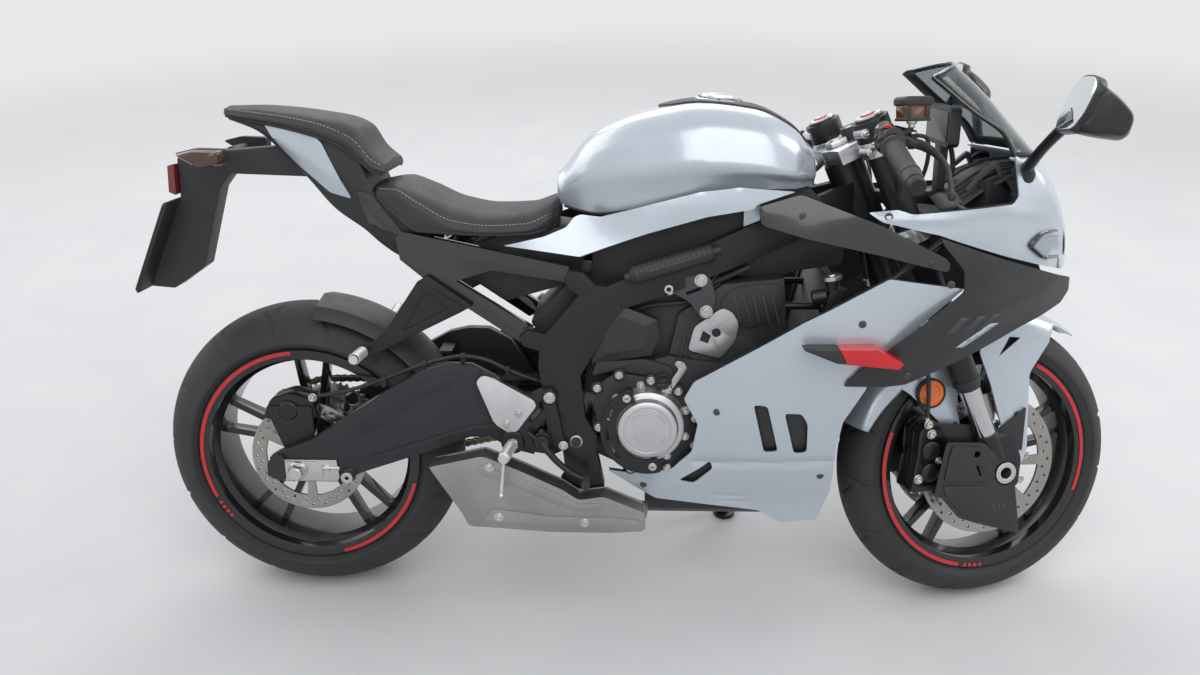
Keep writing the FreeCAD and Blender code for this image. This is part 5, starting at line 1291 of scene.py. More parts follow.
guard_centre = (CLUTCH[0], CLUTCH[2])
guard = Shape()
guard_slots = [arc_band(guard_centre, 76, 82, first, first + 19, 6) for first in (148, 178, 208)]
guard.prism(rounded(arc_band(guard_centre, 63, 92, 112, 288), 5, 3), -187, -181, 1.5, guard_slots)
for degrees in (118, 200, 282):
    a = math.radians(degrees)
    x, z = CLUTCH[0] + 77 * math.cos(a), CLUTCH[2] + 77 * math.sin(a)
    guard.lathe((x, -150, z), OUT_R, [(0, 8), (36, 8), (38, 7)], 18)
guard.done("cover_guard", "chassis", FRAME_BLACK)
guard_bolts = Shape()
for degrees in (122, 278):
    a = math.radians(degrees)
    guard_bolts.bolt((CLUTCH[0] + 77 * math.cos(a), -188, CLUTCH[2] + 77 * math.sin(a)), OUT_R, 6, 4, 8)
guard_bolts.done("cover_guard_bolts", "chassis", BRUSHED)
filler_plug = Shape()
filler_plug.lathe((736, -135.3, 512), OUT_R, [(0, 17), (14, 17), (16, 15.5), (16, 13), (26, 12.5),
                                              (28.5, 11), (29, 1)],
                  36)
filler_plug.prism(rounded([(724, 509), (748, 509), (748, 515), (724, 515)], 2.5), -170.5, -163, 1)
filler_plug.done("oil_filler", "chassis", MATT_BLACK)
arm = Shape()
arm.lathe((743, -136, 498), (0, -1, 0), [(0, 11), (17, 11), (19, 9.5), (19, 4), (24, 4), (24, 1)], 28)
arm.prism(rounded([(735, 490), (751, 492), (783, 537), (776, 552), (762, 556), (757, 548), (766, 538)], 5),
          -149, -143,
          1.2, [hole(767, 549, 2.5)])
arm.lathe((767, -141, 549), OUT_R, [(0, 6), (10, 6), (11, 5)], 16)
arm.done("clutch_arm", "chassis", BRUSHED)
clutch_cable = Shape()
clutch_cable.tube([(767, -146, 549), (772, -144, 590), (792, -134, 640), (838, -112, 720), (930, -80, 790)],
                  2.4, 8, 8)
clutch_cable.tube([(770, -145, 575), (776, -141, 602)], 4.2, 2, 12, smooth=False)
clutch_cable.done("clutch_cable", "chassis", RUBBER)

# Engine left side: generator cover, sprocket cover and their bolts
left_cover = Shape()
left_cover.lathe((845, 128.3, 440), OUT_L, [(0, 72), (12, 72), (14, 70), (16, 66), (27, 62), (32, 54),
                                            (39.7, 46),
                                            (40.5, 30), (41, 1)], 56)
for k in range(8):
    a = math.radians(45 * k + 12)
    left_cover.lathe((845 + 68 * math.cos(a), 128.3, 440 + 68 * math.sin(a)), OUT_L,
                     [(0, 10), (15, 9), (17, 7.5), (17, 1)], 18)
left_cover.done("generator_cover", "chassis", CAST_SILVER)
chain_cover = Shape()
CHAIN_COVER = [(612, 352), (700, 340), (752, 380), (752, 470), (700, 478), (630, 462)]
chain_cover.prism(rounded(CHAIN_COVER, 16, 5), 119, 136, 4)
for k in range(5):
    x = 640 + 22 * k
    chain_cover.prism(rounded([(x, 372), (x + 7, 370), (x + 7, 455), (x, 453)], 3), 135, 138.5, 1)
chain_cover.done("chain_cover", "chassis", MATT_BLACK)
left_bolts = Shape()
for k in range(8):
    a = math.radians(45 * k + 12)
    left_bolts.bolt((845 + 68 * math.cos(a), 145, 440 + 68 * math.sin(a)), OUT_L, 5.5, 5)
for x, z in ((626, 364), (700, 351), (742, 386), (742, 462), (700, 468), (640, 456)):
    left_bolts.bolt((x, 135, z), OUT_L, 5.5, 5, 8)
left_bolts.done("left_casing_bolts", "chassis", BRUSHED)

# Cylinders and head: finned block, ribbed covers, grey castings and the bracket bolts
head = Shape()
for side in (-1, 1):
    low, high = sorted((side * 116.3, side * 121))
    head.prism(rounded([(842, 668), (866, 692), (914, 703), (962, 700), (968, 660), (950, 630), (900, 612),
                        (862, 628)], 14, 5), low, high, 2)
    low, high = sorted((side * 116.3, side * 120))
    head.prism(rounded([(770, 556), (898, 494), (936, 566), (890, 600), (800, 560)], 10), low, high, 2)
head.done("head_covers", "chassis", ENGINE_BLACK)
head_ribs = Shape()
for side in (-1, 1):
    low, high = sorted((side * 120.5, side * 123))
    for k in range(5):
        x, z = 866 + 19 * k, 684 - 2 * k
        head_ribs.prism(rounded([(x, z), (x + 4, z), (x + 20, z - 56), (x + 16, z - 56)], 1.6), low, high,
                        0.8)
    for k in range(4):
        start, end = (790 + 12 * k, 556 - 8 * k), (900 + 10 * k, 506 + 15 * k)
        head_ribs.rod((start[0], side * 119.5, start[1]), (end[0], side * 119.5, end[1]), 2, count=8)
head_ribs.done("head_ribs", "chassis", GREY_PLASTIC)
castings = Shape()
CASTING = [(848, 656), (867, 648), (881, 626), (875, 589), (847, 554), (784, 570), (795, 617)]
for side in (-1, 1):
    low, high = sorted((side * 121, side * 127))
    castings.prism(rounded(CASTING, 9), low, high, 2.5, [hole(838, 606, 9),
                                                         [(806, 590), (822, 584), (828, 600),
                                                                            (812, 610)]])
castings.done("head_castings", "chassis", CAST_SILVER)
bracket = Shape()
for side in (-1, 1):
    low, high = sorted((side * 127, side * 134))
    bracket.prism(rounded([(728, 700), (742, 706), (808, 728), (826, 712), (834, 674), (826, 636), (808, 634),
                           (786, 668)], 9), low, high, 2.2, [[(776, 688), (806, 700), (806, 693),
                                                              (779, 682)]])
bracket.done("engine_brackets", "chassis", GREY_PLASTIC)
bracket_bolts = Shape()
for x, z in ((744, 695), (805, 712), (817, 650)):
    bracket_bolts.bolt((x, -133.5, z), OUT_R, 9, 7, 12.5)
bracket_bolts.mirror()
bracket_bolts.done("engine_bracket_bolts", "chassis", BRUSHED)

# Ribbed tube cover along the beam, and the faceted cover below it
tube_cover = Shape()
start, end = Vector((672, -146, 722)), Vector((826, -146, 770))
along = (end - start).normalized()
profile = [(0, 14)]
for k in range(1, 16):
    at = 10.2 * k
    profile += [(at - 3.4, 17.5), (at - 1.4, 18.6), (at + 1.4, 18.6), (at + 3.4, 17.5)]
profile.append(((end - start).length, 14))
tube_cover.lathe(start, along, profile, 28)
tube_cover.rod(start - along * 12, start + along * 2, 9)
tube_cover.rod(end - along * 2, end + along * 14, 9)
tube_cover.mirror()
tube_cover.done("beam_tube_covers", "chassis", MATT_BLACK)
tube_slots = Shape()
a, b = start + along * 34, end - along * 26
tube_slots.rod(a + Vector((0, -18, 3)), b + Vector((0, -18, 3)), 1.7, count=8)
tube_slots.mirror()
tube_slots.done("tube_cover_slots", "chassis", GREY_PLASTIC)
facets = Shape()
facet_rim = [(640, 668), (722, 635), (728, 599), (711, 563), (596, 545), (600, 600)]
facet_mid = Vector((664, 606))
outer_y, inner_y = -149, -141
rim_points = [Vector((x, inner_y, z)) for x, z in facet_rim]
top_points = [Vector((facet_mid.x + (x - facet_mid.x) * 0.62, outer_y,
                      facet_mid.y + (z - facet_mid.y) * 0.62))
              for x, z in facet_rim]
back_points = [Vector((x, -127, z)) for x, z in facet_rim]
facets.grid([back_points, rim_points, top_points], wrap=True, caps=True)
facets.mirror()
facets.done("faceted_covers", "chassis", MATT_BLACK, sharp=14)

# Dark air box, battery case, wiring and hoses that close the view through the frame
filler = Shape()
filler.prism(rounded([(590, 690), (600, 792), (740, 822), (880, 866), (1010, 884), (1040, 850), (960, 780),
                      (860, 700), (740, 648), (620, 640)], 14), -84, 84, 4)
filler.prism(rounded([(576, 470), (600, 560), (640, 660), (760, 690), (860, 700), (900, 640), (760, 540),
                      (740, 470)], 12), -100, 100, 4)
filler.prism(rounded([(470, 612), (560, 706), (600, 700), (600, 560), (540, 520)], 10), -78, 78, 3)
filler.done("inner_boxes", "chassis", MATT_BLACK)
cables = Shape()
cables.tube([(604, -104, 560), (640, -112, 640), (700, -110, 676), (800, -104, 690), (900, -96, 730)], 6, 8,
            12)
cables.tube([(600, -100, 520), (628, -108, 600), (690, -112, 650), (780, -112, 664)], 4.5, 8, 12)
cables.tube([(560, -96, 640), (620, -102, 668), (700, -100, 700), (820, -90, 750), (930, -70, 800)], 5, 8, 12)
cables.mirror()
cables.done("inner_hoses", "chassis", RUBBER)

# Swingarm pivot, frame bolts and the rear axle's nut and adjuster
pivots = Shape()
pivots.lathe((565, -138, 384), OUT_R, [(0, 30), (6, 30), (9, 27), (9, 20), (6, 18), (6, 13)], 40)
pivots.lathe((548, -136, 300), OUT_R, [(0, 15), (4, 15), (6, 13), (6, 1)], 28)
pivots.mirror()
pivots.done("pivot_bosses", "chassis", FRAME_BLACK)
frame_bolts = Shape()
frame_bolts.bolt((565, -143, 384), OUT_R, 13, 7, 17)
for x, z, radius in ((560, 712, 8), (588, 300, 8), (530, 500, 6)):
    frame_bolts.bolt((x, -134, z), OUT_R, radius, 6, radius + 3)
frame_bolts.mirror()
frame_bolts.done("frame_bolts", "chassis", BRUSHED)
rail_bolts = Shape()
for x, z in ((562, 712), (468, 597), (560, 712)):
    rail_bolts.bolt((x, -112, z), OUT_R, 8, 6, 11)
rail_bolts.mirror()
rail_bolts.done("subframe_bolts", "chassis", BRUSHED)

nuts = Shape()
nuts.lathe((0, -154.5, 315), OUT_R, [(0, 19), (3, 19), (5, 17.5), (5, 15)], 40)
nuts.lathe((0, -158, 315), OUT_R, [(0, 16.5), (13, 16.5), (15, 15), (15, 9), (8, 9), (8, 1)], 6)
nuts.lathe((0, -160, 315), OUT_R, [(0, 12.5), (14, 12.5), (15, 11.5), (15, 8.6)], 32)
nuts.lathe((0, 154.5, 315), OUT_L, [(0, 20), (5, 20), (8, 17), (8, 8), (3, 8), (3, 1)], 40)
nuts.done("rear_axle_nut", "chassis", BRUSHED)
blocks = Shape()
for side in (-1, 1):
    low, high = sorted((side * 147.5, side * 152))
    blocks.prism([(-26, 296), (44, 296), (50, 302), (50, 328), (42, 334), (-26, 334)], low, high, 1.4)
    for k in range(4):
        x = 34 + 4 * k
        low, high = sorted((side * 151.6, side * 152.8))
        blocks.prism([(x, 302), (x + 1.4, 302), (x + 1.4, 312 if k % 2 else 307),
                      (x, 312 if k % 2 else 307)], low,
                     high)
    blocks.rod((40, side * 146, 318), (84, side * 146, 318), 4.5)
    blocks.lathe((56, side * 146, 318), (1, 0, 0), [(0, 8), (6, 8), (7, 7), (7, 4.6)], 6)
blocks.done("chain_adjusters", "chassis", BRUSHED)
end_caps = Shape()
for side in (-1, 1):
    low, high = sorted((side * 140, side * 150))
    end_caps.prism(rounded([(-66, 300), (-40, 290), (-28, 290), (-28, 342), (-42, 348), (-64, 330)], 6),
                   low, high, 3)
end_caps.done("swingarm_ends", "chassis", MATT_BLACK)
arm_ribs = Shape()
for side in (-1, 1):
    low, high = sorted((side * 141.6, side * 143.8))
    arm_ribs.prism(rounded([(108, 398), (214, 476), (272, 512), (312, 522), (346, 520), (320, 500),
                            (268, 474),
                            (190, 424), (130, 386)], 9, 5), low, high, 0.9)
    arm_ribs.prism(rounded([(140, 340), (250, 378), (350, 412), (410, 420), (440, 400), (390, 404),
                            (330, 398),
                            (250, 362), (150, 330)], 8, 5), low, high, 0.9)
arm_ribs.done("swingarm_ribs", "chassis", ARM_BLACK)
spool_bolts = Shape()
for side in (-1, 1):
    spool_bolts.lathe((100, side * 142, 302), (0, side, 0), [(0, 15), (2, 15), (3, 14), (3, 12)], 28)
spool_bolts.done("spool_boss_welds", "chassis", ARM_BLACK)

# Foot controls: black cast bracket, polished heel guard, knurled peg with a feeler, pedal and links
BRACKET_RIM = [(520, 500), (545, 372), (520, 358), (456, 368), (424, 370), (420, 402), (430, 438), (462, 470),
               (488, 494)]
WINDOWS = [rounded([(506, 436), (512, 390), (478, 398)], 5), rounded([(500, 474), (502, 452), (476, 424),
                                                                      (468, 446)],
                                                                     5)]
GUARD = [(370, 512), (384, 526), (404, 520), (484, 474), (488, 462), (448, 408), (434, 404), (404, 424),
         (386, 470)]


def foot_control(side, mirror_name):
    def y(value):
        return side * value

    def both(low, high):
        return sorted((side * low, side * high))

    cast = Shape()
    cast.prism(rounded(BRACKET_RIM, 8), *both(146, 158), 3, WINDOWS)
    cast.lathe((440, y(146), 385), (0, side, 0), [(0, 24), (14, 24), (18, 21), (18, 11)], 36)
    cast.lathe((498, y(146), 389), (0, side, 0), [(0, 19), (16, 19), (20, 16), (20, 8)], 32)
    cast.lathe((514, y(146), 480), (0, side, 0), [(0, 15), (13, 15), (15, 13), (15, 8)], 28)
    cast.prism(rounded([(366, 508), (384, 530), (486, 478), (496, 460), (440, 398), (426, 408), (396, 424),
                        (378, 470)], 8), *both(150, 157), 1.5)
    cast.done("foot_bracket" + mirror_name, "chassis", FRAME_BLACK)
    plate = Shape()
    plate.prism(rounded(GUARD, 12, 5), *both(157.4, 161), 1.2)
    plate.done("heel_guard" + mirror_name, "chassis", ALUMINIUM)
    bolts = Shape()
    for x, z, radius in ((452, 446, 5.5), (428, 424, 5.5), (514, 480, 9), (540, 380, 7)):
        bolts.bolt((x, y(160.5), z), (0, side, 0), radius, 5, radius + 2.5)
    bolts.lathe((498, y(160), 389), (0, side, 0), [(0, 12), (8, 12), (10, 10), (10, 5), (5, 5), (5, 1)], 28)
    for x, z, radius in ((440, 385, 10),):
        bolts.bolt((x, y(163), z), (0, side, 0), radius, 4)
    bolts.done("foot_control_bolts" + mirror_name, "chassis", BRUSHED)
    peg = Shape()
    start, end = Vector((440, y(160), 385)), Vector((430, y(240), 383))
    along = (end - start).normalized()
    length = (end - start).length
    profile = [(0, 7), (6, 8.5), (14, 8.5), (17, 11)]
    for k in range(13):
        at = 18 + 4.5 * k
        profile += [(at, 11.8), (at + 2.4, 11.8), (at + 3.0, 10.4), (at + 3.9, 10.4)]
    profile += [(length - 3, 11.4), (length, 9.5), (length, 1)]
    peg.lathe(start, along, profile, 20)
    peg.prism([(430, 376), (450, 376), (450, 394), (430, 394)], *both(158, 172), 2)
    peg.tube([(431, y(233), 380), (428, y(235), 350), (424, y(236), 308)], 3.6, 3, 12, smooth=False)
    peg.ball((424, y(236), 306), (5, 5, 5), 8, 14)
    peg.done("peg" + mirror_name, "chassis", ALUMINIUM)


foot_control(-1, "_right")
foot_control(1, "_left")
pedal = Shape()
pedal.tube([(498, -170, 389), (512, -176, 372), (532, -179, 350), (560, -181, 328), (588, -181, 315)], 6.2,
           6, 16,
           radii=[9, 7, 6.4, 6.2, 6])
pedal.lathe((498, -161, 389), OUT_R, [(0, 15), (14, 15), (16, 13), (16, 5)], 28)
pedal.rod((498, -172, 389), (470, -172, 412), 5)
pedal.done("brake_pedal", "chassis", FRAME_BLACK, ["footrests"])
shifter = Shape()
shifter.tube([(498, 170, 389), (530, 180, 358), (566, 182, 348), (602, 182, 345)], 6, 6, 16)
shifter.lathe((498, 161, 389), OUT_L, [(0, 13), (14, 13), (16, 11), (16, 5)], 28)
shifter.rod((520, 168, 372), (612, 146, 420), 4)
shifter.ball((520, 170, 372), (7, 7, 7), 8, 14)
shifter.ball((612, 146, 420), (7, 7, 7), 8, 14)
shifter.rod((612, 146, 420), (630, 140, 398), 6)
shifter.done("shift_lever", "chassis", FRAME_BLACK)
pads = Shape()
for start, end in (((586, -174, 315), (586, -210, 315)), ((601, 174, 345), (601, 214, 345))):
    along = (Vector(end) - Vector(start)).normalized()
    profile = [(0, 6)]
    for k in range(7):
        profile += [(1 + 5 * k, 8.8), (3.6 + 5 * k, 8.8), (4.3 + 5 * k, 7.8), (5.2 + 5 * k, 7.8)]
    profile.append((36.5, 6))
    pads.lathe(start, along, profile, 20)
pads.done("pedal_pads", "chassis", RUBBER)

# Pillion hangers: open triangles with a folded peg
hangers = Shape()
for side in (-1, 1):
    low, high = sorted((side * 112, side * 117))
    hangers.prism(rounded([(262, 700), (346, 650), (332, 640), (152, 552), (138, 556), (196, 608)], 6), low,
                  high,
                  1.2, [rounded([(268, 676), (318, 648), (222, 600)], 6)])
hangers.done("pillion_hanger_plates", "chassis", FRAME_BLACK)
pillion_pegs = Shape()
start, end = Vector((142, -122, 560)), Vector((142, -196, 566))
along = (end - start).normalized()
profile = [(0, 8), (4, 11)]
for k in range(9):
    profile += [(6 + 7 * k, 11.6), (10.6 + 7 * k, 11.6), (11.4 + 7 * k, 10), (12.4 + 7 * k, 10)]
profile += [(73.5, 9), (73.5, 1)]
pillion_pegs.lathe(start, along, profile, 20)
pillion_pegs.mirror()
pillion_pegs.done("pillion_pegs", "chassis", ALUMINIUM)

# Silencer: folded shell with creases, recessed slanting outlet, straps and bolts
SILENCER_RIM = [(277, 348), (384, 373), (459, 342), (540, 304), (572, 282), (622, 290), (704, 255),
                (704, 216),
                (638, 211), (518, 211), (352, 222), (339, 251)]
INNER_RIM = [(302, 352), (384, 371), (459, 340), (540, 302), (572, 280), (622, 288), (702, 253), (702, 218),
             (638, 213), (518, 213), (362, 224), (356, 256)]
can = Shape()
can.prism(rounded(SILENCER_RIM, 9, 4), -203, -199.6, 1.6)
can.prism(rounded(SILENCER_RIM, 9, 4), -155.4, -152, 1.6)
can.prism(INNER_RIM, -199.7, -155.3)
can.prism([(277.5, 347), (306, 354), (306, 351), (279, 344.5)], -200, -155)
can.prism([(339.5, 251.5), (352.4, 222.5), (364, 222), (364, 225), (354.5, 225.6), (343, 253)], -200, -155)
can.done("silencer_shell", "chassis", CAN_STEEL, ["silencer"])
raised = Shape()
raised.prism(rounded([(372, 356), (452, 330), (534, 294), (570, 274), (618, 276), (616, 262), (566, 258),
                      (520, 276), (440, 312), (376, 336)], 7, 4), -205.4, -202.6, 1)
raised.prism(rounded([(380, 232), (520, 221), (640, 221), (696, 226), (694, 240), (630, 246), (520, 246),
                      (400, 262)], 7, 4), -205.4, -202.6, 1)
raised.done("silencer_creases", "chassis", CAN_STEEL)
outlet = Shape()
outlet.prism([(300, 349), (303, 351), (356, 257), (353, 256)], -199, -156)
outlet.done("silencer_outlet", "chassis", ENGINE_BLACK)
outlet_tube = Shape()
tube_at, tube_way = Vector((340, -178, 300)), Vector((-0.87, 0, 0.49)).normalized()
outlet_tube.lathe(tube_at - tube_way * 18, tube_way, [(0, 17), (18, 17), (26, 17), (26.6, 16.2), (26, 15.4),
                                                     (4, 15.4)], 32)
outlet_tube.done("silencer_tube", "chassis", HEADER)
can_bolts = Shape()
for x, z in ((413, 243), (584, 233), (398, 350)):
    can_bolts.bolt((x, -204.5, z), OUT_R, 6, 5, 9)
can_bolts.done("silencer_bolts", "chassis", BRUSHED)
link = Shape()
link.tube([(704, -150, 234), (650, -130, 234), (600, -60, 232), (560, 20, 232)], 20, 8, 24)
link.lathe((668, -139, 234), (0.8, 0.6, 0), [(0, 23), (10, 23), (10, 21)], 28, closed=False)
link.done("silencer_link", "chassis", HEADER)

# Rear brake: faceted caliper, pad pin, banjo and disc buttons
rear_brake = Shape()
REAR_CALIPER = [(-78, 412), (-60, 452), (-20, 466), (28, 452), (34, 414), (-20, 396)]
rear_brake.prism(rounded(REAR_CALIPER, 8), -112, -84, 4)
rear_brake.prism(rounded(REAR_CALIPER, 8), -74, -58, 3)
rear_brake.prism(rounded([(-66, 424), (-56, 454), (-20, 464), (22, 450), (26, 424)], 6), -86, -72, 1)
rear_brake.lathe((-22, -110, 430), OUT_R, [(0, 20), (8, 20), (11, 17), (11.5, 1)], 32)
rear_brake.prism(rounded([(-70, 440), (28, 440), (26, 318), (0, 288), (-26, 318)], 10), -118, -110, 2)
rear_brake.done("rear_brake_body", "chassis", FRAME_BLACK, ["rear_caliper"])
brake_fittings = Shape()
brake_fittings.bolt((28.5, -111, 457), OUT_R, 7, 8, 9)
brake_fittings.bolt((-58, -112, 428), OUT_R, 6, 5, 8)
brake_fittings.bolt((18, -112, 426), OUT_R, 6, 5, 8)
brake_fittings.rod((-50, -60, 454), (22, -60, 452), 3)
brake_fittings.done("rear_brake_bolts", "chassis", BRUSHED)
buttons = Shape()
for k in range(6):
    a = math.radians(60 * k + 15)
    buttons.bolt((40 * math.cos(a), -85, 315 + 40 * math.sin(a)), OUT_R, 6, 5, 8)
buttons.done("rear_disc_bolts", "rear_wheel", BRUSHED)
sprocket_nuts = Shape()
for k in range(6):
    a = math.radians(60 * k + 15)
    sprocket_nuts.lathe((58 * math.cos(a), 112, 315 + 58 * math.sin(a)), OUT_L,
                        [(0, 8), (6, 8), (7, 7), (7, 4),
                                                                               (10, 4), (10, 1)], 6)
sprocket_nuts.done("sprocket_nuts", "rear_wheel", BRUSHED)

# Front brakes: bobbins, caliper bodies, caliper bolts and a pad pin
bobbins = Shape()
for k in range(10):
    a = math.radians(36 * k + 9)
    x, z = 1400 + 86 * math.cos(a), 300 + 86 * math.sin(a)
    bobbins.lathe((x, -64.5, z), OUT_R, [(0, 9), (2.2, 9), (3, 8), (3, 4.5), (1.4, 4.5), (1.4, 1)], 20)
bobbins.mirror()
bobbins.done("front_disc_bobbins", "front_wheel", BRUSHED)
CALIPER_RIM = [(1224, 388), (1240, 402), (1268, 404), (1290, 372), (1282, 300), (1268, 262), (1210, 262),
               (1222, 330)]
front_brake = Shape()
for side in (-1, 1):
    for low, high, edge in ((69, 97, 4), (34, 56, 3)):
        a, b = sorted((side * low, side * high))
        front_brake.prism(rounded(CALIPER_RIM, 7), a, b, edge)
    a, b = sorted((side * 54, side * 71))
    front_brake.prism(rounded([(1226, 386), (1240, 400), (1252, 396), (1238, 330), (1224, 268), (1212, 266),
                               (1222, 330)], 4), a, b, 1)
    for z in (302, 348):
        front_brake.lathe((1250, side * 95, z), (0, side, 0), [(0, 19), (5, 19), (7, 16), (7.6, 1)], 32)
front_brake.done("front_brake_bodies", "steering", FRAME_BLACK, ["front_calipers"])
front_bolts = Shape()
for x, z, radius in ((1250, 382, 7.5), (1226, 290, 7.5), (1268, 326, 4.5)):
    front_bolts.bolt((x, -97.5, z), OUT_R, radius, 7, radius + 2.5)
front_bolts.rod((1236, -66, 360), (1236, -38, 360), 3.5)
front_bolts.mirror()
front_bolts.done("front_brake_bolts", "steering", BRUSHED)

# Brake hose clips and end fittings
fittings = Shape()
for x, y, z, tx, tz in ((1240, 95, 410, 0, 1), (1220, 95, 572, -0.2, 0.98), (1190, 85, 668, -0.3, 0.95)):
    fittings.lathe((x, -y, z - 8), (tx, 0, tz), [(0, 5.6), (14, 5.6), (15, 4.6)], 16)
fittings.bolt((1240, -101, 404), OUT_R, 7, 7, 9)
fittings.mirror()
fittings.done("front_hose_fittings", "steering", BRUSHED)
clips = Shape()
for x, z in ((178, 500), (263, 533), (340, 550), (428, 522)):
    clips.lathe((x, -115.5, z), (0.94, 0, 0.34), [(-5, 6), (-4, 6.8), (4, 6.8), (5, 6)], 16)
    low, high = sorted((-111, -123))
    clips.prism(rounded([(x - 5, z - 16), (x + 5, z - 16), (x + 5, z + 4), (x - 5, z + 4)], 2), -121, -117,
                0.8)
clips.done("rear_hose_clips", "chassis", RUBBER)

# Discs: drilled rings on carriers are in the castings; black carrier ribs at their inner edge
carriers = Shape()
for side in (-1, 1):
    low, high = sorted((side * 60, side * 66))
    for k in range(5):
        a0 = 72 * k
        arm_line = []
        for r, half in ((44, 16), (60, 9), (80, 7), (88, 9), (88, -9), (80, -7), (60, -9), (44, -16)):
            a = math.radians(a0 + 9)
            arm_line.append((1400 + r * math.cos(a) - half * math.sin(a),
                             300 + r * math.sin(a) + half * math.cos(a)))
        carriers.prism(rounded(arm_line, 3), low, high, 1.2)
carriers.done("disc_carrier_ribs", "front_wheel", CAST_BLACK)

# Forks: chrome sliders in black feet, dust seals, caps, yoke bolts
FORK_UP = Vector((-0.40992, 0, 0.91212))
FORK_AHEAD = Vector((0.91212, 0, 0.40992))
STEM_BACK = -31.8
SPREAD = 105


def on_fork(height, y, forward=0.0):
    return Vector((WHEELBASE, y, FRONT_R)) + FORK_UP * height + FORK_AHEAD * forward


FOOT = [(1372, 268), (1432, 268), (1436, 330), (1412, 378), (1352, 372), (1366, 330)]
LUG = [(1370, 390), (1262, 404), (1232, 395), (1212, 280), (1236, 270), (1376, 290)]
feet = Shape()
feet.prism(rounded(FOOT, 12), -126, -84.5, 4, [hole(1400, 300, 17.5, 24)])
feet.prism(rounded(LUG, 8), -97, -84.5, 2.5)
feet.lathe(on_fork(26, -SPREAD), FORK_UP, [(0, 20), (2, 24.5), (58, 24.5), (61, 23), (61, 20.8),
                                           (58, 20.6)], 36)
feet.mirror()
feet.done("fork_feet", "steering", FRAME_BLACK, ["fork_lowers"])
sliders = Shape()
sliders.lathe(on_fork(60, -SPREAD), FORK_UP, [(0, 19), (0.5, 20.5), (204, 20.5), (205, 19)], 48)
sliders.mirror()
sliders.done("fork_sliders", "steering", CHROME)
seals = Shape()
seals.lathe(on_fork(192, -SPREAD), FORK_UP, [(0, 20.8), (1, 23.5), (9, 25), (12, 27.7), (24, 27.7),
                                             (24, 27.1),
                                            (13, 27.05), (12.6, 20.8)], 40, closed=True)
seals.mirror()
seals.done("fork_seals", "steering", RUBBER)
caps = Shape()
caps.lathe(on_fork(772, -SPREAD), FORK_UP, [(0, 22), (0.6, 24.5), (3.4, 24.5), (4.2, 23.6), (4.2, 14.6),
                                            (2.8, 14)], 40)
caps.lathe(on_fork(774, -SPREAD), FORK_UP, [(0, 12), (5, 12), (6, 11), (6, 4), (4.6, 3.6)], 6)
caps.mirror()
caps.lathe(on_fork(730, 0, STEM_BACK), FORK_UP, [(0, 21), (1.4, 23), (9, 23), (11, 21.5), (11, 13),
                                                 (7, 12)], 8)
caps.done("fork_caps", "steering", ALUMINIUM)
collars = Shape()
collars.lathe(on_fork(775, -SPREAD), FORK_UP, [(0, 14.2), (2.6, 14.2), (3.4, 13.4), (3.4, 12.6)], 32)
collars.mirror()
collars.done("fork_adjusters", "steering", RED)
pinch_lugs = Shape()
for height, forward in ((535, -32), (715, -32), (751, -30)):
    pinch_lugs.rod(on_fork(height, -137, forward), on_fork(height, -100, forward), 9, edge=1.5)
pinch_lugs.mirror()
pinch_lugs.done("yoke_pinch_lugs", "steering", ALUMINIUM)
yoke_bolts = Shape()
for height, forward in ((535, -32), (715, -32), (751, -30)):
    yoke_bolts.bolt(on_fork(height, -137, forward), OUT_R, 5.5, 6, 7.5)
yoke_bolts.bolt(on_fork(730, -70, 10), FORK_UP, 4, 4, 6)
yoke_bolts.mirror()
yoke_bolts.done("yoke_bolts", "steering", BRUSHED)
lock = Shape()
lock.lathe(on_fork(730, 0, 6), FORK_UP, [(0, 21), (20, 21), (24, 19), (24, 13), (22, 12.6), (22, 3)], 36)
lock.done("key_switch", "steering", MATT_BLACK)
key_face = Shape()
key_face.lathe(on_fork(752, 0, 6), FORK_UP, [(0, 12), (1.2, 12), (1.6, 11), (1.6, 4), (0.6, 3.4)], 28)
key_face.done("key_switch_face", "steering", BRUSHED)

# Bars: ribbed grips with end collars, switch housings, lever clamps
BARS_AT = Vector((1083.5, 0, 1004.2))
BAR_IN = BARS_AT + Vector((11.5, 132, -16))
BAR_OUT = BARS_AT + Vector((-17.5, 318, -114))


def on_bar(y, side=1):
    p = BAR_IN + (BAR_OUT - BAR_IN) * ((y - 132) / 186)
    return Vector((p.x, side * p.y, p.z))


def bar_way(side=1):
    return (on_bar(318, side) - on_bar(132, side)).normalized()


grips = Shape()
for side in (-1, 1):
    ribs = [(0, 19.5), (0.8, 22.5), (3.4, 22.5), (5, 17.8)]
    for k in range(16):
        start = 7 + 5.6 * k
        ribs += [(start, 17.9), (start + 3.6, 17.9), (start + 4.1, 17.2), (start + 5.2, 17.2)]
    ribs += [(98, 17.9), (99, 19.6), (103.6, 19.6), (104.6, 17.8), (126, 17.6), (129.6, 16.6), (129.6, 11.2)]
    grips.lathe(on_bar(204, side), bar_way(side), ribs, 40)
grips.done("grip_sleeves", "steering", GREY_PLASTIC, ["grips"], 30)
bar_ends = Shape()
for side in (-1, 1):
    bar_ends.lathe(on_bar(318.4, side), bar_way(side), [(0, 14), (1.5, 16), (13, 16.2), (16, 14.4),
                                                        (16, 9.6), (8, 9),
                                                       (8, 1)], 36)
bar_ends.done("bar_ends", "steering", MATT_BLACK)
SWITCH = [(-25, -4), (-17, 20), (0, 27), (17, 22), (25, 2), (18, -19), (-4, -25), (-20, -17)]
pods = Shape()
for side in (-1, 1):
    mid = on_bar(187, side)
    for low, high, scale in ((174, 186.4, 1.0), (187.2, 201, 0.94)):
        a, b = sorted((side * low, side * high))
        pods.prism(rounded([(mid.x + x * scale, mid.z + z * scale) for x, z in SWITCH], 7), a, b, 2.5)
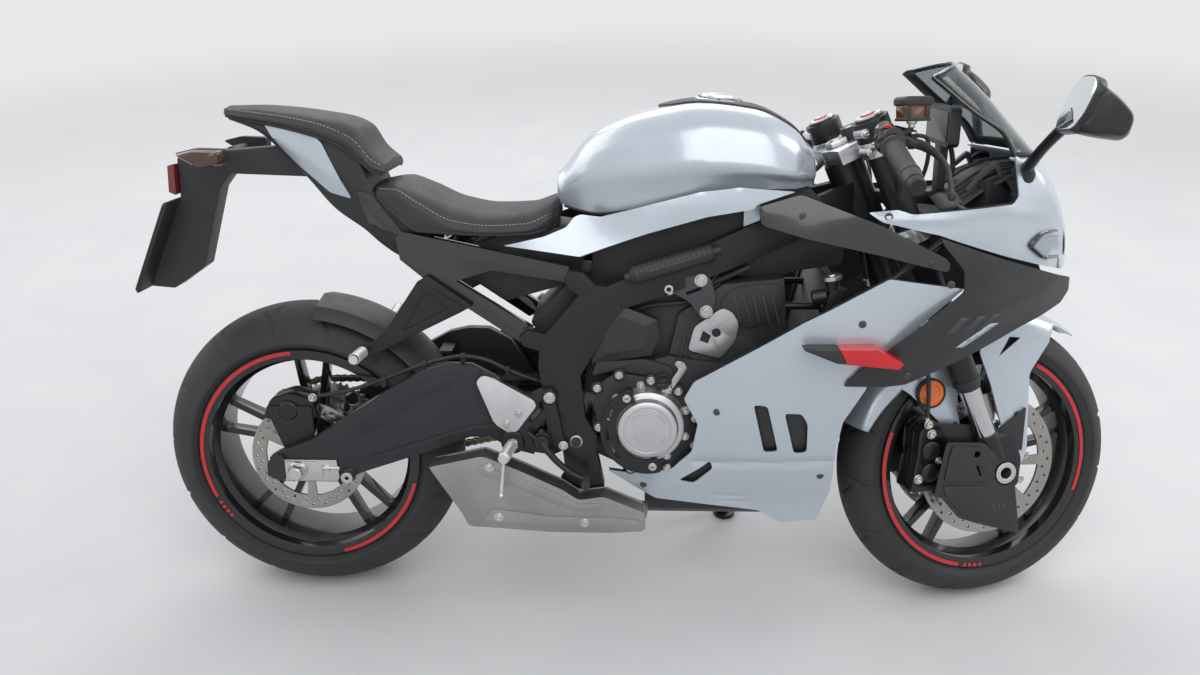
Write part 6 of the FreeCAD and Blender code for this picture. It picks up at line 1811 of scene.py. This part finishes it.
pods.done("switch_housings", "steering", MATT_BLACK)
buttons = Shape()
for side in (-1, 1):
    for y, x, z in ((180, -23, 8), (194, -22, 6), (180, -13, 21), (194, -24, -8)):
        there = on_bar(187, side) + Vector((x, 0, z))
        there.y = side * y
        buttons.lathe(there, Vector((x, 0, z)), [(-2, 5), (2.4, 5), (3.2, 4.2), (3.2, 0.5)], 16)
buttons.done("switch_buttons", "steering", GREY_PLASTIC)
stop_switch = Shape()
stop_switch.lathe(on_bar(187, -1) + Vector((-6, 0, 24)), (-0.2, 0, 1), [(0, 7), (4, 7), (5, 6), (5, 1)], 20)
stop_switch.done("stop_switch", "steering", RED)

# Levers: dogleg blades with ball ends, perches, reservoir with its window and cap
LEVER_LINE = [(28, 158, -38), (50, 170, -47), (68, 186, -54), (76, 222, -70), (73, 262, -92), (60, 298, -117),
              (48, 326, -136)]
LEVER_HALVES = [8, 9.5, 9, 7.2, 6.6, 6.2, 6.6]


def blade(made, points, halves, flat, sides=14):
    line = smooth_line(points, 6)
    rows = []
    for k, p in enumerate(line):
        along = (line[min(k + 1, len(line) - 1)] - line[max(k - 1, 0)]).normalized()
        wide = along.cross(Vector((0, 0, 1))).normalized()
        tall = wide.cross(along)
        half = cubic([j / (len(halves) - 1) for j in range(len(halves))], halves, k / (len(line) - 1))
        rows.append([p + wide * (half * flat * math.cos(2 * math.pi * j / sides))
                     + tall * (half * math.sin(2 * math.pi * j / sides)) for j in range(sides)])
    made.grid(rows, wrap=True, caps=True)


def from_bars(x, y, z):
    return BARS_AT + Vector((x, y, z))


blades_hand = Shape()
for side in (-1, 1):
    blade(blades_hand, [from_bars(x, side * y, z) for x, y, z in LEVER_LINE], LEVER_HALVES, 0.72)
    blades_hand.ball(from_bars(47, side * 328, -137), (8.5, 8.5, 8.5), 10, 18)
blades_hand.done("lever_blades", "steering", MATT_BLACK, ["levers"], 40)
perches = Shape()
for side in (-1, 1):
    perches.rod(from_bars(12, side * 158, -31), from_bars(64, side * 172, -48), 10, 8, edge=3)
    perches.lathe(on_bar(150, side), bar_way(side), [(0, 17), (1.5, 19.5), (21, 19.5), (22.5, 17)], 32)
    perches.rod(from_bars(26, side * 152, -24), from_bars(70, side * 152, -34), 8.5, edge=2)
    perches.rod(from_bars(54, side * 168, -60), from_bars(56, side * 168, -34), 6, edge=1.5)
perches.done("lever_perches", "steering", FRAME_BLACK)
lever_bolts = Shape()
for side in (-1, 1):
    lever_bolts.bolt(from_bars(56, side * 168, -33), (0, 0, 1), 6, 4, 8)
    for x, z in ((-9, 6), (-13, -12)):
        lever_bolts.bolt(on_bar(160, side) + Vector((x * 1.6, 0, z * 1.5)), (-0.8, 0, z / 14), 3.6, 4)
lever_bolts.done("lever_bolts", "steering", BRUSHED)
fluid = Shape()
in_bars = Matrix.Translation(BARS_AT)
fluid.prism(rounded([(30, -6), (76, -6), (78, 18), (28, 18)], 4), -191, -153, 2, place=in_bars)
fluid.done("reservoir_body", "steering", AMBER)
pot = Shape()
pot.prism(rounded([(26, 17), (80, 17), (81, 28), (76, 33), (30, 33), (25, 28)], 3), -195, -149, 2.5,
          place=in_bars)
pot.prism(rounded([(28, -10), (78, -10), (77, -4), (29, -4)], 2), -193, -151, 1.5, place=in_bars)
for x in (30, 66):
    pot.prism([(x, -6), (x + 9, -6), (x + 9, 18), (x, 18)], -193, -190.5, 0.8, place=in_bars)
pot.tube([from_bars(52, -171, -12), from_bars(50, -170, -24), from_bars(38, -166, -34),
          from_bars(26, -160, -36)], 5,
         steps=6, sides=14)
pot.done("reservoir_cap", "steering", MATT_BLACK)
pot_nut = Shape()
pot_nut.lathe(from_bars(52, -171, -10), (0, 0, -1), [(0, 9.5), (4, 9.5), (5, 8), (5, 6), (11, 6), (12, 5)],
              12)
pot_nut.done("reservoir_nut", "steering", BRUSHED)

# Cables and bar hoses run down into the fairing
cables = Shape()
for points, radius in (([(70, -152, -34), (98, -148, -44), (112, -120, -96), (98, -84, -170),
                         (78, -62, -232)], 4),
                       ([(2, -178, -66), (26, -168, -92), (48, -140, -130), (52, -104, -190),
                         (44, -60, -250)], 3.2),
                       ([(8, -176, -70), (34, -160, -98), (56, -130, -136), (58, -96, -196),
                         (50, -52, -252)], 3.2),
                       ([(70, 152, -34), (100, 146, -46), (114, 112, -100), (98, 74, -176), (76, 50, -236)],
                        3.4)):
    cables.tube([from_bars(*p) for p in points], radius, steps=8, sides=10)
cables.done("bar_cables", "steering", RUBBER)

# Mirrors: rounded shells, glass towards the rider, stalks on footed mounts
MIRROR = [(1367, 1012), (1399, 1094), (1435, 1069), (1466, 1038), (1456, 996), (1408, 1002)]
MIRROR_MID = Vector((1418, 0, 1040))
MIRROR_ROWS = [(262, 0.34), (268, 0.50), (282, 0.76), (305, 0.95), (332, 1.0), (355, 0.99), (372, 0.88),
               (381, 0.74),
               (383, 0.6)]
shells = Shape()
rim_line = rounded(MIRROR, 16, 5)
for side in (-1, 1):
    shells.grid([[(MIRROR_MID.x + (x - MIRROR_MID.x) * s, side * y, MIRROR_MID.z + (z - MIRROR_MID.z) * s)
                  for x, z in rim_line] for y, s in MIRROR_ROWS], wrap=True, caps=True)
    stalk = [(1388, side * 112, 908), (1394, side * 140, 934), (1400, side * 178, 968),
             (1408, side * 226, 1004),
             (1414, side * 274, 1032)]
    shells.tube(stalk, 10, steps=6, sides=18, radii=[14, 10.5, 9.5, 10.5, 15])
shells.done("mirror_shells", "chassis", MIRROR_BLACK, ["mirrors"], 34)
feet_mirror = Shape()
for side in (-1, 1):
    feet_mirror.lathe((1393, side * 116, 913), (0.05, side * 0.72, 0.69),
                      [(0, 22), (6, 21), (13, 15), (22, 12),
                                                                        (24, 10)], 28)
feet_mirror.done("mirror_mounts", "chassis", RUBBER)
GLASS = [(-46, -26), (-38, 30), (-10, 42), (34, 40), (47, 16), (45, -24), (20, -40), (-24, -40)]
mirror_glass = Shape()
mirror_frame = Shape()
for side in (-1, 1):
    along = Vector((0.364, 0, 0.932))
    out = Vector((-0.932, 0, 0.364))
    beside = Vector((0, side, 0))
    place = Matrix.Translation((1383, side * 336, 1053)) @ Matrix((along, out, beside)).transposed().to_4x4()
    mirror_frame.prism(rounded([(a * 1.07, b * 1.08) for a, b in GLASS], 12), -14, 2.4, 1.6, place=place)
    mirror_glass.prism(rounded(GLASS, 11), 1.6, 3.2, 0.5, place=place)
mirror_frame.done("mirror_bezels", "chassis", MIRROR_BLACK, (), 34)
mirror_glass.done("mirror_glasses", "chassis", MIRROR_GLASS)

# Dash on its post, with a dark display
ACROSS = Matrix(((0, 1, 0, 0), (1, 0, 0, 0), (0, 0, 1, 0), (0, 0, 0, 1)))
dash_case = Shape()
dash_case.prism(rounded([(-78, 962), (-66, 955), (66, 955), (78, 962), (78, 1024), (70, 1030), (-70, 1030),
                         (-78, 1024)], 5), 1262, 1284, 3.5, place=ACROSS)
dash_case.prism(rounded([(-16, 866), (16, 866), (20, 957), (-20, 957)], 4), 1266, 1282, 2, place=ACROSS)
dash_case.tube([(1284, 30, 965), (1300, 34, 950), (1306, 26, 918), (1302, 14, 886)], 5, steps=6, sides=12)
dash_case.done("dash_case", "chassis", MATT_BLACK, ["dash"])
display = Shape()
display.prism(rounded([(-68, 965), (68, 965), (68, 1022), (-68, 1022)], 6), 1260.4, 1262.6, 0.8, place=ACROSS)
display.done("dash_display", "chassis", DISPLAY)

# Black liner of the cockpit: side sheets, a shelf over the lamps with ribs and two duct frames
LINER = [(1180, 846), (1190, 853), (1366, 866), (1378, 878), (1371, 944), (1420, 908), (1456, 856),
         (1440, 800),
         (1260, 812)]
liner = sheet(LINER, lambda x, z: on_skin("nose", x, z) - 9, (), 14.0, 5, 2.5)
liner.done("cockpit_liners", "chassis", MATT_BLACK)
shelf = Shape()
SHELF = [(1250, 858, 118), (1292, 873, 116), (1330, 902, 112), (1372, 921, 108), (1420, 926, 100),
         (1442, 930, 70)]
shelf.grid([[(x, half * j / 10, z - 16 * (j / 10) ** 2) for j in range(-10, 11)] for x, z, half in SHELF])
shelf.done("cockpit_shelf", "chassis", MATT_BLACK, (), 30, wall=3)
ribs_shelf = Shape()
for j in (-8, -6.4, -4.8, -3.2, 3.2, 4.8, 6.4, 8):
    for side in (-2, 2):
        ribs_shelf.grid([[(x, half * j / 10 + side * 0.8, z - 16 * (j / 10) ** 2 + lift) for lift in (0, 5)]
                         for x, z, half in SHELF[1:5]])
    ribs_shelf.grid([[(x, half * j / 10 + side, z - 16 * (j / 10) ** 2 + 5) for side in (-1.6, 1.6)]
                     for x, z, half in SHELF[1:5]])
ribs_shelf.done("cockpit_ribs", "chassis", GREY_PLASTIC, (), 30)
DUCT = [(1300, 874), (1322, 908), (1352, 936), (1366, 912), (1366, 878), (1330, 868)]
duct_frames = Shape()
for side in (-1, 1):
    low, high = sorted((side * 78, side * 92))
    duct_frames.prism(rounded(DUCT, 8), low, high, 3, [rounded([(1312, 880), (1325, 899), (1350, 921),
                                                                (1357, 908),
                                                               (1357, 886), (1330, 877)], 5)])
duct_frames.done("cockpit_ducts", "chassis", GREY_PLASTIC)

# Headlamps: dished pods behind clear lenses, two projectors and a light bar each
LAMP_ORDER = rounded(LAMP, 8, 4)


def nose_depth(y, z):
    """Forward reach of the nose at a place seen from ahead."""
    edge_y = cubic([724, 796, 850, 908], [60, 76, 98, 112], z)
    mid_x = cubic([724, 775, 820, 880], [1530, 1524, 1512, 1485], z)
    side_x = cubic([724, 796, 850, 908], [1500, 1484, 1452, 1414], z)
    if y < edge_y:
        return mid_x + (side_x - mid_x) * (y / edge_y) ** 2
    near, far = 1380.0, 1560.0
    for step in range(24):
        x = (near + far) / 2
        near, far = (x, far) if on_skin("nose", x, z) > y else (near, x)
    return near


def lamp_ring(share, back):
    return [(nose_depth(92 + (y - 92) * share, 776 + (z - 776) * share) - back, 92 + (y - 92) * share,
             776 + (z - 776) * share) for y, z in LAMP_ORDER]


lenses = Shape()
lenses.grid([lamp_ring(share, 1.5) for share in (0.98, 0.8, 0.6, 0.4, 0.2)], wrap=True, caps=True)
lenses.mirror()
lenses.done("lamp_lenses", "chassis", LENS, ["headlamps"], 40)
pods_lamp = Shape()
pods_lamp.grid([lamp_ring(0.99, 5), lamp_ring(0.93, 16), lamp_ring(0.84, 44), lamp_ring(0.7, 70),
                lamp_ring(0.3, 76)],
               wrap=True, caps=True)
pods_lamp.mirror()
pods_lamp.done("lamp_pods", "chassis", GLOSS_BLACK, (), 34)
projectors = Shape()
for y, z in ((112, 782), (74, 780)):
    depth = nose_depth(y, z) - 62
    projectors.lathe((depth, -y, z), (1, 0, 0), [(0, 17), (22, 17), (24, 16), (24, 13.5), (18, 13)], 32)
projectors.mirror()
projectors.done("lamp_projectors", "chassis", CHROME)
bulbs = Shape()
for y, z in ((112, 782), (74, 780)):
    bulbs.ball((nose_depth(y, z) - 44, -y, z), (8, 13, 13), 10, 24)
bulbs.mirror()
bulbs.done("lamp_bulbs", "chassis", LAMP_WHITE)
light_bar = Shape()
light_bar.tube([(nose_depth(y, z) - 12, -y, z) for y, z in ((48, 754), (82, 758), (112, 763), (132, 782))],
               3.2,
               steps=8, sides=10)
light_bar.mirror()
light_bar.done("lamp_light_bars", "chassis", LAMP_WHITE)

# Reflectors, hoses, air guides
reflector_rims = Shape()
reflector_rims.lathe((1251, -78.3, 464), OUT_R, [(0, 28), (0.5, 30.4), (11, 30.4), (12.4, 29), (12.4, 27),
                                                 (9, 26.6)],
                     48)
reflector_rims.mirror()
reflector_rims.done("reflector_rims", "steering", MATT_BLACK)
reflector_faces = Shape()
reflector_faces.lathe((1251, -78.3, 464), OUT_R, [(8, 26.8), (10.4, 26.6), (11.2, 24), (10.2, 20), (11.4, 16),
                                                 (10.4, 12), (11.6, 8), (10.8, 4), (11.6, 0.5)], 24)
reflector_faces.mirror()
reflector_faces.done("reflector_faces", "steering", ORANGE, ["front_reflectors"], 20)
front_hoses = Shape()
front_hoses.tube([(1160, -66, 760), (1176, -76, 714), (1190, -85, 668), (1207, -91, 620), (1220, -95, 572),
                  (1231, -97.5, 528), (1238, -98, 485), (1240, -96.5, 442), (1240, -95, 399)], 4, steps=5,
                  sides=16)
front_hoses.mirror()
front_hoses.done("front_hose_runs", "steering", BRAID, ["front_brake_hoses"])
rear_hose = Shape()
rear_hose.tube([(28.5, -104, 457), (60, -107.5, 463), (95, -110, 471), (136, -113.5, 484), (178, -115.7, 500),
                (220, -115.8, 517), (263, -115.7, 533), (302, -115.7, 544), (340, -115.7, 550),
                (384, -115.5, 543),
                (428, -115, 522), (470, -114.4, 505), (512, -113.7, 492)], 4, steps=4, sides=16)
rear_hose.done("rear_hose_run", "chassis", BRAID, ["rear_brake_hose"])
GUIDE = [(1266, 373), (1348, 367), (1419, 299), (1428, 238), (1440, 168), (1358, 193), (1301, 213),
         (1261, 259),
         (1244, 262)]
GUIDE_FACE = [(1278, 366), (1343, 359), (1366, 322), (1376, 296), (1350, 287), (1263, 294), (1272, 345)]
GUIDE_LOW = [(1262, 284), (1350, 278), (1388, 262), (1420, 236), (1430, 181), (1358, 204), (1306, 222),
             (1268, 262)]
guides = Shape()
port = hole(1332, 345, 7, 20)
slot = rounded([(1330, 322), (1337, 320), (1344, 300), (1340, 299)], 1)
guides.prism(rounded(GUIDE, 7), -129, -126.3, 0.9, [hole(1400, 300, 26, 32), port, slot])
guides.prism(rounded(GUIDE_FACE, 6), -132.5, -128.6, 1.8, [port, slot])
guides.prism(rounded(GUIDE_LOW, 6), -131.2, -128.6, 1.4)
guides.mirror()
guides.done("guide_plates", "steering", MATT_BLACK, ["air_guides"], 30)
marks = Shape()
for k in range(3):
    marks.prism([(1372 + 11 * k, 236), (1377 + 11 * k, 236), (1382 + 11 * k, 226), (1377 + 11 * k, 226)],
                -131.7, -131,
                0.1)
marks.mirror()
marks.done("guide_marks", "steering", GREY_PLASTIC)

# Radiator: finned core between end tanks, with its cap and stays
CORE_UP = Vector((0.2127, 0, 0.9771))
CORE_OUT = Vector((0.9771, 0, -0.2127))
CORE_AT = Vector((997, 0, 417))
fins = Shape()
for face in (-1, 1):
    rows = []
    for k in range(148):
        depth = face * (10 + (1.6 if k % 2 else 0))
        rows.append([CORE_AT + CORE_UP * (3 + 2 * k) + CORE_OUT * depth + Vector((0, y, 0)) for y in (-149,
                                                                                                      149)])
    fins.grid(rows)
fins.done("radiator_fins", "chassis", DARK_STEEL, (), 20)
core = Shape()
core.prism([(988, 421), (1007, 417), (1069, 706), (1051, 710)], -149, 149, 0)
for k in range(31):
    for face in (-1, 1):
        base = CORE_AT + CORE_OUT * (face * 11.4)
        y = -147 + 9.8 * k
        core.grid([[base + CORE_UP * height + Vector((0, y + step, 0)) for step in (-0.9, 0.9)]
                   for height in (2, 299)])
core.done("radiator_core", "chassis", ENGINE_BLACK)
tanks = Shape()
tanks.prism(rounded([(980, 424), (1012, 416), (1078, 706), (1046, 716)], 7), -172, -148, 4)
for share in (0.22, 0.5, 0.78):
    mid = CORE_AT + CORE_UP * (300 * share)
    tanks.prism([(mid.x - 17, mid.z + 1), (mid.x + 17, mid.z - 6), (mid.x + 18, mid.z - 2),
                 (mid.x - 16, mid.z + 5)],
                -173, -147, 0.8)
tanks.rod((971.3, -104, 655), (1040, -104, 655), 7)
tanks.mirror()
tanks.rod((1052, -160, 702), (1048, -160, 724), 13, edge=2)
tanks.rod((985, 160, 452), (956, 160, 446), 15, edge=2)
tanks.rod((1040, -160, 690), (1012, -158, 684), 15, edge=2)
tanks.done("radiator_tanks", "chassis", FRAME_BLACK, ["radiator"])
radiator_cap = Shape()
radiator_cap.lathe((1048, -160, 722), (-0.2, 0, 0.98), [(0, 17), (1, 19), (6, 19), (8, 17), (8, 8), (10, 7),
                                                       (10, 1)], 20)
radiator_cap.done("radiator_cap", "chassis", BRUSHED)

# Shock: damper body, sleeve and coil spring
SHOCK_TOP = Vector((592, 0, 643))
SHOCK_WAY = (Vector((500.8, 0, 451.7)) - SHOCK_TOP).normalized()
damper = Shape()
damper.lathe(SHOCK_TOP, SHOCK_WAY, [(0, 14), (2, 15), (18, 15), (20, 23), (96, 23), (98, 12), (186, 12),
                                    (188, 15),
                                    (210, 15), (212, 13)], 36)
damper.lathe(SHOCK_TOP + SHOCK_WAY * 20, SHOCK_WAY, [(0, 24), (1, 29), (9, 29), (10, 24)], 36)
damper.lathe(SHOCK_TOP + SHOCK_WAY * 168, SHOCK_WAY, [(0, 20), (1, 29), (8, 29), (10, 22)], 36)
damper.done("shock_damper", "chassis", DARK_STEEL, ["shock"])
coil = Shape()
coil_side = Vector((0, 1, 0))
coil_other = SHOCK_WAY.cross(coil_side)
coil_line = []
for k in range(7 * 20 + 1):
    a = 2 * math.pi * k / 20
    coil_line.append(SHOCK_TOP + SHOCK_WAY * (33 + 131 * k / 140)
                     + (coil_side * math.cos(a) + coil_other * math.sin(a)) * 24.5)
coil.tube(coil_line, 4.6, sides=12, smooth=False)
coil.done("shock_spring", "chassis", CAST_SILVER)

# Tail: lamp with its light lines, indicators with their lenses, plate with its bolts
tail_lens = Shape()
tail_lens.prism(rounded([(-233, 856), (-231, 918), (-244, 914), (-247, 862)], 2.5), -42, 42, 2)
tail_lens.done("tail_lens", "chassis", RED_LENS, ["tail_lamp"])
tail_lines = Shape()
for z in (870, 882, 894, 906):
    tail_lines.rod((-245.4 + (z - 862) * 0.06, -35, z), (-245.4 + (z - 862) * 0.06, 35, z), 1.4)
tail_lines.done("tail_light_lines", "chassis", RED)
INDICATOR = [(105, 0.92, 1.0), (112, 1.0, 1.0), (125, 1.0, 1.0), (138, 0.9, 0.92), (146, 0.78, 0.8),
             (149.5, 0.6, 0.55)]
INDICATOR_RIM = [(-189, 948), (-150, 957), (-91, 955), (-93, 926), (-120, 922), (-144, 922)]
blinkers = Shape()
for side in (-1, 1):
    rim = rounded(INDICATOR_RIM, 7, 4)
    blinkers.grid([[(-140 + (x + 140) * sx, side * y, 939 + (z - 939) * sz) for x, z in rim]
                   for y, sx, sz in INDICATOR[:3]], wrap=True, caps=True)
    blinkers.grid([[(-139 + 11 * math.cos(2 * math.pi * k / 16), side * y,
                     938 + 6.5 * math.sin(2 * math.pi * k / 16))
                    for k in range(16)] for y in (26.4, 30, 50, 80, 105)], wrap=True, caps=True)
blinkers.done("indicator_bodies", "chassis", MATT_BLACK, ["rear_indicators"], 34)
blinker_lenses = Shape()
for side in (-1, 1):
    blinker_lenses.grid([[(-140 + (x + 140) * sx * 0.97, side * y, 939 + (z - 939) * sz * 0.95) for x,
                          z in rim]
                         for y, sx, sz in [(124, 1.0, 1.0)] + INDICATOR[3:]], wrap=True, caps=True)
blinker_lenses.done("indicator_lenses", "chassis", SMOKED, (), 34)
PLATE_DOWN = Vector((-81, 0, -181)).normalized()
PLATE_OUT = Vector((-0.913, 0, 0.408))
plate_place = Matrix.Translation((-276, 0, 757)) @ Matrix((Vector((0, 1, 0)), PLATE_OUT,
                                                          -PLATE_DOWN)).transposed().to_4x4()
blank = Shape()
blank.prism(rounded([(-85, -94), (85, -94), (85, 94), (-85, 94)], 8), 3.2, 4.6, 0.5, place=plate_place)
blank.done("plate_blank", "chassis", PLATE)
plate_rim = Shape()
plate_rim.prism(rounded([(-88, -97), (88, -97), (88, 97), (-88, 97)], 9), 1.6, 5.2, 0.8,
                [rounded([(-83, -92), (83, -92), (83, 92), (-83, 92)], 7)], place=plate_place)
plate_rim.done("plate_rim", "chassis", MATT_BLACK)
plate_bolts = Shape()
for y in (-55, 55):
    plate_bolts.bolt(plate_place @ Vector((y, 4.6, 70)), PLATE_OUT, 5, 3, 7)
plate_bolts.done("plate_bolts", "chassis", BRUSHED)

# Black liners behind the side panels and covers, and dark boxes that close the views between them
liner = sheet(SIDE_PANEL, lambda x, z: side_surface(x, z) - 11, (), 14.0, 5, 1.5)
liner.done("side_panel_liners", "chassis", MATT_BLACK)
liner = sheet(COVER, lambda x, z: on_skin("cover", x, z) - 5, (), 14.0, 4, 1.5)
liner.done("cover_liners", "chassis", MATT_BLACK)
stuffing = Shape()
stuffing.prism(rounded([(880, 700), (900, 760), (960, 800), (1040, 830), (1085, 800), (1085, 730),
                        (1000, 716),
                        (920, 690)], 8), -66, 66, 3)
stuffing.prism(rounded([(340, 706), (420, 650), (560, 690), (600, 790), (520, 800), (430, 790), (350, 760)],
                       10),
               -66, 66, 3)
stuffing.done("battery_and_loom", "chassis", MATT_BLACK)

# Small fasteners of the panels and dark holes in the nose arms
panel_bolts = Shape()
dark_holes = Shape()
for name, x, z in (("fairing", 838, 470), ("fairing", 1046, 330), ("fairing", 700, 290),
                   ("fairing", 1090, 660),
                   ("wing", 1240, 735), ("wing", 1180, 560), ("upper", 985, 842), ("upper", 1210, 768)):
    y = on_skin(name, x, z)
    panel_bolts.bolt((x, -y + 0.4, z), OUT_R, 5, 3.2, 7)
panel_bolts.mirror()
panel_bolts.done("panel_bolts", "chassis", DARK_STEEL)
nose_y = on_skin("nose", 1132, 848)
dark_holes.lathe((1132, -nose_y + 0.6, 848), OUT_R, [(0, 7.6), (1.4, 7.6), (2, 6.8), (2, 5), (-2, 4.6),
                                                     (-2, 0.5)], 24)
dark_holes.mirror()
dark_holes.done("nose_arm_bolts", "chassis", DARK_STEEL)


# Stage, light and camera
def stage_plane(name, half, height, material):
    mesh = bpy.data.meshes.new(name)
    corners = [(-half, -half, height), (half, -half, height), (half, half, height), (-half, half, height)]
    mesh.from_pydata(corners, [], [(0, 1, 2, 3)])
    mesh.materials.append(material)
    plane = bpy.data.objects.new(name, mesh)
    scene.collection.objects.link(plane)
    return plane


floor_mat, floor_nodes, floor_links, floor_bsdf = shader("floor")
floor_tone = ramp(floor_nodes, floor_links, noise(floor_nodes, floor_links, 3, 6), 0.3, 0.7,
                  ((0.66, 0.66, 0.665), (0.70, 0.70, 0.70)))
floor_links.new(floor_tone, floor_bsdf.inputs["Base Color"])
floor_bsdf.inputs["Roughness"].default_value = 0.85
floor_bsdf.inputs["Specular IOR Level"].default_value = 0.15
stage_plane("floor", 40, 0, floor_mat)

def shown_rays(nodes, links):
    """One for camera, glossy and transmission rays, which show the background, and nought for all others."""
    path = nodes.new("ShaderNodeLightPath")
    socket = path.outputs["Is Camera Ray"]
    for name in ("Is Transmission Ray", "Is Glossy Ray"):
        either = nodes.new("ShaderNodeMath")
        either.operation = "MAXIMUM"
        links.new(socket, either.inputs[0])
        links.new(path.outputs[name], either.inputs[1])
        socket = either.outputs["Value"]
    return socket


BACKDROP = (0.80, 0.81, 0.82, 1)
# away from the bike, the floor fades into the backdrop
floor_place = floor_nodes.new("ShaderNodeTexCoord")
distance = floor_nodes.new("ShaderNodeVectorMath")
distance.operation = "LENGTH"
floor_links.new(floor_place.outputs["Object"], distance.inputs[0])
fade = floor_nodes.new("ShaderNodeMapRange")
fade.interpolation_type = "SMOOTHSTEP"
fade.inputs["From Min"].default_value = 2.2
fade.inputs["From Max"].default_value = 6.5
floor_links.new(distance.outputs["Value"], fade.inputs["Value"])
both = floor_nodes.new("ShaderNodeMath")
both.operation = "MULTIPLY"
floor_links.new(fade.outputs["Result"], both.inputs[0])
floor_links.new(shown_rays(floor_nodes, floor_links), both.inputs[1])
glow = floor_nodes.new("ShaderNodeEmission")
glow.inputs["Color"].default_value = BACKDROP
blend = floor_nodes.new("ShaderNodeMixShader")
floor_links.new(both.outputs["Value"], blend.inputs["Fac"])
floor_links.new(floor_bsdf.outputs["BSDF"], blend.inputs[1])
floor_links.new(glow.outputs["Emission"], blend.inputs[2])
floor_links.new(blend.outputs["Shader"], floor_nodes["Material Output"].inputs["Surface"])

world = bpy.data.worlds.new("studio")
scene.world = world
world.use_nodes = True
world_nodes, world_links = world.node_tree.nodes, world.node_tree.links
background = world_nodes["Background"]
background.inputs["Color"].default_value = (0.80, 0.83, 0.88, 1)
background.inputs["Strength"].default_value = 0.55
shown = world_nodes.new("ShaderNodeBackground")
shown.inputs["Color"].default_value = BACKDROP
shown.inputs["Strength"].default_value = 1.0
mix = world_nodes.new("ShaderNodeMixShader")
world_links.new(shown_rays(world_nodes, world_links), mix.inputs["Fac"])
world_links.new(background.outputs["Background"], mix.inputs[1])
world_links.new(shown.outputs["Background"], mix.inputs[2])
world_links.new(mix.outputs["Shader"], world_nodes["World Output"].inputs["Surface"])


def softbox(name, place, target, size, power):
    data = bpy.data.lights.new(name, "AREA")
    data.shape = "RECTANGLE"
    data.size, data.size_y = size
    data.energy = power
    lamp = bpy.data.objects.new(name, data)
    lamp.location = place
    lamp.rotation_euler = (Vector(target) - Vector(place)).to_track_quat("-Z", "Y").to_euler()
    scene.collection.objects.link(lamp)


softbox("key", (0.6, -2.8, 4.4), (0, 0, 0.5), (5.5, 4.0), 118)
softbox("fill_left", (-3.6, 1.6, 3.0), (0, 0, 0.5), (4.0, 3.0), 60)
softbox("fill_front", (3.8, 0.6, 2.6), (0, 0, 0.5), (2.5, 2.5), 55)
softbox("back", (0, 3.6, 3.0), (0, 0, 0.5), (4.0, 2.0), 60)

# Camera solved from the photograph: its place from the rear axle, and its turns
CAMERA_FROM_AXLE = Vector((0.6825, -1.8118, 1.2162))
YAW, PITCH, ROLL = (math.radians(a) for a in (2.29, 27.83, 0.72))
LENS_MM = 30.27
camera_data = bpy.data.cameras.new("camera")
camera_data.lens = LENS_MM
camera_data.sensor_width = 36
camera = bpy.data.objects.new("camera", camera_data)
aim = Matrix.Rotation(YAW, 3, "Z") @ Matrix.Rotation(-PITCH, 3, "X") @ Matrix.Rotation(ROLL, 3, "Y")
right_axis, view_axis, up_axis = (aim.col[i] for i in range(3))
camera.matrix_world = Matrix.Translation(rear_axle + CAMERA_FROM_AXLE) @ Matrix(
    (right_axis, up_axis, -view_axis)).transposed().to_4x4()
scene.collection.objects.link(camera)
scene.camera = camera

scene.view_settings.view_transform = "Standard"
